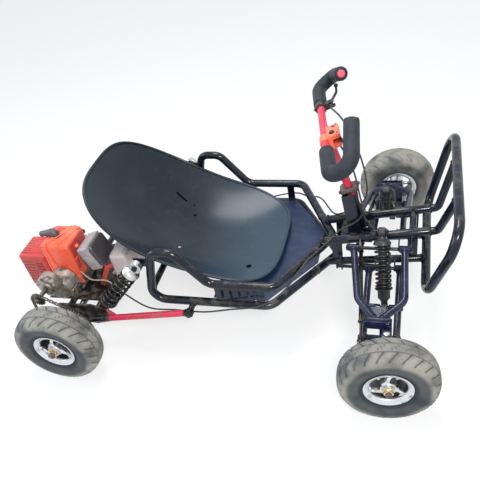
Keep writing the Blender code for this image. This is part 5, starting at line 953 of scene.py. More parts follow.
column_shapes = [rod((0, 0, -0.2222), (0, 0, -0.385), COLUMN, 32),
                 block((-0.0425, -0.026, -0.378), (0.016, 0.026, -0.372), 0.0015),
                 weld((0, 0, -0.3715), (0, 0, 1), 0.0114, 0.0020)]
for side in (-1, 1):
    pin = at(*PLATE_PIN, 0.0, side)
    for make, high, low, radius in ((rod, 0.374, 0.3974, 0.0031), (nut, 0.3934, 0.3974, 0.006),
                                    (nut, 0.3719, 0.3679, 0.0056)):
        column_shapes.append(make(pin - (0, 0, high), pin - (0, 0, low), radius))
piece("column_foot", steered(column_shapes), FRAME_PAINT, "steering", ["handlebar"], "frame_paint")

clamp_centre = BAR_CENTRE + 0.200 * unit(CLAMP_CENTRE - BAR_CENTRE)
clamp_shapes = [collar(0.0120, 0.025, 0.018, -0.008, 0.008, 0.0014)]
for y in (-0.013, 0.013):
    for make, start, end, radius in ((nut, 0.0248, 0.0290, 0.0044), (rod, 0.0242, 0.0256, 0.0056)):
        clamp_shapes += [along_x(make, way * start, way * end, y, 0, radius) for way in (1, -1)]
clamp_shapes = [moved(shape, turn_y(-TILT).T, clamp_centre) for shape in clamp_shapes]
piece("bearing_block", clamp_shapes, DARK_STEEL, "chassis", ["column_clamp"], "bright_steel")


# %% Grips
GRIP_TOP = 0.7021


def grip(word, side):
    """A foam sleeve along the bar. Its radius grows over both round ends as a quarter circle, and its
    raised tip is pressed flat at the height of the bar's own end."""
    steps, rounding = 72, 0.006
    path = stretch(bar_path(side), 0.132, -0.0012, steps)
    share = np.linspace(0.0, 1.0, steps)
    length = np.linalg.norm(np.diff(path, axis=0), axis=1).sum()
    near_end = np.clip(np.minimum(share, 1 - share) * length / rounding, 0.0, 1.0)
    radius = 0.0135 + 0.0055 * np.sqrt(1 - (1 - near_end) ** 2)
    points, faces = steered([tube(path, radius, 36, 0.0015)])[0]
    points[:, 2] = np.minimum(points[:, 2], GRIP_TOP)
    piece(f"foam_{word}", [(points, faces)], FOAM, "steering", [f"grip_{word}"], "foam_grip", 50.0)


for word, side in SIDES:
    grip(word, side)


# %% Brake perch and lever
lever_pivot = np.array([0.030, 0.118, 0.0])
perch = [turned(sleeve(0.108, 0.130, 0.0108, 0.0160), (0, 0, 0), (0, 1, 0), 40, True)]
for low, high in ((-0.0095, -0.0052), (0.0052, 0.0095)):
    perch.append(block((0.0135, 0.110, low), (0.040, 0.127, high), 0.0016))
perch += [block((0.0125, 0.108, -0.0095), (0.0250, 0.1112, 0.0095), 0.0014),
          along_y(rod, 0.100, 0.112, 0.028, 0, 0.0045), along_y(nut, 0.1035, 0.1065, 0.028, 0, 0.0058),
          rod(lever_pivot - (0, 0, 0.0103), lever_pivot + (0, 0, 0.0103), 0.0025),
          nut(lever_pivot + (0, 0, 0.0092), lever_pivot + (0, 0, 0.0112), 0.0042),
          along_x(nut, -0.0195, -0.0150, 0.119, 0, 0.0042)]
piece("lever_perch", steered(perch), BLACK, "steering", ["brake_perch"], "black_plastic")


def pivoted(shapes, pivot):
    """Shapes made about a lever's pivot, put into the kart."""
    return steered([(points + pivot, faces) for points, faces in shapes])


blade_line = bent([(0, 0, 0), (0.004, 0.020, 0), (0.020, 0.060, 0), (0.022, 0.105, 0)], (0.020, 0.030), 10)
blade_radius = np.interp(np.arange(len(blade_line)), [0, len(blade_line) * 0.4, len(blade_line) - 1],
                         [0.0040, 0.0044, 0.0034])
ball = [(0.0062 - 0.0062 * math.cos(a), 0.0062 * math.sin(a)) for a in np.linspace(0, math.pi, 15)]
lever = [tube(blade_line, blade_radius, 20, flat=0.72), rod((0, 0, -0.0045), (0, 0, 0.0045), 0.0058),
         turned(ball, (0.022, 0.0985, 0), (0, 1, 0), 28)]
piece("lever_blade", pivoted(lever, lever_pivot), BLACK, "brake_lever", ["brake_lever"], "black_plastic")


# %% Throttle housing and trigger
trigger_pivot = np.array([0.029, -0.060, 0.0])
button = np.array([0.024, -0.090, 0.0])
housing = [turned(sleeve(-0.096, -0.064, 0.0107, 0.0142, 0.0015, 0.0014), (0, 0, 0), (0, 1, 0), 40, True),
           block((0.0085, -0.105, -0.019), (0.0195, -0.045, 0.020), 0.0040, 5),
           block((0.0120, -0.104, 0.0056), (0.0420, -0.047, 0.0205), 0.0050, 5),
           block((0.0120, -0.100, -0.0200), (0.0380, -0.049, -0.0056), 0.0045, 5),
           block((0.0150, -0.0747, 0.0190), (0.0405, -0.0733, 0.0209), 0.0004)]
piece("throttle_shell", steered(housing), ORANGE, "steering", ["throttle_housing"], "orange_plastic")
dome = [(0.0, 0.0062), (0.0032, 0.0062), (0.0042, 0.0050), (0.0046, 0.0)]
fittings = [rod(button + (0, 0, 0.0195), button + (0, 0, 0.0215), 0.0078),
            turned(dome, button + (0, 0, 0.0210), (0, 0, 1)),
            rod(trigger_pivot - (0, 0, 0.0203), trigger_pivot + (0, 0, 0.0208), 0.0025),
            nut(trigger_pivot + (0, 0, 0.0200), trigger_pivot + (0, 0, 0.0222), 0.0042)]
for y in (-0.052, -0.098):
    fittings.append(rod((0.0360, y, 0.0200), (0.0360, y, 0.0212), 0.0026))
piece("throttle_fittings", steered(fittings), BLACK, "steering", ["throttle_housing"], "black_plastic")

trigger_line = bent([(0, 0, 0), (0.006, -0.020, 0), (0.016, -0.062, 0)], (0.030,), 12)
trigger = [tube(trigger_line, 0.0040, 20, 0.0014, flat=0.9), rod((0, 0, -0.0045), (0, 0, 0.0045), 0.0056)]
piece("trigger_blade", pivoted(trigger, trigger_pivot), BLACK, "throttle_trigger", ["throttle_trigger"],
      "black_plastic")


# %% Tie rods
STEER_ARM = (-0.066, 0.008)


def tie_rod(word, side):
    """The ball on the column's plate, the rod with its two lock nuts, and the end over the knuckle."""
    inner = BAR_CENTRE + STEER @ at(*PLATE_PIN, -0.386, side)
    outer = at(WHEELBASE, KINGPIN_Y, 0.1756, side) + turn_z(WHEEL_TURN) @ at(*STEER_ARM, 0.0, side)
    up = STEER[:, 2]
    around = np.linspace(0.45, math.pi - 0.45, 13)
    ball = [(-0.0066 * math.cos(a), max(0.0031, 0.0071 * math.sin(a))) for a in around]
    paired(word, "rod_ball", [turned(ball, inner, up, 28)], BRIGHT_STEEL, "tie_ball", "tie_rod_ball",
           "bright_steel", 50.0)

    def share(value):
        return inner + (outer - inner) * value

    paired(word, "rod_tube", [tube([share(0.030), share(0.81)], 0.006, 24, 0.001)], SPRING_PAINT, "tie_rod",
           "tie_rod", "bright_steel")
    eye = sleeve(-0.0035, 0.0035, 0.0076, 0.0108, 0.0010)
    shapes = [turned(eye, inner, up, 36, True), tube([share(0.79), share(0.995)], 0.0038, 20, 0.0005),
              nut(share(0.08), share(0.105), 0.0082), nut(share(0.80), share(0.825), 0.0082),
              rod(outer - (0, 0, 0.004), outer + (0, 0, 0.004), 0.0106),
              nut(outer + (0, 0, 0.0038), outer + (0, 0, 0.008), 0.006)]
    paired(word, "rod_shank", shapes, SPRING_PAINT, "tie_rod", "tie_rod", "bright_steel")


for word, side in SIDES:
    tie_rod(word, side)

# %% [markdown]
# ## Front suspension
# Every front wheel hangs on two arms that turn on long bolts. The upper one bends in to a single
# bush, the lower one is a fork. Between their tips stands the upright with the kingpin, and on the
# kingpin turns the knuckle with the stub axle. Each arm, upright and knuckle rides on its own body.

# %% Bushes and arms
ARM_TUBE = 0.010
UPPER_TIP, LOWER_TIP = (0.300, 0.207), (0.300, 0.132)


def bush(centre, length, radius=0.0105, bore=0.0056, direction=(1, 0, 0), edge=0.0012):
    """A ring about a bolt: a sleeve's profile turned about the bolt's axis."""
    return turned(sleeve(-length / 2, length / 2, bore, radius, edge), centre, direction, 36, True)


def upper_arm(word, side):
    """Two bent legs between the frame's bolts and the bush at the tip, with a gusset in the knee."""
    shapes = []
    for x, knee_x, tip_x in ((0.843, 0.867, 0.917), (0.984, 0.991, 0.933)):
        legs = [at(x, 0.083, UPPER_BOLT[1], side), at(knee_x, 0.240, 0.222, side),
                at(tip_x, 0.297, 0.207, side)]
        path = bent(legs, (0.035,), 10)
        shapes += [bush(at(x, *UPPER_BOLT, side), 0.029), tube(path, ARM_TUBE, 26),
                   weld(path[0] + (path[1] - path[0]) * 0.052, path[1] - path[0], 0.0098, 0.0019),
                   weld(path[-1] - unit(path[-1] - path[-2]) * 0.009, path[-1] - path[-2], 0.0098, 0.0018)]
    shapes.append(bush(at(0.925, *UPPER_TIP, side), 0.056))
    corners = [(-0.024, 0.0), (0.024, 0.0), (0.017, 0.030), (-0.017, 0.030)]
    slope = unit(at(0.0, 0.032, -0.008, side))
    shapes.append(plate(corners, 0.004, at(0.925, 0.262, 0.2165, side), (1, 0, 0), slope, 0.0008))
    paired(word, "upper_wishbone", shapes, ARM_PAINT, "upper_arm", "upper_arm", "frame_paint")


def lower_arm(word, side):
    """Two straight legs, the cross bar that carries the damper's foot and the upright's bolt."""
    shapes = []
    for x in (0.885, 0.973):
        foot, tip = at(x, 0.083, 0.186, side), at(x, *LOWER_TIP, side)
        shapes += [bush(at(x, *LOWER_BOLT, side), 0.029), tube([foot, tip], ARM_TUBE, 26),
                   bush(tip, 0.017), weld(foot + (tip - foot) * 0.047, tip - foot, 0.0098, 0.0019),
                   weld(tip - (tip - foot) * 0.042, tip - foot, 0.0098, 0.0018)]
    for y, z, head in ((*LOWER_TIP, 0.0075), (*FRONT_DAMPER_FOOT[1:], 0.0085)):
        shapes.append(along_x(rod, 0.876, 0.982, y, z, BOLT, side))
        for x, step in ((0.8755, -0.0045), (0.9825, 0.0045)):
            shapes.append(along_x(nut, x, x + step, y, z, head, side))
    for start, end in ((0.885, 0.9244), (0.9476, 0.973)):
        shapes.append(along_x(rod, start, end, *FRONT_DAMPER_FOOT[1:], 0.0085, side))
    paired(word, "lower_fork", shapes, ARM_PAINT, "lower_arm", "lower_arm", "frame_paint")


# %% Uprights and knuckles
def upright(word, side):
    """The folded plate between both arms, and the two lugs that hold the kingpin."""
    shapes = [bush(at(0.929, *LOWER_TIP, side), 0.068)]

    def slab(low, high, edge=0.0009):
        corners = np.array([at(*low, side), at(*high, side)])
        return block(corners.min(0), corners.max(0), edge)

    shapes.append(slab((0.930, 0.3075, 0.082), (0.962, 0.3156, 0.1945)))
    shapes.append(slab((0.8905, 0.3118, 0.190), (0.962, 0.3156, 0.2175)))
    for x in (0.8945, 0.9555):
        shapes.append(slab((x - 0.002, 0.2935, 0.198), (x + 0.002, 0.3146, 0.216)))
    shapes.append(along_x(rod, 0.890, 0.960, *UPPER_TIP, BOLT, side))
    for x, step in ((0.8930, -0.0045), (0.9570, 0.0045)):
        shapes.append(along_x(nut, x, x + step, *UPPER_TIP, 0.0080, side))
    for z, weld_z in ((0.082, 0.0885), (0.190, 0.1895)):
        shapes.append(slab((0.937, 0.3118, z), (0.9615, 0.348, z + 0.006), 0.0012))
        for x in np.linspace(0.940, 0.959, 7):
            shapes.append(weld(at(x, 0.3160, weld_z, side), (0, 0, 1), 0.0001, 0.0017, 6))

    def on_kingpin(z):
        return at(WHEELBASE, KINGPIN_Y, z, side)

    shapes.append(rod(on_kingpin(0.076), on_kingpin(0.200), 0.0060))
    paired(word, "upright_plate", shapes, ARM_PAINT, "upright", "upright", "frame_paint")
    king = [nut(on_kingpin(0.1955), on_kingpin(0.2010), 0.0092),
            nut(on_kingpin(0.0825), on_kingpin(0.0780), 0.0088)]
    paired(word, "kingpin_nuts", king, BRIGHT_STEEL, "upright", "upright", "frame_paint")


def knuckle(word, side):
    """The barrel on the kingpin, the stub axle, the steering arm and the brass-coloured wheel nut."""
    nut_y = STUB + HUB_HALF + 0.0007
    end = at(*STEER_ARM, 0.0, side)
    along = unit(end)
    arm_z = np.array([0.0, 0.0, 0.1655])
    arc = np.linspace(-math.pi / 2, math.pi / 2, 11)
    tip = np.stack([np.linalg.norm(end) + 0.0088 * np.cos(arc), 0.0088 * np.sin(arc)], -1)
    outline = np.concatenate([[[-0.004, 0.0085], [-0.004, -0.0085]], tip])
    stub = [(0.0085, 0.0), (0.0085, 0.0137), (0.040, 0.0122), (0.0541, 0.0115), (0.0541, 0.0)]
    shapes = [
        turned(sleeve(0.0886, 0.1894, 0.0062, 0.0120), (0, 0, 0), (0, 0, 1), 40, True),
        along_y(rod, 0.009, nut_y + 0.014, 0, AXLE_Z, 0.0085, side),
        turned(stub, (0, 0, AXLE_Z), (0, side, 0), 40),
        plate(outline, 0.006, arm_z, along, np.cross((0, 0, 1), along), 0.0010),
        rod(end + (0, 0, 0.155), end + (0, 0, 0.170), 0.0092, edge=0.0012),
        nut(end + (0, 0, 0.1550), end + (0, 0, 0.1512), 0.0068),
        weld((0, side * 0.0112, AXLE_Z), (0, 1, 0), 0.0136, 0.0018),
    ]
    axes, origin = turn_z(WHEEL_TURN).T, at(WHEELBASE, KINGPIN_Y, 0.0, side)
    paired(word, "knuckle_body", [moved(shape, axes, origin) for shape in shapes], DARK_STEEL, "knuckle",
           "knuckle", "bright_steel")
    wheel_nut = [along_y(nut, nut_y, nut_y + 0.009, 0, AXLE_Z, 0.0130, side),
                 along_y(rod, nut_y - 0.0006, nut_y + 0.001, 0, AXLE_Z, 0.0150, side),
                 along_y(rod, nut_y, nut_y + 0.0138, 0, AXLE_Z, 0.0083, side)]
    paired(word, "front_nut", [moved(shape, axes, origin) for shape in wheel_nut], BRASS, "knuckle",
           "knuckle", "bright_steel")


for word, side in SIDES:
    upper_arm(word, side)
    lower_arm(word, side)
    upright(word, side)
    knuckle(word, side)

# %% [markdown]
# ## Springs and dampers
# A coil spring is a helix, P(t) = A + z(t) a + R (cos t, sin t). Its last turns lie against each other,
# so z(t) starts and ends with a small slope and climbs evenly in between. The spring hangs between
# two bodies: the upper perch belongs to the damper's body and the lower one to its rod.

# %% Coil-over dampers
WIRE = 0.0032


def spring_line(start, end, radius, wire, turns, per_turn=26):
    """The centre line of a coil spring with closed ends."""
    axis = unit(end - start)
    first, second = square_to(axis)
    turn = np.linspace(0.0, turns, turns * per_turn + 1)
    slope = 1 / (1 + np.exp(-(np.minimum(turn, turns - turn) - 0.9) * 9.0))
    length = np.linalg.norm(end - start) - 2 * wire
    flat = 2.1 * wire * turn
    climb = np.concatenate([[0.0], np.cumsum((slope[1:] + slope[:-1]) / 2)])
    along = wire + flat + climb / climb[-1] * (length - flat[-1])
    angle = (2 * math.pi * turn)[:, None]
    return start + axis * along[:, None] + radius * (np.cos(angle) * first + np.sin(angle) * second)


def damper_profiles(length, low, perch, can):
    """Outlines about the damper's axis, measured from its upper eye: the cap with the upper perch,
    the body's tube, the rod, and the can with the lower perch and the neck down to the eye."""
    cap = [(0.006, 0.0), (0.006, 0.0088), (0.014, 0.0095), (0.019, 0.0125), (0.0225, perch - 0.0042),
           (0.0240, perch - 0.0030), (0.0305, perch), (0.0335, perch), (0.0340, perch - 0.0010),
           (0.0340, 0.0)]
    body = [(0.0338, 0.0), (0.0338, 0.0118), (length * 0.59, 0.0118),
            (length * 0.60, 0.0108), (length * 0.60, 0.0066), (0.0380, 0.0066), (0.0380, 0.0)]
    chrome = [(length * 0.41, 0.0), (length * 0.41, 0.0052), (length * 0.415, 0.0060), (low + 0.002, 0.0060),
              (low + 0.002, 0.0)]
    neck = length - 0.034
    foot = [(low - 0.046, 0.0123), (low - 0.046, can - 0.0015), (low - 0.0445, can), (low, can),
            (low, perch - 0.0010), (low + 0.0006, perch), (low + 0.0034, perch),
            (low + 0.0046, perch - 0.0014),
            (low + 0.0052, can + 0.0030), (neck + 0.007, can + 0.0026), (neck + 0.012, 0.0125),
            (neck + 0.016, 0.0095), (length - 0.0086, 0.0088), (length - 0.0086, 0.0),
            (low - 0.002, 0.0), (low - 0.002, 0.0123)]
    return cap, body, chrome, foot


def damper(place, word, top, foot, pin_axis, spring_radius, turns):
    """The body above, the rod below and the spring round both."""
    name = f"{place}_damper"
    body_name, rod_name = f"{name}_{word}", f"{name}_rod_{word}"
    upper, lower = [f"{name}_{word}_body"], [f"{name}_{word}_rod"]
    axis = unit(foot - top)
    length = float(np.linalg.norm(foot - top))
    if place == "front":
        low, top_finish, reach = length - 0.056, BLACK, 0.0140
    else:
        low, top_finish, reach = length - 0.034, BRIGHT_STEEL, 0.0185
    perch, can = spring_radius + 0.0048, spring_radius - 0.0052
    cap, body, chrome, foot_profile = damper_profiles(length, low, perch, can)
    eye = turned(sleeve(-0.009, 0.009, 0.0056, reach, 0.0012, 0.0015), top, pin_axis, 48, True)
    piece(f"{name}_top_eye_{word}", [eye], top_finish, body_name, upper, "black_plastic")
    piece(f"{name}_cap_{word}", [turned(cap, top, axis, 48)], top_finish, body_name, upper, "black_plastic")
    piece(f"{name}_tube_{word}", [turned(body, top, axis, 44)], BLACK, body_name, upper, "black_plastic")
    piece(f"{name}_chrome_{word}", [turned(chrome, top, axis, 32)], BRIGHT_STEEL, rod_name, lower,
          "bright_steel")
    low_eye = turned(sleeve(-0.009, 0.009, 0.0080, 0.0140, 0.0012, 0.0015), foot, pin_axis, 40, True)
    foot_shapes = [turned(foot_profile, top, axis, 44, True), low_eye]
    piece(f"{name}_foot_{word}", foot_shapes, BLACK, rod_name, lower, "bright_steel")

    start, end = top + axis * 0.0342, top + axis * (low - 0.0002)
    line = spring_line(start, end, spring_radius, WIRE, turns)
    spring = piece(f"{name}_coil_{word}", [tube(line, WIRE, 14, 0.0004)], SPRING_PAINT, None,
                   [f"{name}_{word}_spring"], "spring_black", 60.0)
    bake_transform(spring)


for word, side in SIDES:
    damper("front", word, at(*FRONT_DAMPER_TOP, side), at(*FRONT_DAMPER_FOOT, side), (1, 0, 0), 0.0195, 10)
    damper("rear", word, at(*REAR_DAMPER_TOP, side), at(*REAR_DAMPER_FOOT, side), (0, 1, 0), 0.0220, 8)

# %% [markdown]
# ## Wheels
# A tyre is one grid: the angle round the axle times the way across the section. The section is a
# superellipse, r = 97 + 33 |cos s|^0.75 and y = 44 |sin s|^0.75 in mm, which gives a round crown and
# full shoulders, and a wall that draws in to the rim. The tread is a depth taken off along the
# section's normal: two grooves that run round, slanted ones on the shoulders and short sipes between
# them. The same depth, turned round, says where dust lies.

# %% Tyres
GROOVE = 0.0022
def ramp(value, low, high):
    """Smooth step between two values."""
    share = np.clip((value - low) / (high - low), 0.0, 1.0)
    return share * share * (3 - 2 * share)


def tyre_section(count=46):
    """Radius and height across the tyre, from one bead over the crown to the other."""
    s = np.linspace(-math.pi / 2, math.pi / 2, count + 1)
    crown = np.stack([0.097 + 0.033 * np.abs(np.cos(s)) ** 0.75,
                      np.sign(s) * 0.044 * np.abs(np.sin(s)) ** 0.75], -1)
    t = np.linspace(0.0, 1.0, 12)[1:]
    wall = np.stack([0.097 - 0.0338 * t, 0.0326 + 0.0114 * np.cos(math.pi * t / 2)], -1)
    bead = np.array([[0.0605, 0.0322], [0.0560, 0.0290], [0.0520, 0.0245]])
    side = np.concatenate([wall, bead])
    return np.concatenate([(side * (1, -1))[::-1], crown, side])


def groove(phase, width):
    """A notch once in each turn of the phase, from 1 at its bottom to 0 beside it."""
    distance = np.abs((phase + 0.5) % 1.0 - 0.5)
    return 1 - ramp(distance, width * 0.55, width)


def tread_depth(turn, radius, y):
    """Depth of the tread at each point: the deepest of the two grooves round the tyre, the slanted
    notches of the shoulders, the middle row's notches and the short sipes between them."""
    off = np.abs(y)
    way = np.sign(y) * 0.25 + turn
    slant = (off - 0.012) * 26.0
    outer = 1 - ramp(np.abs(off - 0.0125), 0.0009, 0.0019) + 0 * turn
    shoulder = groove(way + slant, 0.12) * ramp(off, 0.0145, 0.0165) * (1 - ramp(off, 0.0385, 0.0410))
    shoulder = shoulder * ramp(radius, 0.1075, 0.1120)
    centre = groove(turn + 0.5 + y * 38.0, 0.095) * (1 - ramp(off, 0.0085, 0.0105))
    fine = groove(2 * (way + 0.25 + slant), 0.13) * ramp(off, 0.018, 0.020) * (1 - ramp(off, 0.031, 0.034))
    fine = fine * ramp(radius, 0.112, 0.116)
    return np.maximum.reduce([0.0018 * outer, GROOVE * shoulder, 0.0016 * centre, 0.0009 * fine])


def tyre_shape(steps=576, blocks=24):
    """The tyre about the Y axis with its tread, and the dust value at every point."""
    section = tyre_section()
    normal = np.gradient(section, axis=0)
    normal = unit(np.stack([normal[:, 1], -normal[:, 0]], -1))
    angle = np.linspace(0.0, 2 * math.pi, steps, endpoint=False)[:, None]
    radius, y = section[:, 0][None], section[:, 1][None]
    depth = tread_depth(angle * blocks / (2 * math.pi), radius, y)
    ring = (0.0009 * (1 - ramp(np.abs(radius - 0.0800), 0.0006, 0.0016))
            + 0.0008 * (1 - ramp(np.abs(radius - 0.0680), 0.0008, 0.0018)))
    moved_by = (depth - 0.6 * ring * (np.abs(y) > 0.030))[..., None] * normal[None]
    r, y_new = radius - moved_by[..., 0], y - moved_by[..., 1]
    points = np.stack([r * np.cos(angle), y_new + 0 * angle, r * np.sin(angle)], -1)
    # Lower in the grooves and on the wall by the rim, which leaves them darker.
    dust = ramp(radius, 0.090, 0.116) * (1 - 0.62 * np.clip(depth / GROOVE, 0, 1))
    dust = np.maximum(dust, 0.28 * ramp(radius, 0.066, 0.080)) * (1 - 0.25 * ramp(radius, 0.125, 0.130))
    return (points.reshape(-1, 3), [grid_faces(steps, len(section), True, True)]), (dust + 0 * angle).ravel()


TYRE, TYRE_DUST = tyre_shape()
print("tyre points:", len(TYRE[0]), "dust from", round(TYRE_DUST.min(), 2), "to", round(TYRE_DUST.max(), 2))


# %% Rims
def spoke(angle, start=0.0165, end=0.0500, steps=22, around=20):
    """A curved spoke: a superellipse carried from the hub to the barrel along a line that sweeps
    round by 24 degrees. It widens at both ends, which rounds the openings beside it."""
    share = np.linspace(0.0, 1.0, steps)
    reach = start + (end - start) * share
    heading = angle + math.radians(24.0) * (share - 0.5)
    wide = 0.0050 + 0.0090 * np.abs(2 * share - 1.05) ** 3.2
    thick = 0.0048 + 0.0016 * (1 - share)
    loop = np.linspace(0.0, 2 * math.pi, around, endpoint=False)
    c, s = np.cos(loop), np.sin(loop)
    c, s = np.sign(c) * np.abs(c) ** 0.6, np.sign(s) * np.abs(s) ** 0.6
    out = np.stack([np.cos(heading), 0 * heading, np.sin(heading)], -1)
    sideways = np.array([0.0, 1.0, 0.0])
    centre = out * reach[:, None] + sideways * 0.0205 + sideways * 0.0035 * (1 - share[:, None])
    along = unit(np.gradient(centre, axis=0) * (1, 0, 1))
    across = np.cross(along, sideways)
    points = centre[:, None] + wide[:, None, None] * c[:, None] * across[:, None]
    points = points + thick[:, None, None] * s[:, None] * sideways
    return points.reshape(-1, 3), [grid_faces(steps, around, False, True)]


def rim_shapes(bore):
    """Barrel with both lips, hub and three spokes; the open face looks towards +Y."""
    lip = [(0.0240, 0.0515), (0.0262, 0.0522), (0.0300, 0.0560), (0.0329, 0.0610), (0.0334, 0.0628),
           (0.0346, 0.0635), (0.0358, 0.0632), (0.0364, 0.0620), (0.0360, 0.0600), (0.0330, 0.0545),
           (0.0296, 0.0496), (0.0276, 0.0482), (0.0260, 0.0480)]
    ring = lip + [(-y, radius) for y, radius in lip[::-1]]
    hub = [(-0.0364, bore), (-0.0364, 0.0200), (-0.0352, 0.0210), (0.0290, 0.0210), (0.0302, 0.0198),
           (0.0304, 0.0172), (0.0354, 0.0168), (0.0364, 0.0158), (0.0364, bore)]
    shapes = [turned(ring, (0, 0, 0), (0, 1, 0), 96, True), turned(hub, (0, 0, 0), (0, 1, 0), 64, True)]
    shapes += [spoke(math.radians(90.0 + 120.0 * number)) for number in range(3)]
    shapes += [along_y(nut, 0.0296, 0.0325, x, z, 0.0032) for x, z in bolt_circle(3, 150.0, 0.0188, 0.0, 0.0)]
    valve = [(0.0, 0.0), (0.0, 0.0030), (0.010, 0.0028), (0.011, 0.0021), (0.016, 0.0021), (0.0165, 0.0)]
    shapes.append(turned(valve, (0.0470, 0.0200, 0.0), (-0.25, 1, 0), 20))
    return shapes


FAR_TYRE_DUST = 0.28


def wheel(place, word, side):
    """A rim and its tyre, turned about Z to face outwards. The left front tyre, far from the
    photograph's camera, is the dustiest."""
    axes = turn_z(0.0 if side > 0 else math.pi).T
    centre = at(0.0, TRACK_REAR / 2, AXLE_Z, side)
    body, bore = "rear_axle", 0.0103
    if place == "front":
        steer = turn_z(WHEEL_TURN)
        centre = at(WHEELBASE, KINGPIN_Y, AXLE_Z, side) + steer @ at(0.0, STUB, 0.0, side)
        axes = (steer @ axes.T).T
        body, bore = f"front_wheel_{word}", 0.0090
    rim_node = [f"{place}_rim_{word}"]
    cast = [moved(shape, axes, centre) for shape in rim_shapes(bore)]
    piece(f"{place}_rim_cast_{word}", cast, RIM_METAL, body, rim_node, "rim_silver")
    # A thin black band over the barrel's inner wall is painted shade, seen through the openings between the
    # spokes.
    inside = [(-0.0262, 0.0479), (0.0228, 0.0479), (0.0228, 0.0475), (-0.0262, 0.0475)]
    shade_lining = turned(inside, (0, 0, 0), (0, 1, 0), 72, True)
    piece(f"{place}_rim_painted_shade_{word}", [moved(shade_lining, axes, centre)], BLACK, body, rim_node, "rim_silver")
    extra = FAR_TYRE_DUST if place == "front" and side > 0 else 0.0
    piece(f"{place}_tread_{word}", [moved(TYRE, axes, centre)], RUBBER, body, [f"{place}_tyre_{word}"],
          "tyre_rubber", 38.0, dust=np.clip(TYRE_DUST + extra, 0.0, 1.0))


for place in ("front", "rear"):
    for word, side in SIDES:
        wheel(place, word, side)

# %% [markdown]
# ## Rear frame, axle and chain
# One frame swings at the rear. It carries the axle in two bearings, the engine on a plate and the
# brake. A roller chain has an exact geometry: links of one pitch p lie on both sprockets' pitch
# circles, and a sprocket with n teeth has the pitch radius p / (2 sin(pi / n)).

# %% Swinging frame
PLATE_Z = 0.148
BRAKE_Y = 0.330


def swing_side(side):
    """One side: the arm, the plate with the axle's bearing, and the bolt of the damper's foot."""
    pivot_x, pivot_z = SWING_PIVOT
    arm_y = 0.290
    corners = [at(x, arm_y, z, side) for x, z in ((0.3764, 0.170), (0.133, 0.124), (0.030, 0.104))]
    arm = bent(corners, (0.080,), 14)
    carrier = [(-0.050, 0.098), (0.060, 0.090), (0.135, 0.112), (0.133, 0.136), (0.112, 0.157),
               (0.060, 0.172), (-0.050, 0.168)]
    shapes = [tube(arm, ARM_TUBE, 26),
              bush(at(pivot_x, arm_y, pivot_z, side), 0.018, 0.0125, direction=(0, 1, 0)),
              weld(at(0.3755, arm_y, 0.1699, side), (1, 0, 0.19), 0.0098, 0.0018),
              plate(carrier, 0.008, at(0, 0.287, 0, side), (1, 0, 0), (0, 0, 1), 0.0012)]
    housing = [(0.2770, 0.0106), (0.2770, 0.0285), (0.2785, 0.0300), (0.2955, 0.0300), (0.2970, 0.0285),
               (0.2970, 0.0200), (0.2960, 0.0190), (0.2960, 0.0106)]
    shapes.append(turned(housing, (0, 0, AXLE_Z), (0, side, 0), 56, True))
    for x, z in bolt_circle(4, 45.0, 0.0245, 0.0, AXLE_Z):
        shapes.append(along_y(nut, 0.2965, 0.3000, x, z, 0.0040, side))
    x, z = REAR_DAMPER_FOOT[::2]
    for make, start, end, radius in ((rod, 0.285, 0.2713, 0.0085), (rod, 0.285, 0.249, BOLT),
                                     (nut, 0.2527, 0.2470, 0.0090), (nut, 0.2908, 0.2955, 0.0080)):
        shapes.append(along_y(make, start, end, x, z, radius, side))
    return shapes


def swing_frame():
    """Both sides, two cross tubes, the engine's plate with its bolts, and the brake's caliper."""
    shapes = swing_side(-1) + swing_side(1)
    cross_z = 0.134
    for x in (-0.035, 0.064):
        shapes.append(along_y(rod, -0.285, 0.285, x, cross_z, ARM_TUBE))
        for side in (-1, 1):
            shapes.append(weld(at(x, 0.2828, cross_z, side), (0, 1, 0), 0.0099, 0.0019))
    shapes.append(block((-0.115, -0.245, 0.1435), (0.092, 0.020, PLATE_Z), 0.0012))
    for x, y in ((-0.105, -0.235), (-0.105, 0.010), (0.082, -0.235), (0.082, 0.010)):
        shapes.append(nut((x, y, PLATE_Z - 0.0002), (x, y, PLATE_Z + 0.0045), 0.0065))
    shapes += [block((0.040, 0.285, 0.150), (0.076, 0.326, 0.168), 0.0012),
               block((0.038, 0.3150, 0.158), (0.078, 0.3272, 0.204), 0.0030),
               block((0.038, 0.3328, 0.158), (0.078, 0.3450, 0.204), 0.0030),
               block((0.0745, 0.3180, 0.160), (0.079, 0.3430, 0.202), 0.0020),
               block((0.041, 0.3180, 0.2005), (0.076, 0.3430, 0.205), 0.0015)]
    piece("swing_tubes", shapes, SWING_PAINT, "swing", ["swing_frame"], "frame_paint")


swing_frame()

# %% Axle, brake disc and sprockets
PITCH = 0.0080
BIG_TEETH, SMALL_TEETH = 66, 16
BIG_RADIUS = PITCH / (2 * math.sin(math.pi / BIG_TEETH))
SMALL_RADIUS = PITCH / (2 * math.sin(math.pi / SMALL_TEETH))
CHAIN_Y = -0.345
DRIVE_X, DRIVE_Z = -0.055, 0.245
print("pitch radii in mm:", round(1000 * BIG_RADIUS, 1), round(1000 * SMALL_RADIUS, 1))


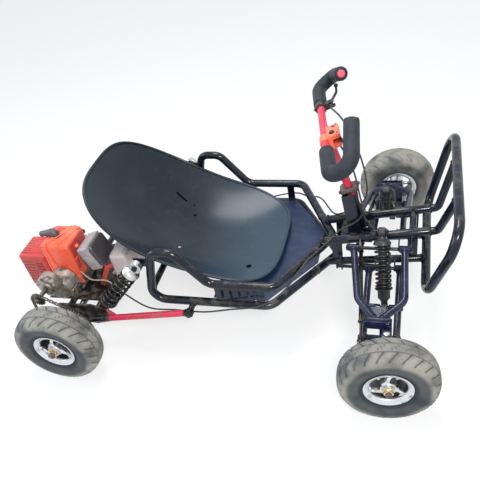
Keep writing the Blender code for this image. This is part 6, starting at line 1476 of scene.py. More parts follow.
def toothed(teeth, radius, bore, centre, holes=0, hole_reach=0.0, hole_radius=0.0, thickness=0.0032):
    """A sprocket: r(a) = R - d |sin(n a / 2)|^1.6 is its outline. Round holes are gaps between rings
    of a polar grid whose lines follow each hole's edge."""
    around = np.linspace(0.0, 2 * math.pi, teeth * 12, endpoint=False)
    outline = radius + 0.0022 - 0.0044 * (1 - np.abs(np.sin(teeth * around / 2)) ** 1.6)
    inner = np.full_like(around, bore)
    bands = [(inner, outline)]
    if holes:
        sector = (around * holes / (2 * math.pi)) % 1.0 - 0.5
        spread = 2 * math.pi / holes * sector * hole_reach
        half = np.sqrt(np.clip(hole_radius ** 2 - spread ** 2, 0.0, None))
        bands = [(inner, hole_reach - half), (hole_reach + half, outline)]
    level = np.full_like(around, thickness / 2)
    shapes = []
    for first, second in bands:
        points = [np.stack([reach * np.cos(around), height, reach * np.sin(around)], -1)
                  for reach, height in ((first, -level), (first, level), (second, level), (second, -level))]
        shapes.append((np.concatenate(points) + centre, [grid_faces(4, len(around), True, True)]))
    return shapes


hub_face = TRACK_REAR / 2 + HUB_HALF
shoulder = TRACK_REAR / 2 - HUB_HALF - 0.0003
axle = [rod((0, -hub_face - 0.018, AXLE_Z), (0, hub_face + 0.018, AXLE_Z), 0.0100, 40, 0.0012)]
for side in (-1, 1):
    key_y = shoulder - 0.007
    axle += [rod(at(0, shoulder - 0.014, AXLE_Z, side), at(0, shoulder, AXLE_Z, side), 0.0180, 40, 0.0015),
             nut(at(0, key_y, AXLE_Z + 0.0165, side), at(0, key_y, AXLE_Z + 0.0200, side), 0.0042)]
axle += [rod((0, CHAIN_Y - 0.010, AXLE_Z), (0, CHAIN_Y + 0.012, AXLE_Z), 0.024, 40, 0.0015),
         rod((0, BRAKE_Y - 0.012, AXLE_Z), (0, BRAKE_Y + 0.012, AXLE_Z), 0.022, 40, 0.0015)]
piece("axle_shaft", axle, DARK_STEEL, "rear_axle", ["rear_axle"], "dark_steel")
for word, side in SIDES:
    hub_nut = [along_y(nut, hub_face + 0.0012, hub_face + 0.0100, 0, AXLE_Z, 0.0145, side),
               along_y(rod, hub_face + 0.0004, hub_face + 0.0018, 0, AXLE_Z, 0.0165, side)]
    piece(f"rear_nut_{word}", hub_nut, BRASS, "rear_axle", ["rear_axle"], "dark_steel")

sprocket = toothed(BIG_TEETH, BIG_RADIUS, 0.022, np.array([0, CHAIN_Y, AXLE_Z]), 6, 0.054, 0.0155)
for x, z in bolt_circle(4, 45.0, 0.0205, 0.0, AXLE_Z):
    sprocket.append(along_y(nut, CHAIN_Y - 0.0098, CHAIN_Y - 0.0140, x, z, 0.0042))
piece("rear_sprocket", sprocket, DARK_STEEL, "rear_axle", ["rear_axle"], "dark_steel")
disc = toothed(24, 0.0692, 0.020, np.array([0, BRAKE_Y, AXLE_Z]), 12, 0.052, 0.0052)
piece("brake_disc", disc, BRIGHT_STEEL, "rear_axle", ["rear_axle"], "dark_steel")
small = toothed(SMALL_TEETH, SMALL_RADIUS, 0.0045, np.array([DRIVE_X, CHAIN_Y, DRIVE_Z]))
small += [along_y(rod, CHAIN_Y - 0.008, -0.300, DRIVE_X, DRIVE_Z, 0.007),
          along_y(nut, CHAIN_Y - 0.0072, CHAIN_Y - 0.0022, DRIVE_X, DRIVE_Z, 0.0105)]
piece("drive_teeth", small, DARK_STEEL, "drive_sprocket", ["drive_sprocket"], "dark_steel")


# %% Roller chain
def chain_line():
    """The chain's closed pitch line: an arc on either sprocket and the two common tangents."""
    big_centre, small_centre = np.array([0.0, AXLE_Z]), np.array([DRIVE_X, DRIVE_Z])
    line = small_centre - big_centre
    heading = math.atan2(line[1], line[0])
    lean = math.acos((BIG_RADIUS - SMALL_RADIUS) / float(np.linalg.norm(line)))
    wide = np.linspace(heading + lean, heading + 2 * math.pi - lean, 400)
    narrow = np.linspace(heading - lean, heading + lean, 120)
    arcs = (big_centre, BIG_RADIUS, wide), (small_centre, SMALL_RADIUS, narrow)
    loop = [centre + radius * np.stack([np.cos(angle), np.sin(angle)], -1) for centre, radius, angle in arcs]
    return np.concatenate([*loop, loop[0][:1]])


def chain():
    """Rollers at equal steps along the pitch line, and a pair of plates over every two of them."""
    loop = chain_line()
    count = 2 * round(float(np.linalg.norm(np.diff(loop, axis=0), axis=1).sum()) / PITCH / 2)
    pins = stretch(loop, 0.0, 0.0, count + 1)[:-1]
    plate_end, pin_end = 0.0027, 0.0040
    arc = np.linspace(-math.pi / 2, math.pi / 2, 6)
    rounding = plate_end * np.stack([np.cos(arc), np.sin(arc)], -1)
    shapes = []
    for number, (here, there) in enumerate(zip(pins, np.roll(pins, -1, 0))):
        centre, along = (here + there) / 2, unit(there - here)
        half = np.array([float(np.linalg.norm(there - here)) / 2, 0.0])
        outline = np.concatenate([rounding + half, -rounding - half])
        spread = 0.0024 if number % 2 else 0.0034
        for step in (-1, 1):
            origin = (centre[0], CHAIN_Y + step * spread, centre[1])
            axes = (along[0], 0, along[1]), (-along[1], 0, along[0])
            shapes.append(plate(outline, 0.0009, origin, *axes, 0.0002))
        near, far = (here[0], CHAIN_Y - pin_end, here[1]), (here[0], CHAIN_Y + pin_end, here[1])
        shapes.append(rod(near, far, 0.0016, 10, 0.0002))
    print("chain links:", count)
    return shapes


piece("roller_chain", chain(), DARK_STEEL, "swing", ["drive_chain"], "dark_steel")

# %% [markdown]
# ## Engine
# The engine is a small two-stroke like those of hand-held tools: an orange cover over the cylinder,
# a crimson guard over the silencer, a grey air filter with a dark lid, and castings black with oil
# below. Ribs on the covers are ribbons: a small cross section carried along the surface with the
# surface's own normal, over the rounded edge from the top down the side.

# %% Ribbons over an edge
def ribbon(path, normals, width, height, sink=0.0012, chamfer=0.0008):
    """A raised band along a path, with a chamfer along both sides and closed ends."""
    path, normals = np.asarray(path, float), unit(normals)
    across = unit(np.cross(normals, np.gradient(path, axis=0)))
    half = width / 2
    section = [(-half, -sink), (-half, height - chamfer), (-half + chamfer, height),
               (half - chamfer, height), (half, height - chamfer), (half, -sink)]
    points = np.stack([path + across * a + normals * b for a, b in section], 1)
    count, last = len(section), len(path) - 1
    caps = np.stack([np.arange(count), np.arange(count)[::-1] + last * count])
    return points.reshape(-1, 3), [grid_faces(len(path), count, False, True), caps]


def down_the_side(top_far, edge_x, foot, top_z, near_y, radius):
    """A path on a rounded block: over its top, round its near edge and down its side. The points
    give (x, y) at the far end of the top and (x, z) at the foot of the side."""
    def between(start, end, share):
        return np.array(start) * (1 - share) + np.array(end) * share

    corner = np.array([edge_x, near_y + radius, top_z - radius])
    share = np.linspace(0.0, 1.0, 14)[:, None]
    over = between((*top_far, top_z), (edge_x, corner[1], top_z), share)
    angle = np.linspace(0.0, math.pi / 2, 9)[1:]
    outwards = np.stack([0 * angle, -np.sin(angle), np.cos(angle)], -1)
    side = between((edge_x, near_y, corner[2]), (foot[0], near_y, foot[1]), share[1:])
    path = np.concatenate([over, corner + radius * outwards, side])
    normals = np.concatenate([np.tile([0.0, 0.0, 1.0], (len(over), 1)), outwards,
                              np.tile([0.0, -1.0, 0.0], (len(side), 1))])
    return path, normals


def facing(angle):
    """The direction at an angle in the plane square to Y: (cos a, 0, sin a)."""
    return np.array([math.cos(angle), 0.0, math.sin(angle)])


def rib(centre, heading, start, length, width, thickness, edge):
    """A straight rib that runs outwards from a centre along a heading, on a face square to Y."""
    foot = np.array(centre) + start * heading
    return strap(foot, foot + length * heading, width, thickness, (0, 1, 0), edge)


# %% Orange cover and starter
MIDDLE_X, CYLINDER_Y = -0.052, -0.146
STARTER_Z = 0.196
ENGINE_Z = 0.1483
COVER_TOP, COVER_NEAR, COVER_EDGE = 0.325, -0.200, 0.012
cover = [block((-0.100, COVER_NEAR, 0.186), (-0.004, -0.092, COVER_TOP), COVER_EDGE, 6)]
for top_far, edge_x, foot_x, width, height in (((-0.030, -0.102), -0.084, -0.070, 0.016, 0.0030),
                                               ((-0.016, -0.100), -0.048, -0.018, 0.022, 0.0022),
                                               ((-0.080, -0.104), -0.093, -0.093, 0.006, 0.0016)):
    path, normals = down_the_side(top_far, edge_x, (foot_x, 0.190), COVER_TOP, COVER_NEAR, COVER_EDGE)
    cover.append(ribbon(path, normals, width, height))
drum = [(-0.0945, 0.0), (-0.0945, 0.0460), (-0.0900, 0.0460), (-0.0860, 0.0452), (-0.0450, 0.0425),
        (-0.0380, 0.0408), (-0.0345, 0.0375), (-0.0340, 0.0340), (-0.0340, 0.0300), (-0.0352, 0.0290),
        (-0.0352, 0.0160), (-0.0340, 0.0150), (-0.0340, 0.0)]
cover.append(turned(drum, (MIDDLE_X, 0, STARTER_Z), (0, 1, 0), 72))
for angle in np.radians(8.0 + 30.0 * np.arange(12)):
    cover.append(rib((MIDDLE_X, -0.0348, STARTER_Z), facing(angle), 0.0165, 0.0125, 0.0030, 0.0020, 0.0005))
for x, z in bolt_circle(4, 45.0, 0.0440, MIDDLE_X, STARTER_Z):
    cover.append(along_y(rod, -0.0930, -0.0700, x, z, 0.0055))
cover += [rod((MIDDLE_X, -0.060, 0.228), (MIDDLE_X, -0.060, 0.2517), 0.0100),
          strap((-0.012, -0.196, 0.206), (-0.001, -0.199, 0.176), 0.011, 0.0050, (0, 1, 0))]
piece("cylinder_cover", cover, ORANGE, "swing", ["engine_shroud"], "orange_plastic", 40.0)
top_well = [(-0.0985, -0.196), (-0.0780, -0.176), (-0.0560, -0.142), (-0.0500, -0.108), (-0.0985, -0.108)]
side_well = [(-0.0990, 0.290), (-0.0990, 0.318), (-0.0930, 0.3225), (-0.0800, 0.3225)]
well = [plate(top_well, 0.003, (0, 0, COVER_TOP - 0.0004), (1, 0, 0), (0, 1, 0), 0.0010),
        plate(side_well, 0.003, (0, COVER_NEAR + 0.0008, 0), (1, 0, 0), (0, 0, 1), 0.0010),
        block((-0.0075, -0.1880, 0.2700), (-0.0025, -0.1040, 0.3190), 0.0022),
        block((-0.0060, -0.1900, 0.2300), (0.0030, -0.1760, 0.2680), 0.0030)]
piece("cover_recess", well, CRIMSON, "swing", ["engine_shroud"], "orange_plastic")

PLUG_X = -0.068
boot_line = (PLUG_X, CYLINDER_Y, 0.316), (-0.071, CYLINDER_Y, 0.339), (-0.118, -0.150, 0.331)
boot_path = bent(boot_line, (0.012,), 10)
boot_radius = np.interp(np.linspace(0, 1, len(boot_path)), [0, 0.25, 0.6, 0.85, 1.0],
                        [0.0150, 0.0142, 0.0130, 0.0124, 0.0090])
lip = [(0.0, 0.0), (0.0, 0.0190), (0.002, 0.0200), (0.004, 0.0190), (0.005, 0.0)]
boot = [tube(boot_path, boot_radius, 30, 0.002), turned(lip, (PLUG_X, CYLINDER_Y, 0.3232), (0, 0, 1), 40)]
for x in (-0.090, -0.014):
    boot.append(along_y(rod, -0.1990, -0.2012, x, 0.200, 0.0034))
piece("plug_boot", boot, BOOT_GREY, "swing", ["engine_block"], "black_plastic")

neck = [(0.0, 0.0), (0.0, 0.0052), (0.003, 0.0060), (0.012, 0.0058), (0.012, 0.0)]
handle = [block((MIDDLE_X - 0.020, -0.067, 0.2620), (MIDDLE_X + 0.020, -0.053, 0.276), 0.0045, 4),
          turned(neck, (MIDDLE_X, -0.060, 0.252), (0, 0, 1), 28)]
piece("starter_grip", handle, BLACK, "starter_handle", ["starter_handle"], "black_plastic")
rope_low, rope_high = np.array([MIDDLE_X, -0.060, 0.2450]), np.array([MIDDLE_X, -0.060, 0.2640])
rope = piece("starter_rope", [tube(np.linspace(rope_low, rope_high, 40), 0.0016, 12, 0.0003)], SHEATH, None,
             ["starter_handle"], "black_plastic")
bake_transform(rope)

# %% Crimson guard
GUARD_FACE, GUARD_TOP = -0.1996, 0.281
ROW = 0.0125
UPWARDS = [0.0, 0.0, 1.0]
slot_rows = 0.202 + ROW * np.arange(5)
guard = [block((GUARD_FACE, GUARD_FACE, ENGINE_Z), (-0.104, -0.100, GUARD_TOP), 0.010, 6)]
for z in slot_rows:
    start, end = (-0.146, GUARD_FACE - 0.0008, z + 0.0048), (-0.122, GUARD_FACE - 0.0008, z + 0.0018)
    guard.append(strap(start, end, 0.0036, 0.0030, (0, 1, 0.5), 0.0008))
for y in (-0.182, -0.118):
    path = [(x, y, GUARD_TOP) for x in np.linspace(-0.186, -0.116, 12)]
    guard.append(ribbon(path, np.tile(UPWARDS, (12, 1)), 0.004, 0.0012, 0.0006, 0.0004))
piece("silencer_guard", guard, CRIMSON, "swing", ["muffler_guard"], "red_plastic")


def shaded_opening(start, end, radius=0.0024):
    """A round opening of the guard, drawn as a short dark rod just proud of its face: painted shade for the
    hole.
    """
    return rod(start, end, radius, 12, 0.0002)


# The slots and round openings are dark marks on the guard's faces: painted shade where the guard is open.
shaded_openings = [strap((-0.146, GUARD_FACE, z), (-0.122, GUARD_FACE, z - 0.0030), 0.0036, 0.0016, (0, 1, 0), 0.0004)
        for z in slot_rows]
for i, j in np.ndindex(5, 7):
    x, y, z = -0.1900 + 0.0080 * i + 0.0040 * (j % 2), -0.180 + 0.0120 * i, 0.180 + ROW * j
    shaded_openings += [shaded_opening((x, -0.1990, z), (x, -0.2002, z)), shaded_opening((-0.1985, y, z), (-0.1999, y, z))]
for i, j in np.ndindex(3, 7):
    x, y = -0.1880 + 0.0080 * i + 0.0040 * (j % 2), -0.186 + 0.0115 * j
    shaded_openings.append(shaded_opening((x, y, GUARD_TOP - 0.0010), (x, y, GUARD_TOP + 0.0005), 0.0022))
piece("guard_openings_painted_shade", shaded_openings, BLACK, "swing", ["muffler_guard"], "red_plastic")

# %% Crankcase, cylinder and carburettor
hub = [(0.0, 0.0), (0.0, 0.0180), (0.0075, 0.0170), (0.0095, 0.0150), (0.0095, 0.0)]
case = [block((-0.096, -0.1967, ENGINE_Z), (-0.0073, -0.0953, 0.210), 0.0105, 5),
        turned(hub, (MIDDLE_X, -0.1950, 0.170), (0, -1, 0), 40)]
for x in np.linspace(-0.090, -0.014, 7):
    case.append(strap((x, -0.1975, 0.152), (x + 0.006, -0.1975, 0.186), 0.0028, 0.006, (0, 1, 0), 0.0008))
for x in (-0.092, -0.012):
    for z in (0.156, 0.180):
        case += [along_y(rod, -0.1950, -0.2010, x, z, 0.0062), along_y(nut, -0.2005, -0.2045, x, z, 0.0042)]
fin_profile = [(0.0, 0.0)]
for low in 0.012 + 0.0095 * np.arange(9):
    fin_profile += [(low, 0.025), (low, 0.041), (low + 0.0025, 0.041), (low + 0.0025, 0.025)]
fin_profile.append((0.098, 0.0))
carburettor_x = 0.010
case += [turned(fin_profile, (MIDDLE_X, CYLINDER_Y, 0.202), (0, 0, 1), 40),
         block((-0.190, -0.190, 0.1605), (-0.108, -0.110, 0.269), 0.006),
         rod((MIDDLE_X, CYLINDER_Y, 0.232), (-0.124, CYLINDER_Y, 0.232), 0.012),
         rod((-0.050, -0.145, 0.238), (0.026, -0.145, 0.252), 0.0125),
         block((-0.002, -0.163, 0.226), (0.022, -0.127, 0.268), 0.0040),
         along_y(rod, -0.1620, -0.1720, carburettor_x, 0.250, 0.0070),
         along_y(nut, -0.1715, -0.1755, carburettor_x, 0.250, 0.0050),
         along_y(rod, -0.1600, -0.1690, carburettor_x, 0.234, 0.0035)]
piece("crankcase", case, CASTING, "swing", ["engine_block"], "engine_casting")

# %% Gearbox
CLUTCH_X, CLUTCH_Z = DRIVE_X + 0.003, 0.198
output = [(0.300, 0.0076), (0.300, 0.0160), (0.2985, 0.0180), (0.2950, 0.0190), (0.2930, 0.0320),
          (0.2910, 0.0340), (0.2600, 0.0345), (0.2580, 0.0335), (0.2580, 0.0076)]
clutch = [(0.2048, 0.0), (0.2048, 0.0440), (0.2075, 0.0452), (0.2110, 0.0445), (0.2500, 0.0412),
          (0.2575, 0.0385), (0.2612, 0.0330), (0.2620, 0.0)]
gears = [turned(output, (DRIVE_X, 0, DRIVE_Z), (0, -1, 0), 56, True),
         turned(clutch, (CLUTCH_X, 0, CLUTCH_Z), (0, -1, 0), 64),
         block((DRIVE_X - 0.026, -0.285, 0.196), (DRIVE_X + 0.026, -0.236, DRIVE_Z), 0.006, 4),
         block((DRIVE_X - 0.030, -0.240, ENGINE_Z), (DRIVE_X + 0.036, -0.2048, 0.190), 0.004, 4)]
for angle in np.radians(200.0 + 18.5 * np.arange(9)):
    heading = facing(angle)
    gears.append(rib((CLUTCH_X, -0.2615, CLUTCH_Z), heading, 0.012, 0.021, 0.0030, 0.0034, 0.0008))
    outer = np.array([CLUTCH_X, -0.2120, CLUTCH_Z]) + 0.0440 * heading
    end = outer + (0, -0.040, 0) - 0.0030 * heading
    gears.append(strap(outer, end, 0.0030, 0.0060, np.cross(heading, (0, 1, 0)), 0.0008))
for x, z in bolt_circle(5, 18.0, 0.0290, DRIVE_X, DRIVE_Z):
    gears += [along_y(rod, -0.2900, -0.2940, x, z, 0.0050), along_y(nut, -0.2935, -0.2975, x, z, 0.0038)]
for x, z in bolt_circle(6, 30.0, 0.0430, CLUTCH_X, CLUTCH_Z):
    gears.append(along_y(rod, -0.2060, -0.2180, x, z, 0.0050))
piece("reduction_gear", gears, CASTING, "swing", ["gearbox"], "engine_casting")


# %% Air filter and choke knob
def tilted(shapes):
    """Put shapes into the filter's leaning frame."""
    axes = turn_y(-math.radians(18.0)).T
    return [moved(shape, axes, (0.052, -0.145, 0.268)) for shape in shapes]


def soft_rectangle(half_x, half_y, corner, steps=7):
    """A rectangle's outline whose corners are quarter circles."""
    arc = np.linspace(0, math.pi / 2, steps)
    rounding = corner * np.stack([np.cos(arc), np.sin(arc)], -1)
    x, y = half_x - corner, half_y - corner
    centres = ((x, y), (-x, y), (-x, -y), (x, -y))
    return np.concatenate([np.array(centre) + rounding @ turn_z(quarter * math.pi / 2)[:2, :2].T
                           for quarter, centre in enumerate(centres)])


filter_case = [block((-0.0275, -0.045, -0.0435), (0.0115, 0.045, 0.0435), 0.0075, 5),
               block((0.0085, -0.0440, -0.0425), (0.0125, 0.0440, 0.0425), 0.0015),
               rod((-0.036, 0, -0.0175), (-0.020, 0, -0.0145), 0.0165),
               block((-0.0200, -0.0470, -0.0180), (0.0020, -0.0440, 0.0120), 0.0012)]
piece("filter_case", tilted(filter_case), GREY, "swing", ["air_filter"], "grey_plastic")
lid = [plate(soft_rectangle(0.0420, 0.0405, 0.014), 0.013, (0.0205, 0, 0), (0, 1, 0), (0, 0, 1), 0.0032)]
piece("filter_lid", tilted(lid), CHARCOAL, "swing", ["air_filter"], "grey_plastic", 28.0)
knob_profile = [(0.0, 0.0), (0.0, 0.0048), (0.009, 0.0058), (0.0125, 0.0050), (0.0140, 0.0)]
knob = [turned(knob_profile, (-0.0330, -0.0180, 0.0480), (0.55, -0.80, 0.25), 28),
        strap((-0.0300, -0.0200, 0.020), (-0.0330, -0.0180, 0.050), 0.006, 0.003, (0, 1, 0), 0.0008)]
piece("choke_knob", tilted(knob), ORANGE, "swing", ["air_filter"], "grey_plastic")

# %% Fuel tank
TANK_X, FILLER_Y, TANK_TOP = 0.128, -0.075, 0.268
filler = [(0.0, 0.0), (0.0, 0.0150), (0.008, 0.0140), (0.012, 0.0140), (0.012, 0.0)]
tank = [block((0.098, -0.170, 0.1495), (0.158, -0.030, TANK_TOP), 0.0125, 6),
        turned(filler, (TANK_X, FILLER_Y, TANK_TOP - 0.0010), (0, 0, 1), 40),
        block((0.060, -0.130, ENGINE_Z), (0.110, -0.070, 0.156), 0.0015)]
path = [(TANK_X, y, TANK_TOP) for y in np.linspace(-0.158, -0.104, 8)]
tank.append(ribbon(path, np.tile(UPWARDS, (8, 1)), 0.030, 0.0016, 0.0008, 0.0006))
piece("fuel_tank_shell", tank, TANK, "swing", ["fuel_tank"], "tank_plastic")
angle = np.linspace(0.0, 2 * math.pi, 96, endpoint=False)
knurl = (0.0186 + 0.0006 * np.cos(24 * angle)) * np.stack([np.cos(angle), np.sin(angle), 0 * angle])
cap_foot = np.array([TANK_X, FILLER_Y, TANK_TOP + 0.006])
levels = [(0.0, 0.0), (0.0, 1.0), (0.0085, 1.0), (0.0098, 0.92), (0.0100, 0.0)]
cap_points = [cap_foot + share * knurl.T + (0, 0, height) for height, share in levels]
cap = [(np.concatenate(cap_points), [grid_faces(len(levels), 96, False, True)])]
piece("fuel_cap", cap, BLACK, "swing", ["fuel_tank"], "tank_plastic")
stay = [strap((0.091, -0.1765, 0.232), (0.048, -0.1800, 0.152), 0.016, 0.0050, (0, 1, 0), 0.0015),
        strap((0.089, -0.1765, 0.226), (0.118, -0.1600, 0.236), 0.014, 0.0040, (0, 1, 0), 0.0015),
        along_y(rod, -0.1780, -0.1835, 0.084, 0.216, 0.0050)]
piece("tank_stay", stay, CRIMSON, "swing", ["fuel_tank"], "tank_plastic")

# %% [markdown]
# ## Seat
# The seat is one moulded shell. Its outline is a super-ellipse, |a|^n + |b|^n = 1, reached by
# drawing the square's grid in: a' = a (1 - |b|^n / 2)^(1/n) and the same for b. Along its length it
# follows a Bezier curve from the front lip over the base to the top of the back, and across it
# curves up into side walls. The rim is a rolled bead.

# %% The shell
SEAT_POWER = 3.3
SHELL = 0.0042


def bernstein(share, values):
    """A Bezier curve through control values, one term for each: C(n, k) t^k (1-t)^(n-k)."""
    last = len(values) - 1
    terms = [math.comb(last, k) * share ** k * (1 - share) ** (last - k) for k in range(last + 1)]
    controls = [np.atleast_1d(np.asarray(value, float)) for value in values]
    return sum(term[..., None] * control for term, control in zip(terms, controls))


def seat_surface(lengthways, sideways):
    """Points of the seat's middle surface. Lengthways runs from -1 at the top of the back to 1 at the
    lip, and sideways from -1 to 1. The walls rise with |sideways|^2.5."""
    spine = ((0.623, 0.212), (0.481, 0.164), (0.209, 0.188), (0.068, 0.501))
    share = (1 - lengthways) / 2
    middle = bernstein(share, spine)
    ahead = unit(bernstein(share - 0.001, spine) - bernstein(share + 0.001, spine))
    width = bernstein(share, (0.225, 0.2215, 0.246))[..., 0]
    lift = bernstein(share, (0.010, 0.093, 0.086, 0.029))[..., 0] * np.abs(sideways) ** 2.5
    x = middle[..., 0] - ahead[..., 1] * lift
    z = middle[..., 1] + ahead[..., 0] * lift
    return np.stack([x, sideways * width, z], -1)


def seat_grid(along, across):
    """The square grid drawn in to the super-ellipse."""
    b, a = np.meshgrid(np.linspace(-1, 1, across), np.linspace(-1, 1, along))
    lengthways = a * (1 - np.abs(b) ** SEAT_POWER / 2) ** (1 / SEAT_POWER)
    sideways = b * (1 - np.abs(a) ** SEAT_POWER / 2) ** (1 / SEAT_POWER)
    return lengthways, sideways


def seat():
    """The shell with its thickness and its rolled rim."""
    rows, columns = 121, 81
    surface = seat_surface(*seat_grid(rows, columns))
    normal = unit(np.cross(np.gradient(surface, axis=0), np.gradient(surface, axis=1)))
    normal *= np.sign(normal[rows // 2, columns // 2, 2])
    inside, outside = surface + normal * SHELL / 2, surface - normal * SHELL / 2
    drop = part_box("seat_shell")[0].z - outside[..., 2].min()
    inside[..., 2] += drop
    outside[..., 2] += drop
    inside, outside = inside.reshape(-1, 3), outside.reshape(-1, 3)
    last_row = (rows - 1) * columns
    rim = np.concatenate([np.arange(columns), np.arange(1, rows) * columns + columns - 1,
                          last_row + np.arange(columns - 2, -1, -1), np.arange(rows - 2, 0, -1) * columns])
    count = rows * columns
    walls = np.stack([rim, np.roll(rim, -1), np.roll(rim, -1) + count, rim + count], -1)
    faces = [grid_faces(rows, columns), grid_faces(rows, columns)[:, ::-1] + count, walls]
    edge = (inside[rim] + outside[rim]) / 2
    drawn = unit(surface[rows // 2, columns // 2] + (0, 0, drop) - edge)
    bead = tube(edge + drawn * 0.0030, 0.0046, 14, 0.001, True)
    return [(np.concatenate([inside, outside]), faces), bead], drop


shell, seat_drop = seat()
print("seat lifted by mm:", round(1000 * seat_drop, 2))
piece("seat_moulding", shell, SEAT, "chassis", ["seat_shell"], "seat_plastic", 50.0)


# %% Holes and bolt of the back
def seat_place(lengthways, sideways, outwards=0.0012):
    """One point off the seat's middle surface along its normal, and that normal."""
    def point(a, b):
        return seat_surface(np.array(a), np.array(b)) + (0, 0, seat_drop)

    step = 0.001
    heading = unit(np.cross(point(lengthways + step, sideways) - point(lengthways - step, sideways),
                            point(lengthways, sideways + step) - point(lengthways, sideways - step)))
    heading = heading * np.sign(heading[2])
    return point(lengthways, sideways) + heading * outwards, heading


# Each hole and the slot is a thin dark disc on the shell: painted shade where the shell is open.
holes = []
for lengthways, sideways, radius in ((-0.185, 0.460, 0.0030), (-0.135, 0.305, 0.0046),
                                     (0.625, -0.527, 0.0085)):
    foot, heading = seat_place(lengthways, sideways)
    holes.append(rod(foot, foot + heading * 0.0016, radius, 24, 0.0004))
slot_start, slot_heading = seat_place(-0.382, 0.522, 0.0022)
slot_end = seat_place(-0.262, 0.470, 0.0022)[0]
holes.append(strap(slot_start, slot_end, 0.0070, 0.0014, slot_heading, 0.0005))
piece("seat_holes_painted_shade", holes, HOLE_SHADE, "chassis", ["seat_shell"], "seat_plastic")
foot, heading = seat_place(-0.135, -0.402)
bolt = [rod(foot, foot + heading * 0.0018, 0.0048, 24, 0.0004),
        rod(foot, foot + heading * 0.0036, 0.0028, 20, 0.001)]
piece("seat_bolt", bolt, BRIGHT_STEEL, "chassis", ["seat_shell"], "seat_plastic")

# %% [markdown]
# ## Control cables
# Both cables leave the bar's levers, hang in a free bend in front of the column and then follow the
# frame to the engine and the brake. A cable crosses two joints, so it is made of three stretches:
# the bend, the middle that lies on the frame, and the rear stretch. The bend and the rear stretch
# ride on no body.

# %% Routes
CABLE = 0.0025
NOSE_RUN = [(0.845, 0.036, 0.320), (0.800, 0.040, 0.292), (0.765, 0.070, 0.268), (0.715, 0.150, 0.262),
            (0.660, 0.222, 0.215), (0.600, 0.266, 0.196), (0.500, 0.268, 0.172), (0.420, 0.266, 0.152)]
NOSE_RIGHT = [tuple(at(*point, -1)) for point in NOSE_RUN]


def from_bar(first, second, gap=0.0008):
    """The two points where a cable leaves its lever, given in the steering's frame."""
    points = np.array([first, second], float)
    points[0] += unit(points[1] - points[0]) * gap
    return [tuple(point) for point in points @ STEER.T + BAR_CENTRE]


def cable(name, steering_part, nose, rear, cad_node):
    """One cable in three stretches that share their end rings."""
    route = smooth_route(steering_part + nose + rear, 8)
    first_cut = 8 * len(steering_part)
    second_cut = first_cut + 8 * (len(nose) - 1)
    stretches = {"bend": route[:first_cut + 1], "run": route[first_cut:second_cut + 1],
                 "rear": route[second_cut:]}
    made = {}
    for word, path in stretches.items():
        body = "chassis" if word == "run" else None
        made[word] = piece(f"{name}_{word}", [tube(path, CABLE, 12, 0.0004)], SHEATH, body, [cad_node],
                           "cable_sheath")
    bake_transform(made["bend"])
    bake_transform(made["rear"])
    print(name, "length in mm:", round(1000 * float(np.linalg.norm(np.diff(route, axis=0), axis=1).sum())))


throttle_top = from_bar((0.0135, -0.045, -0.0105), (0.0170, -0.037, -0.0160))
throttle_top += [(0.824, -0.040, 0.555), (0.846, -0.045, 0.500), (0.858, -0.042, 0.430),
                 (0.866, -0.040, 0.360)]
throttle_rear = [(0.330, -0.264, 0.150), (0.240, -0.262, 0.150), (0.160, -0.245, 0.190),
                 (0.100, -0.215, 0.205), (0.040, -0.208, 0.200), (0.006, -0.200, 0.225)]
cable("throttle_line", throttle_top, NOSE_RIGHT, throttle_rear, "throttle_cable")
brake_top = from_bar((0.028, 0.100, 0.0), (0.029, 0.088, 0.0))
brake_top += [(0.806, 0.066, 0.592), (0.834, 0.054, 0.545), (0.856, 0.048, 0.480), (0.868, 0.046, 0.420),
              (0.870, 0.042, 0.360)]
brake_rear = [(0.330, 0.262, 0.150), (0.240, 0.240, 0.148), (0.160, 0.222, 0.165), (0.100, 0.222, 0.190),
              (0.068, 0.262, 0.222), (0.058, 0.318, 0.228), (0.058, 0.330, 0.2045)]
cable("brake_line", brake_top, NOSE_RUN, brake_rear, "brake_cable")

# %% [markdown]
# ## Floor, light and camera
# The photograph is a studio-like picture on white. The floor is a pale plane, the world is white
# for the camera and a soft grey light for the kart, and large area lights give the long soft
# reflections on the tubes.

# %% Floor
def seen_directly(tree, kinds):
    """1 for rays of the named kinds and 0 for the rest: the largest of their outputs."""
    rays = tree.nodes.new("ShaderNodeLightPath")
    seen = rays.outputs[f"Is {kinds[0]} Ray"]
    for kind in kinds[1:]:
        seen = times(tree, seen, rays.outputs[f"Is {kind} Ray"], "MAXIMUM")
    return seen


FLOOR_HALF = 12.0
floor_mesh = bpy.data.meshes.new("studio_floor")
floor_corners = [(x * FLOOR_HALF, y * FLOOR_HALF, 0) for x, y in ((-1, -1), (1, -1), (1, 1), (-1, 1))]
floor_mesh.from_pydata(floor_corners, [], [(0, 1, 2, 3)])
studio_floor = bpy.data.objects.new("studio_floor", floor_mesh)
floor_finish, floor_tree, floor_shader = start_finish("pale_floor", 0.85)
cloud = noise(floor_tree, 0.8, 3.0)
pale = mixed(floor_tree, cloud, (0.93, 0.93, 0.93), (0.97, 0.97, 0.97))
joined_to(floor_tree, floor_shader, Base_Color=pale)
seen = seen_directly(floor_tree, ("Camera", "Glossy", "Transmission"))
white = node(floor_tree, "Emission", {"Color": (1.0, 1.0, 1.0, 1.0), "Strength": 1.0})
whiteness = times(floor_tree, seen, 0.70)
both = node(floor_tree, "MixShader", {0: whiteness, 1: floor_shader.outputs[0], 2: white.outputs[0]})
floor_tree.links.new(both.outputs[0], floor_tree.nodes["Material Output"].inputs[0])
floor_mesh.materials.append(floor_finish)
bpy.context.scene.collection.objects.link(studio_floor)
print("floor across in m:", 2 * FLOOR_HALF)


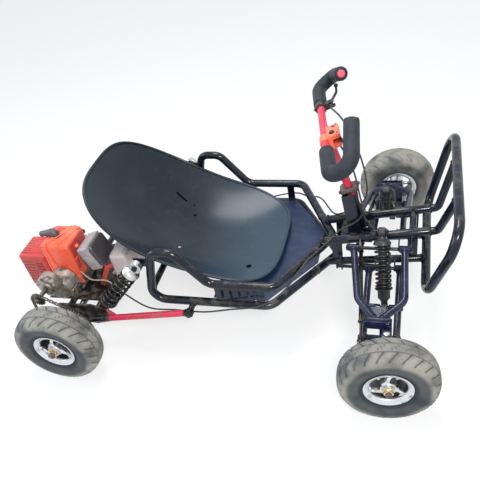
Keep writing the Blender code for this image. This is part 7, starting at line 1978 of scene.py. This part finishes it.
# %% World
SKY_LIGHT = 0.50
world = bpy.data.worlds.new("studio_world")
world.use_nodes = True
bpy.context.scene.world = world
sky = world.node_tree
background = sky.nodes["Background"]
seen = seen_directly(sky, ("Camera", "Transmission", "Glossy"))
power = node(sky, "Mix", {0: seen, 2: SKY_LIGHT, 3: 1.0}, data_type="FLOAT")
shade = node(sky, "Mix", {0: seen, 6: (0.84, 0.90, 1.00, 1.0), 7: (1.0, 1.0, 1.0, 1.0)}, data_type="RGBA")
sky.links.new(shade.outputs[2], background.inputs["Color"])
sky.links.new(power.outputs[0], background.inputs["Strength"])
print("light of the sky on the kart:", SKY_LIGHT)


# %% Lights
def placed(x_axis, y_axis, z_axis, origin):
    """The matrix that turns a camera or light along three axes and puts it at an origin."""
    turn = np.stack([x_axis, y_axis, z_axis], -1)
    return Matrix([[*row, shift] for row, shift in zip(turn, origin)] + [[0, 0, 0, 1]])


def panel(name, location, target, size, watts, colour=(1.0, 1.0, 1.0)):
    """A soft rectangular light that faces a point."""
    light = bpy.data.lights.new(name, "AREA")
    light.shape, light.size, light.size_y = "RECTANGLE", size[0], size[1]
    light.energy, light.color = watts, colour
    lamp = bpy.data.objects.new(name, light)
    back = unit(np.asarray(location, float) - target)
    lamp.matrix_world = placed(*square_to(back), back, location)
    bpy.context.scene.collection.objects.link(lamp)
    return lamp


lights = [panel("overhead", (-0.1, 0.4, 2.6), (0.0, 0.0, 0.2), (1.4, 0.9), 40.0),
          panel("key_side", (1.2, -1.9, 2.4), (0.0, 0.0, 0.3), (0.7, 0.5), 60.0, (1.0, 0.975, 0.94)),
          panel("sky_side", (-2.2, -0.6, 1.4), (-0.2, 0.0, 0.2), (1.2, 0.9), 20.0, (0.62, 0.80, 1.0))]
print("lights:", [lamp.name for lamp in lights])

# %% [markdown]
# ## Camera
# The view was fitted to the photograph from many points of the frame, the wheels and the bar: yaw,
# pitch, roll, distance and focal length, with a small shift.

# %% Camera
yaw, pitch, roll = -0.349, 0.730, -0.192
focal, middle_u, middle_v, picture = 564.6, 262.5, 260.7, 480.0
eye = np.array([1.003 - REAR_X, -1.290, 1.346])
ahead = np.array([math.sin(yaw) * math.cos(pitch), math.cos(yaw) * math.cos(pitch), -math.sin(pitch)])
level = np.array([math.cos(yaw), -math.sin(yaw), 0.0])
upward = np.cross(level, ahead)
camera_right = level * math.cos(roll) + upward * math.sin(roll)
camera_up = -level * math.sin(roll) + upward * math.cos(roll)
lens = bpy.data.cameras.new("photo_camera")
lens.sensor_width = 36.0
lens.lens = focal / picture * 36.0
lens.shift_x, lens.shift_y = -(middle_u - picture / 2) / picture, (middle_v - picture / 2) / picture
lens.clip_start = 0.05
camera = bpy.data.objects.new("photo_camera", lens)
camera.matrix_world = placed(camera_right, camera_up, -ahead, eye)
bpy.context.scene.collection.objects.link(camera)
bpy.context.scene.camera = camera
print("lens in mm:", round(lens.lens, 2))

bpy.context.scene.view_settings.view_transform = "Standard"
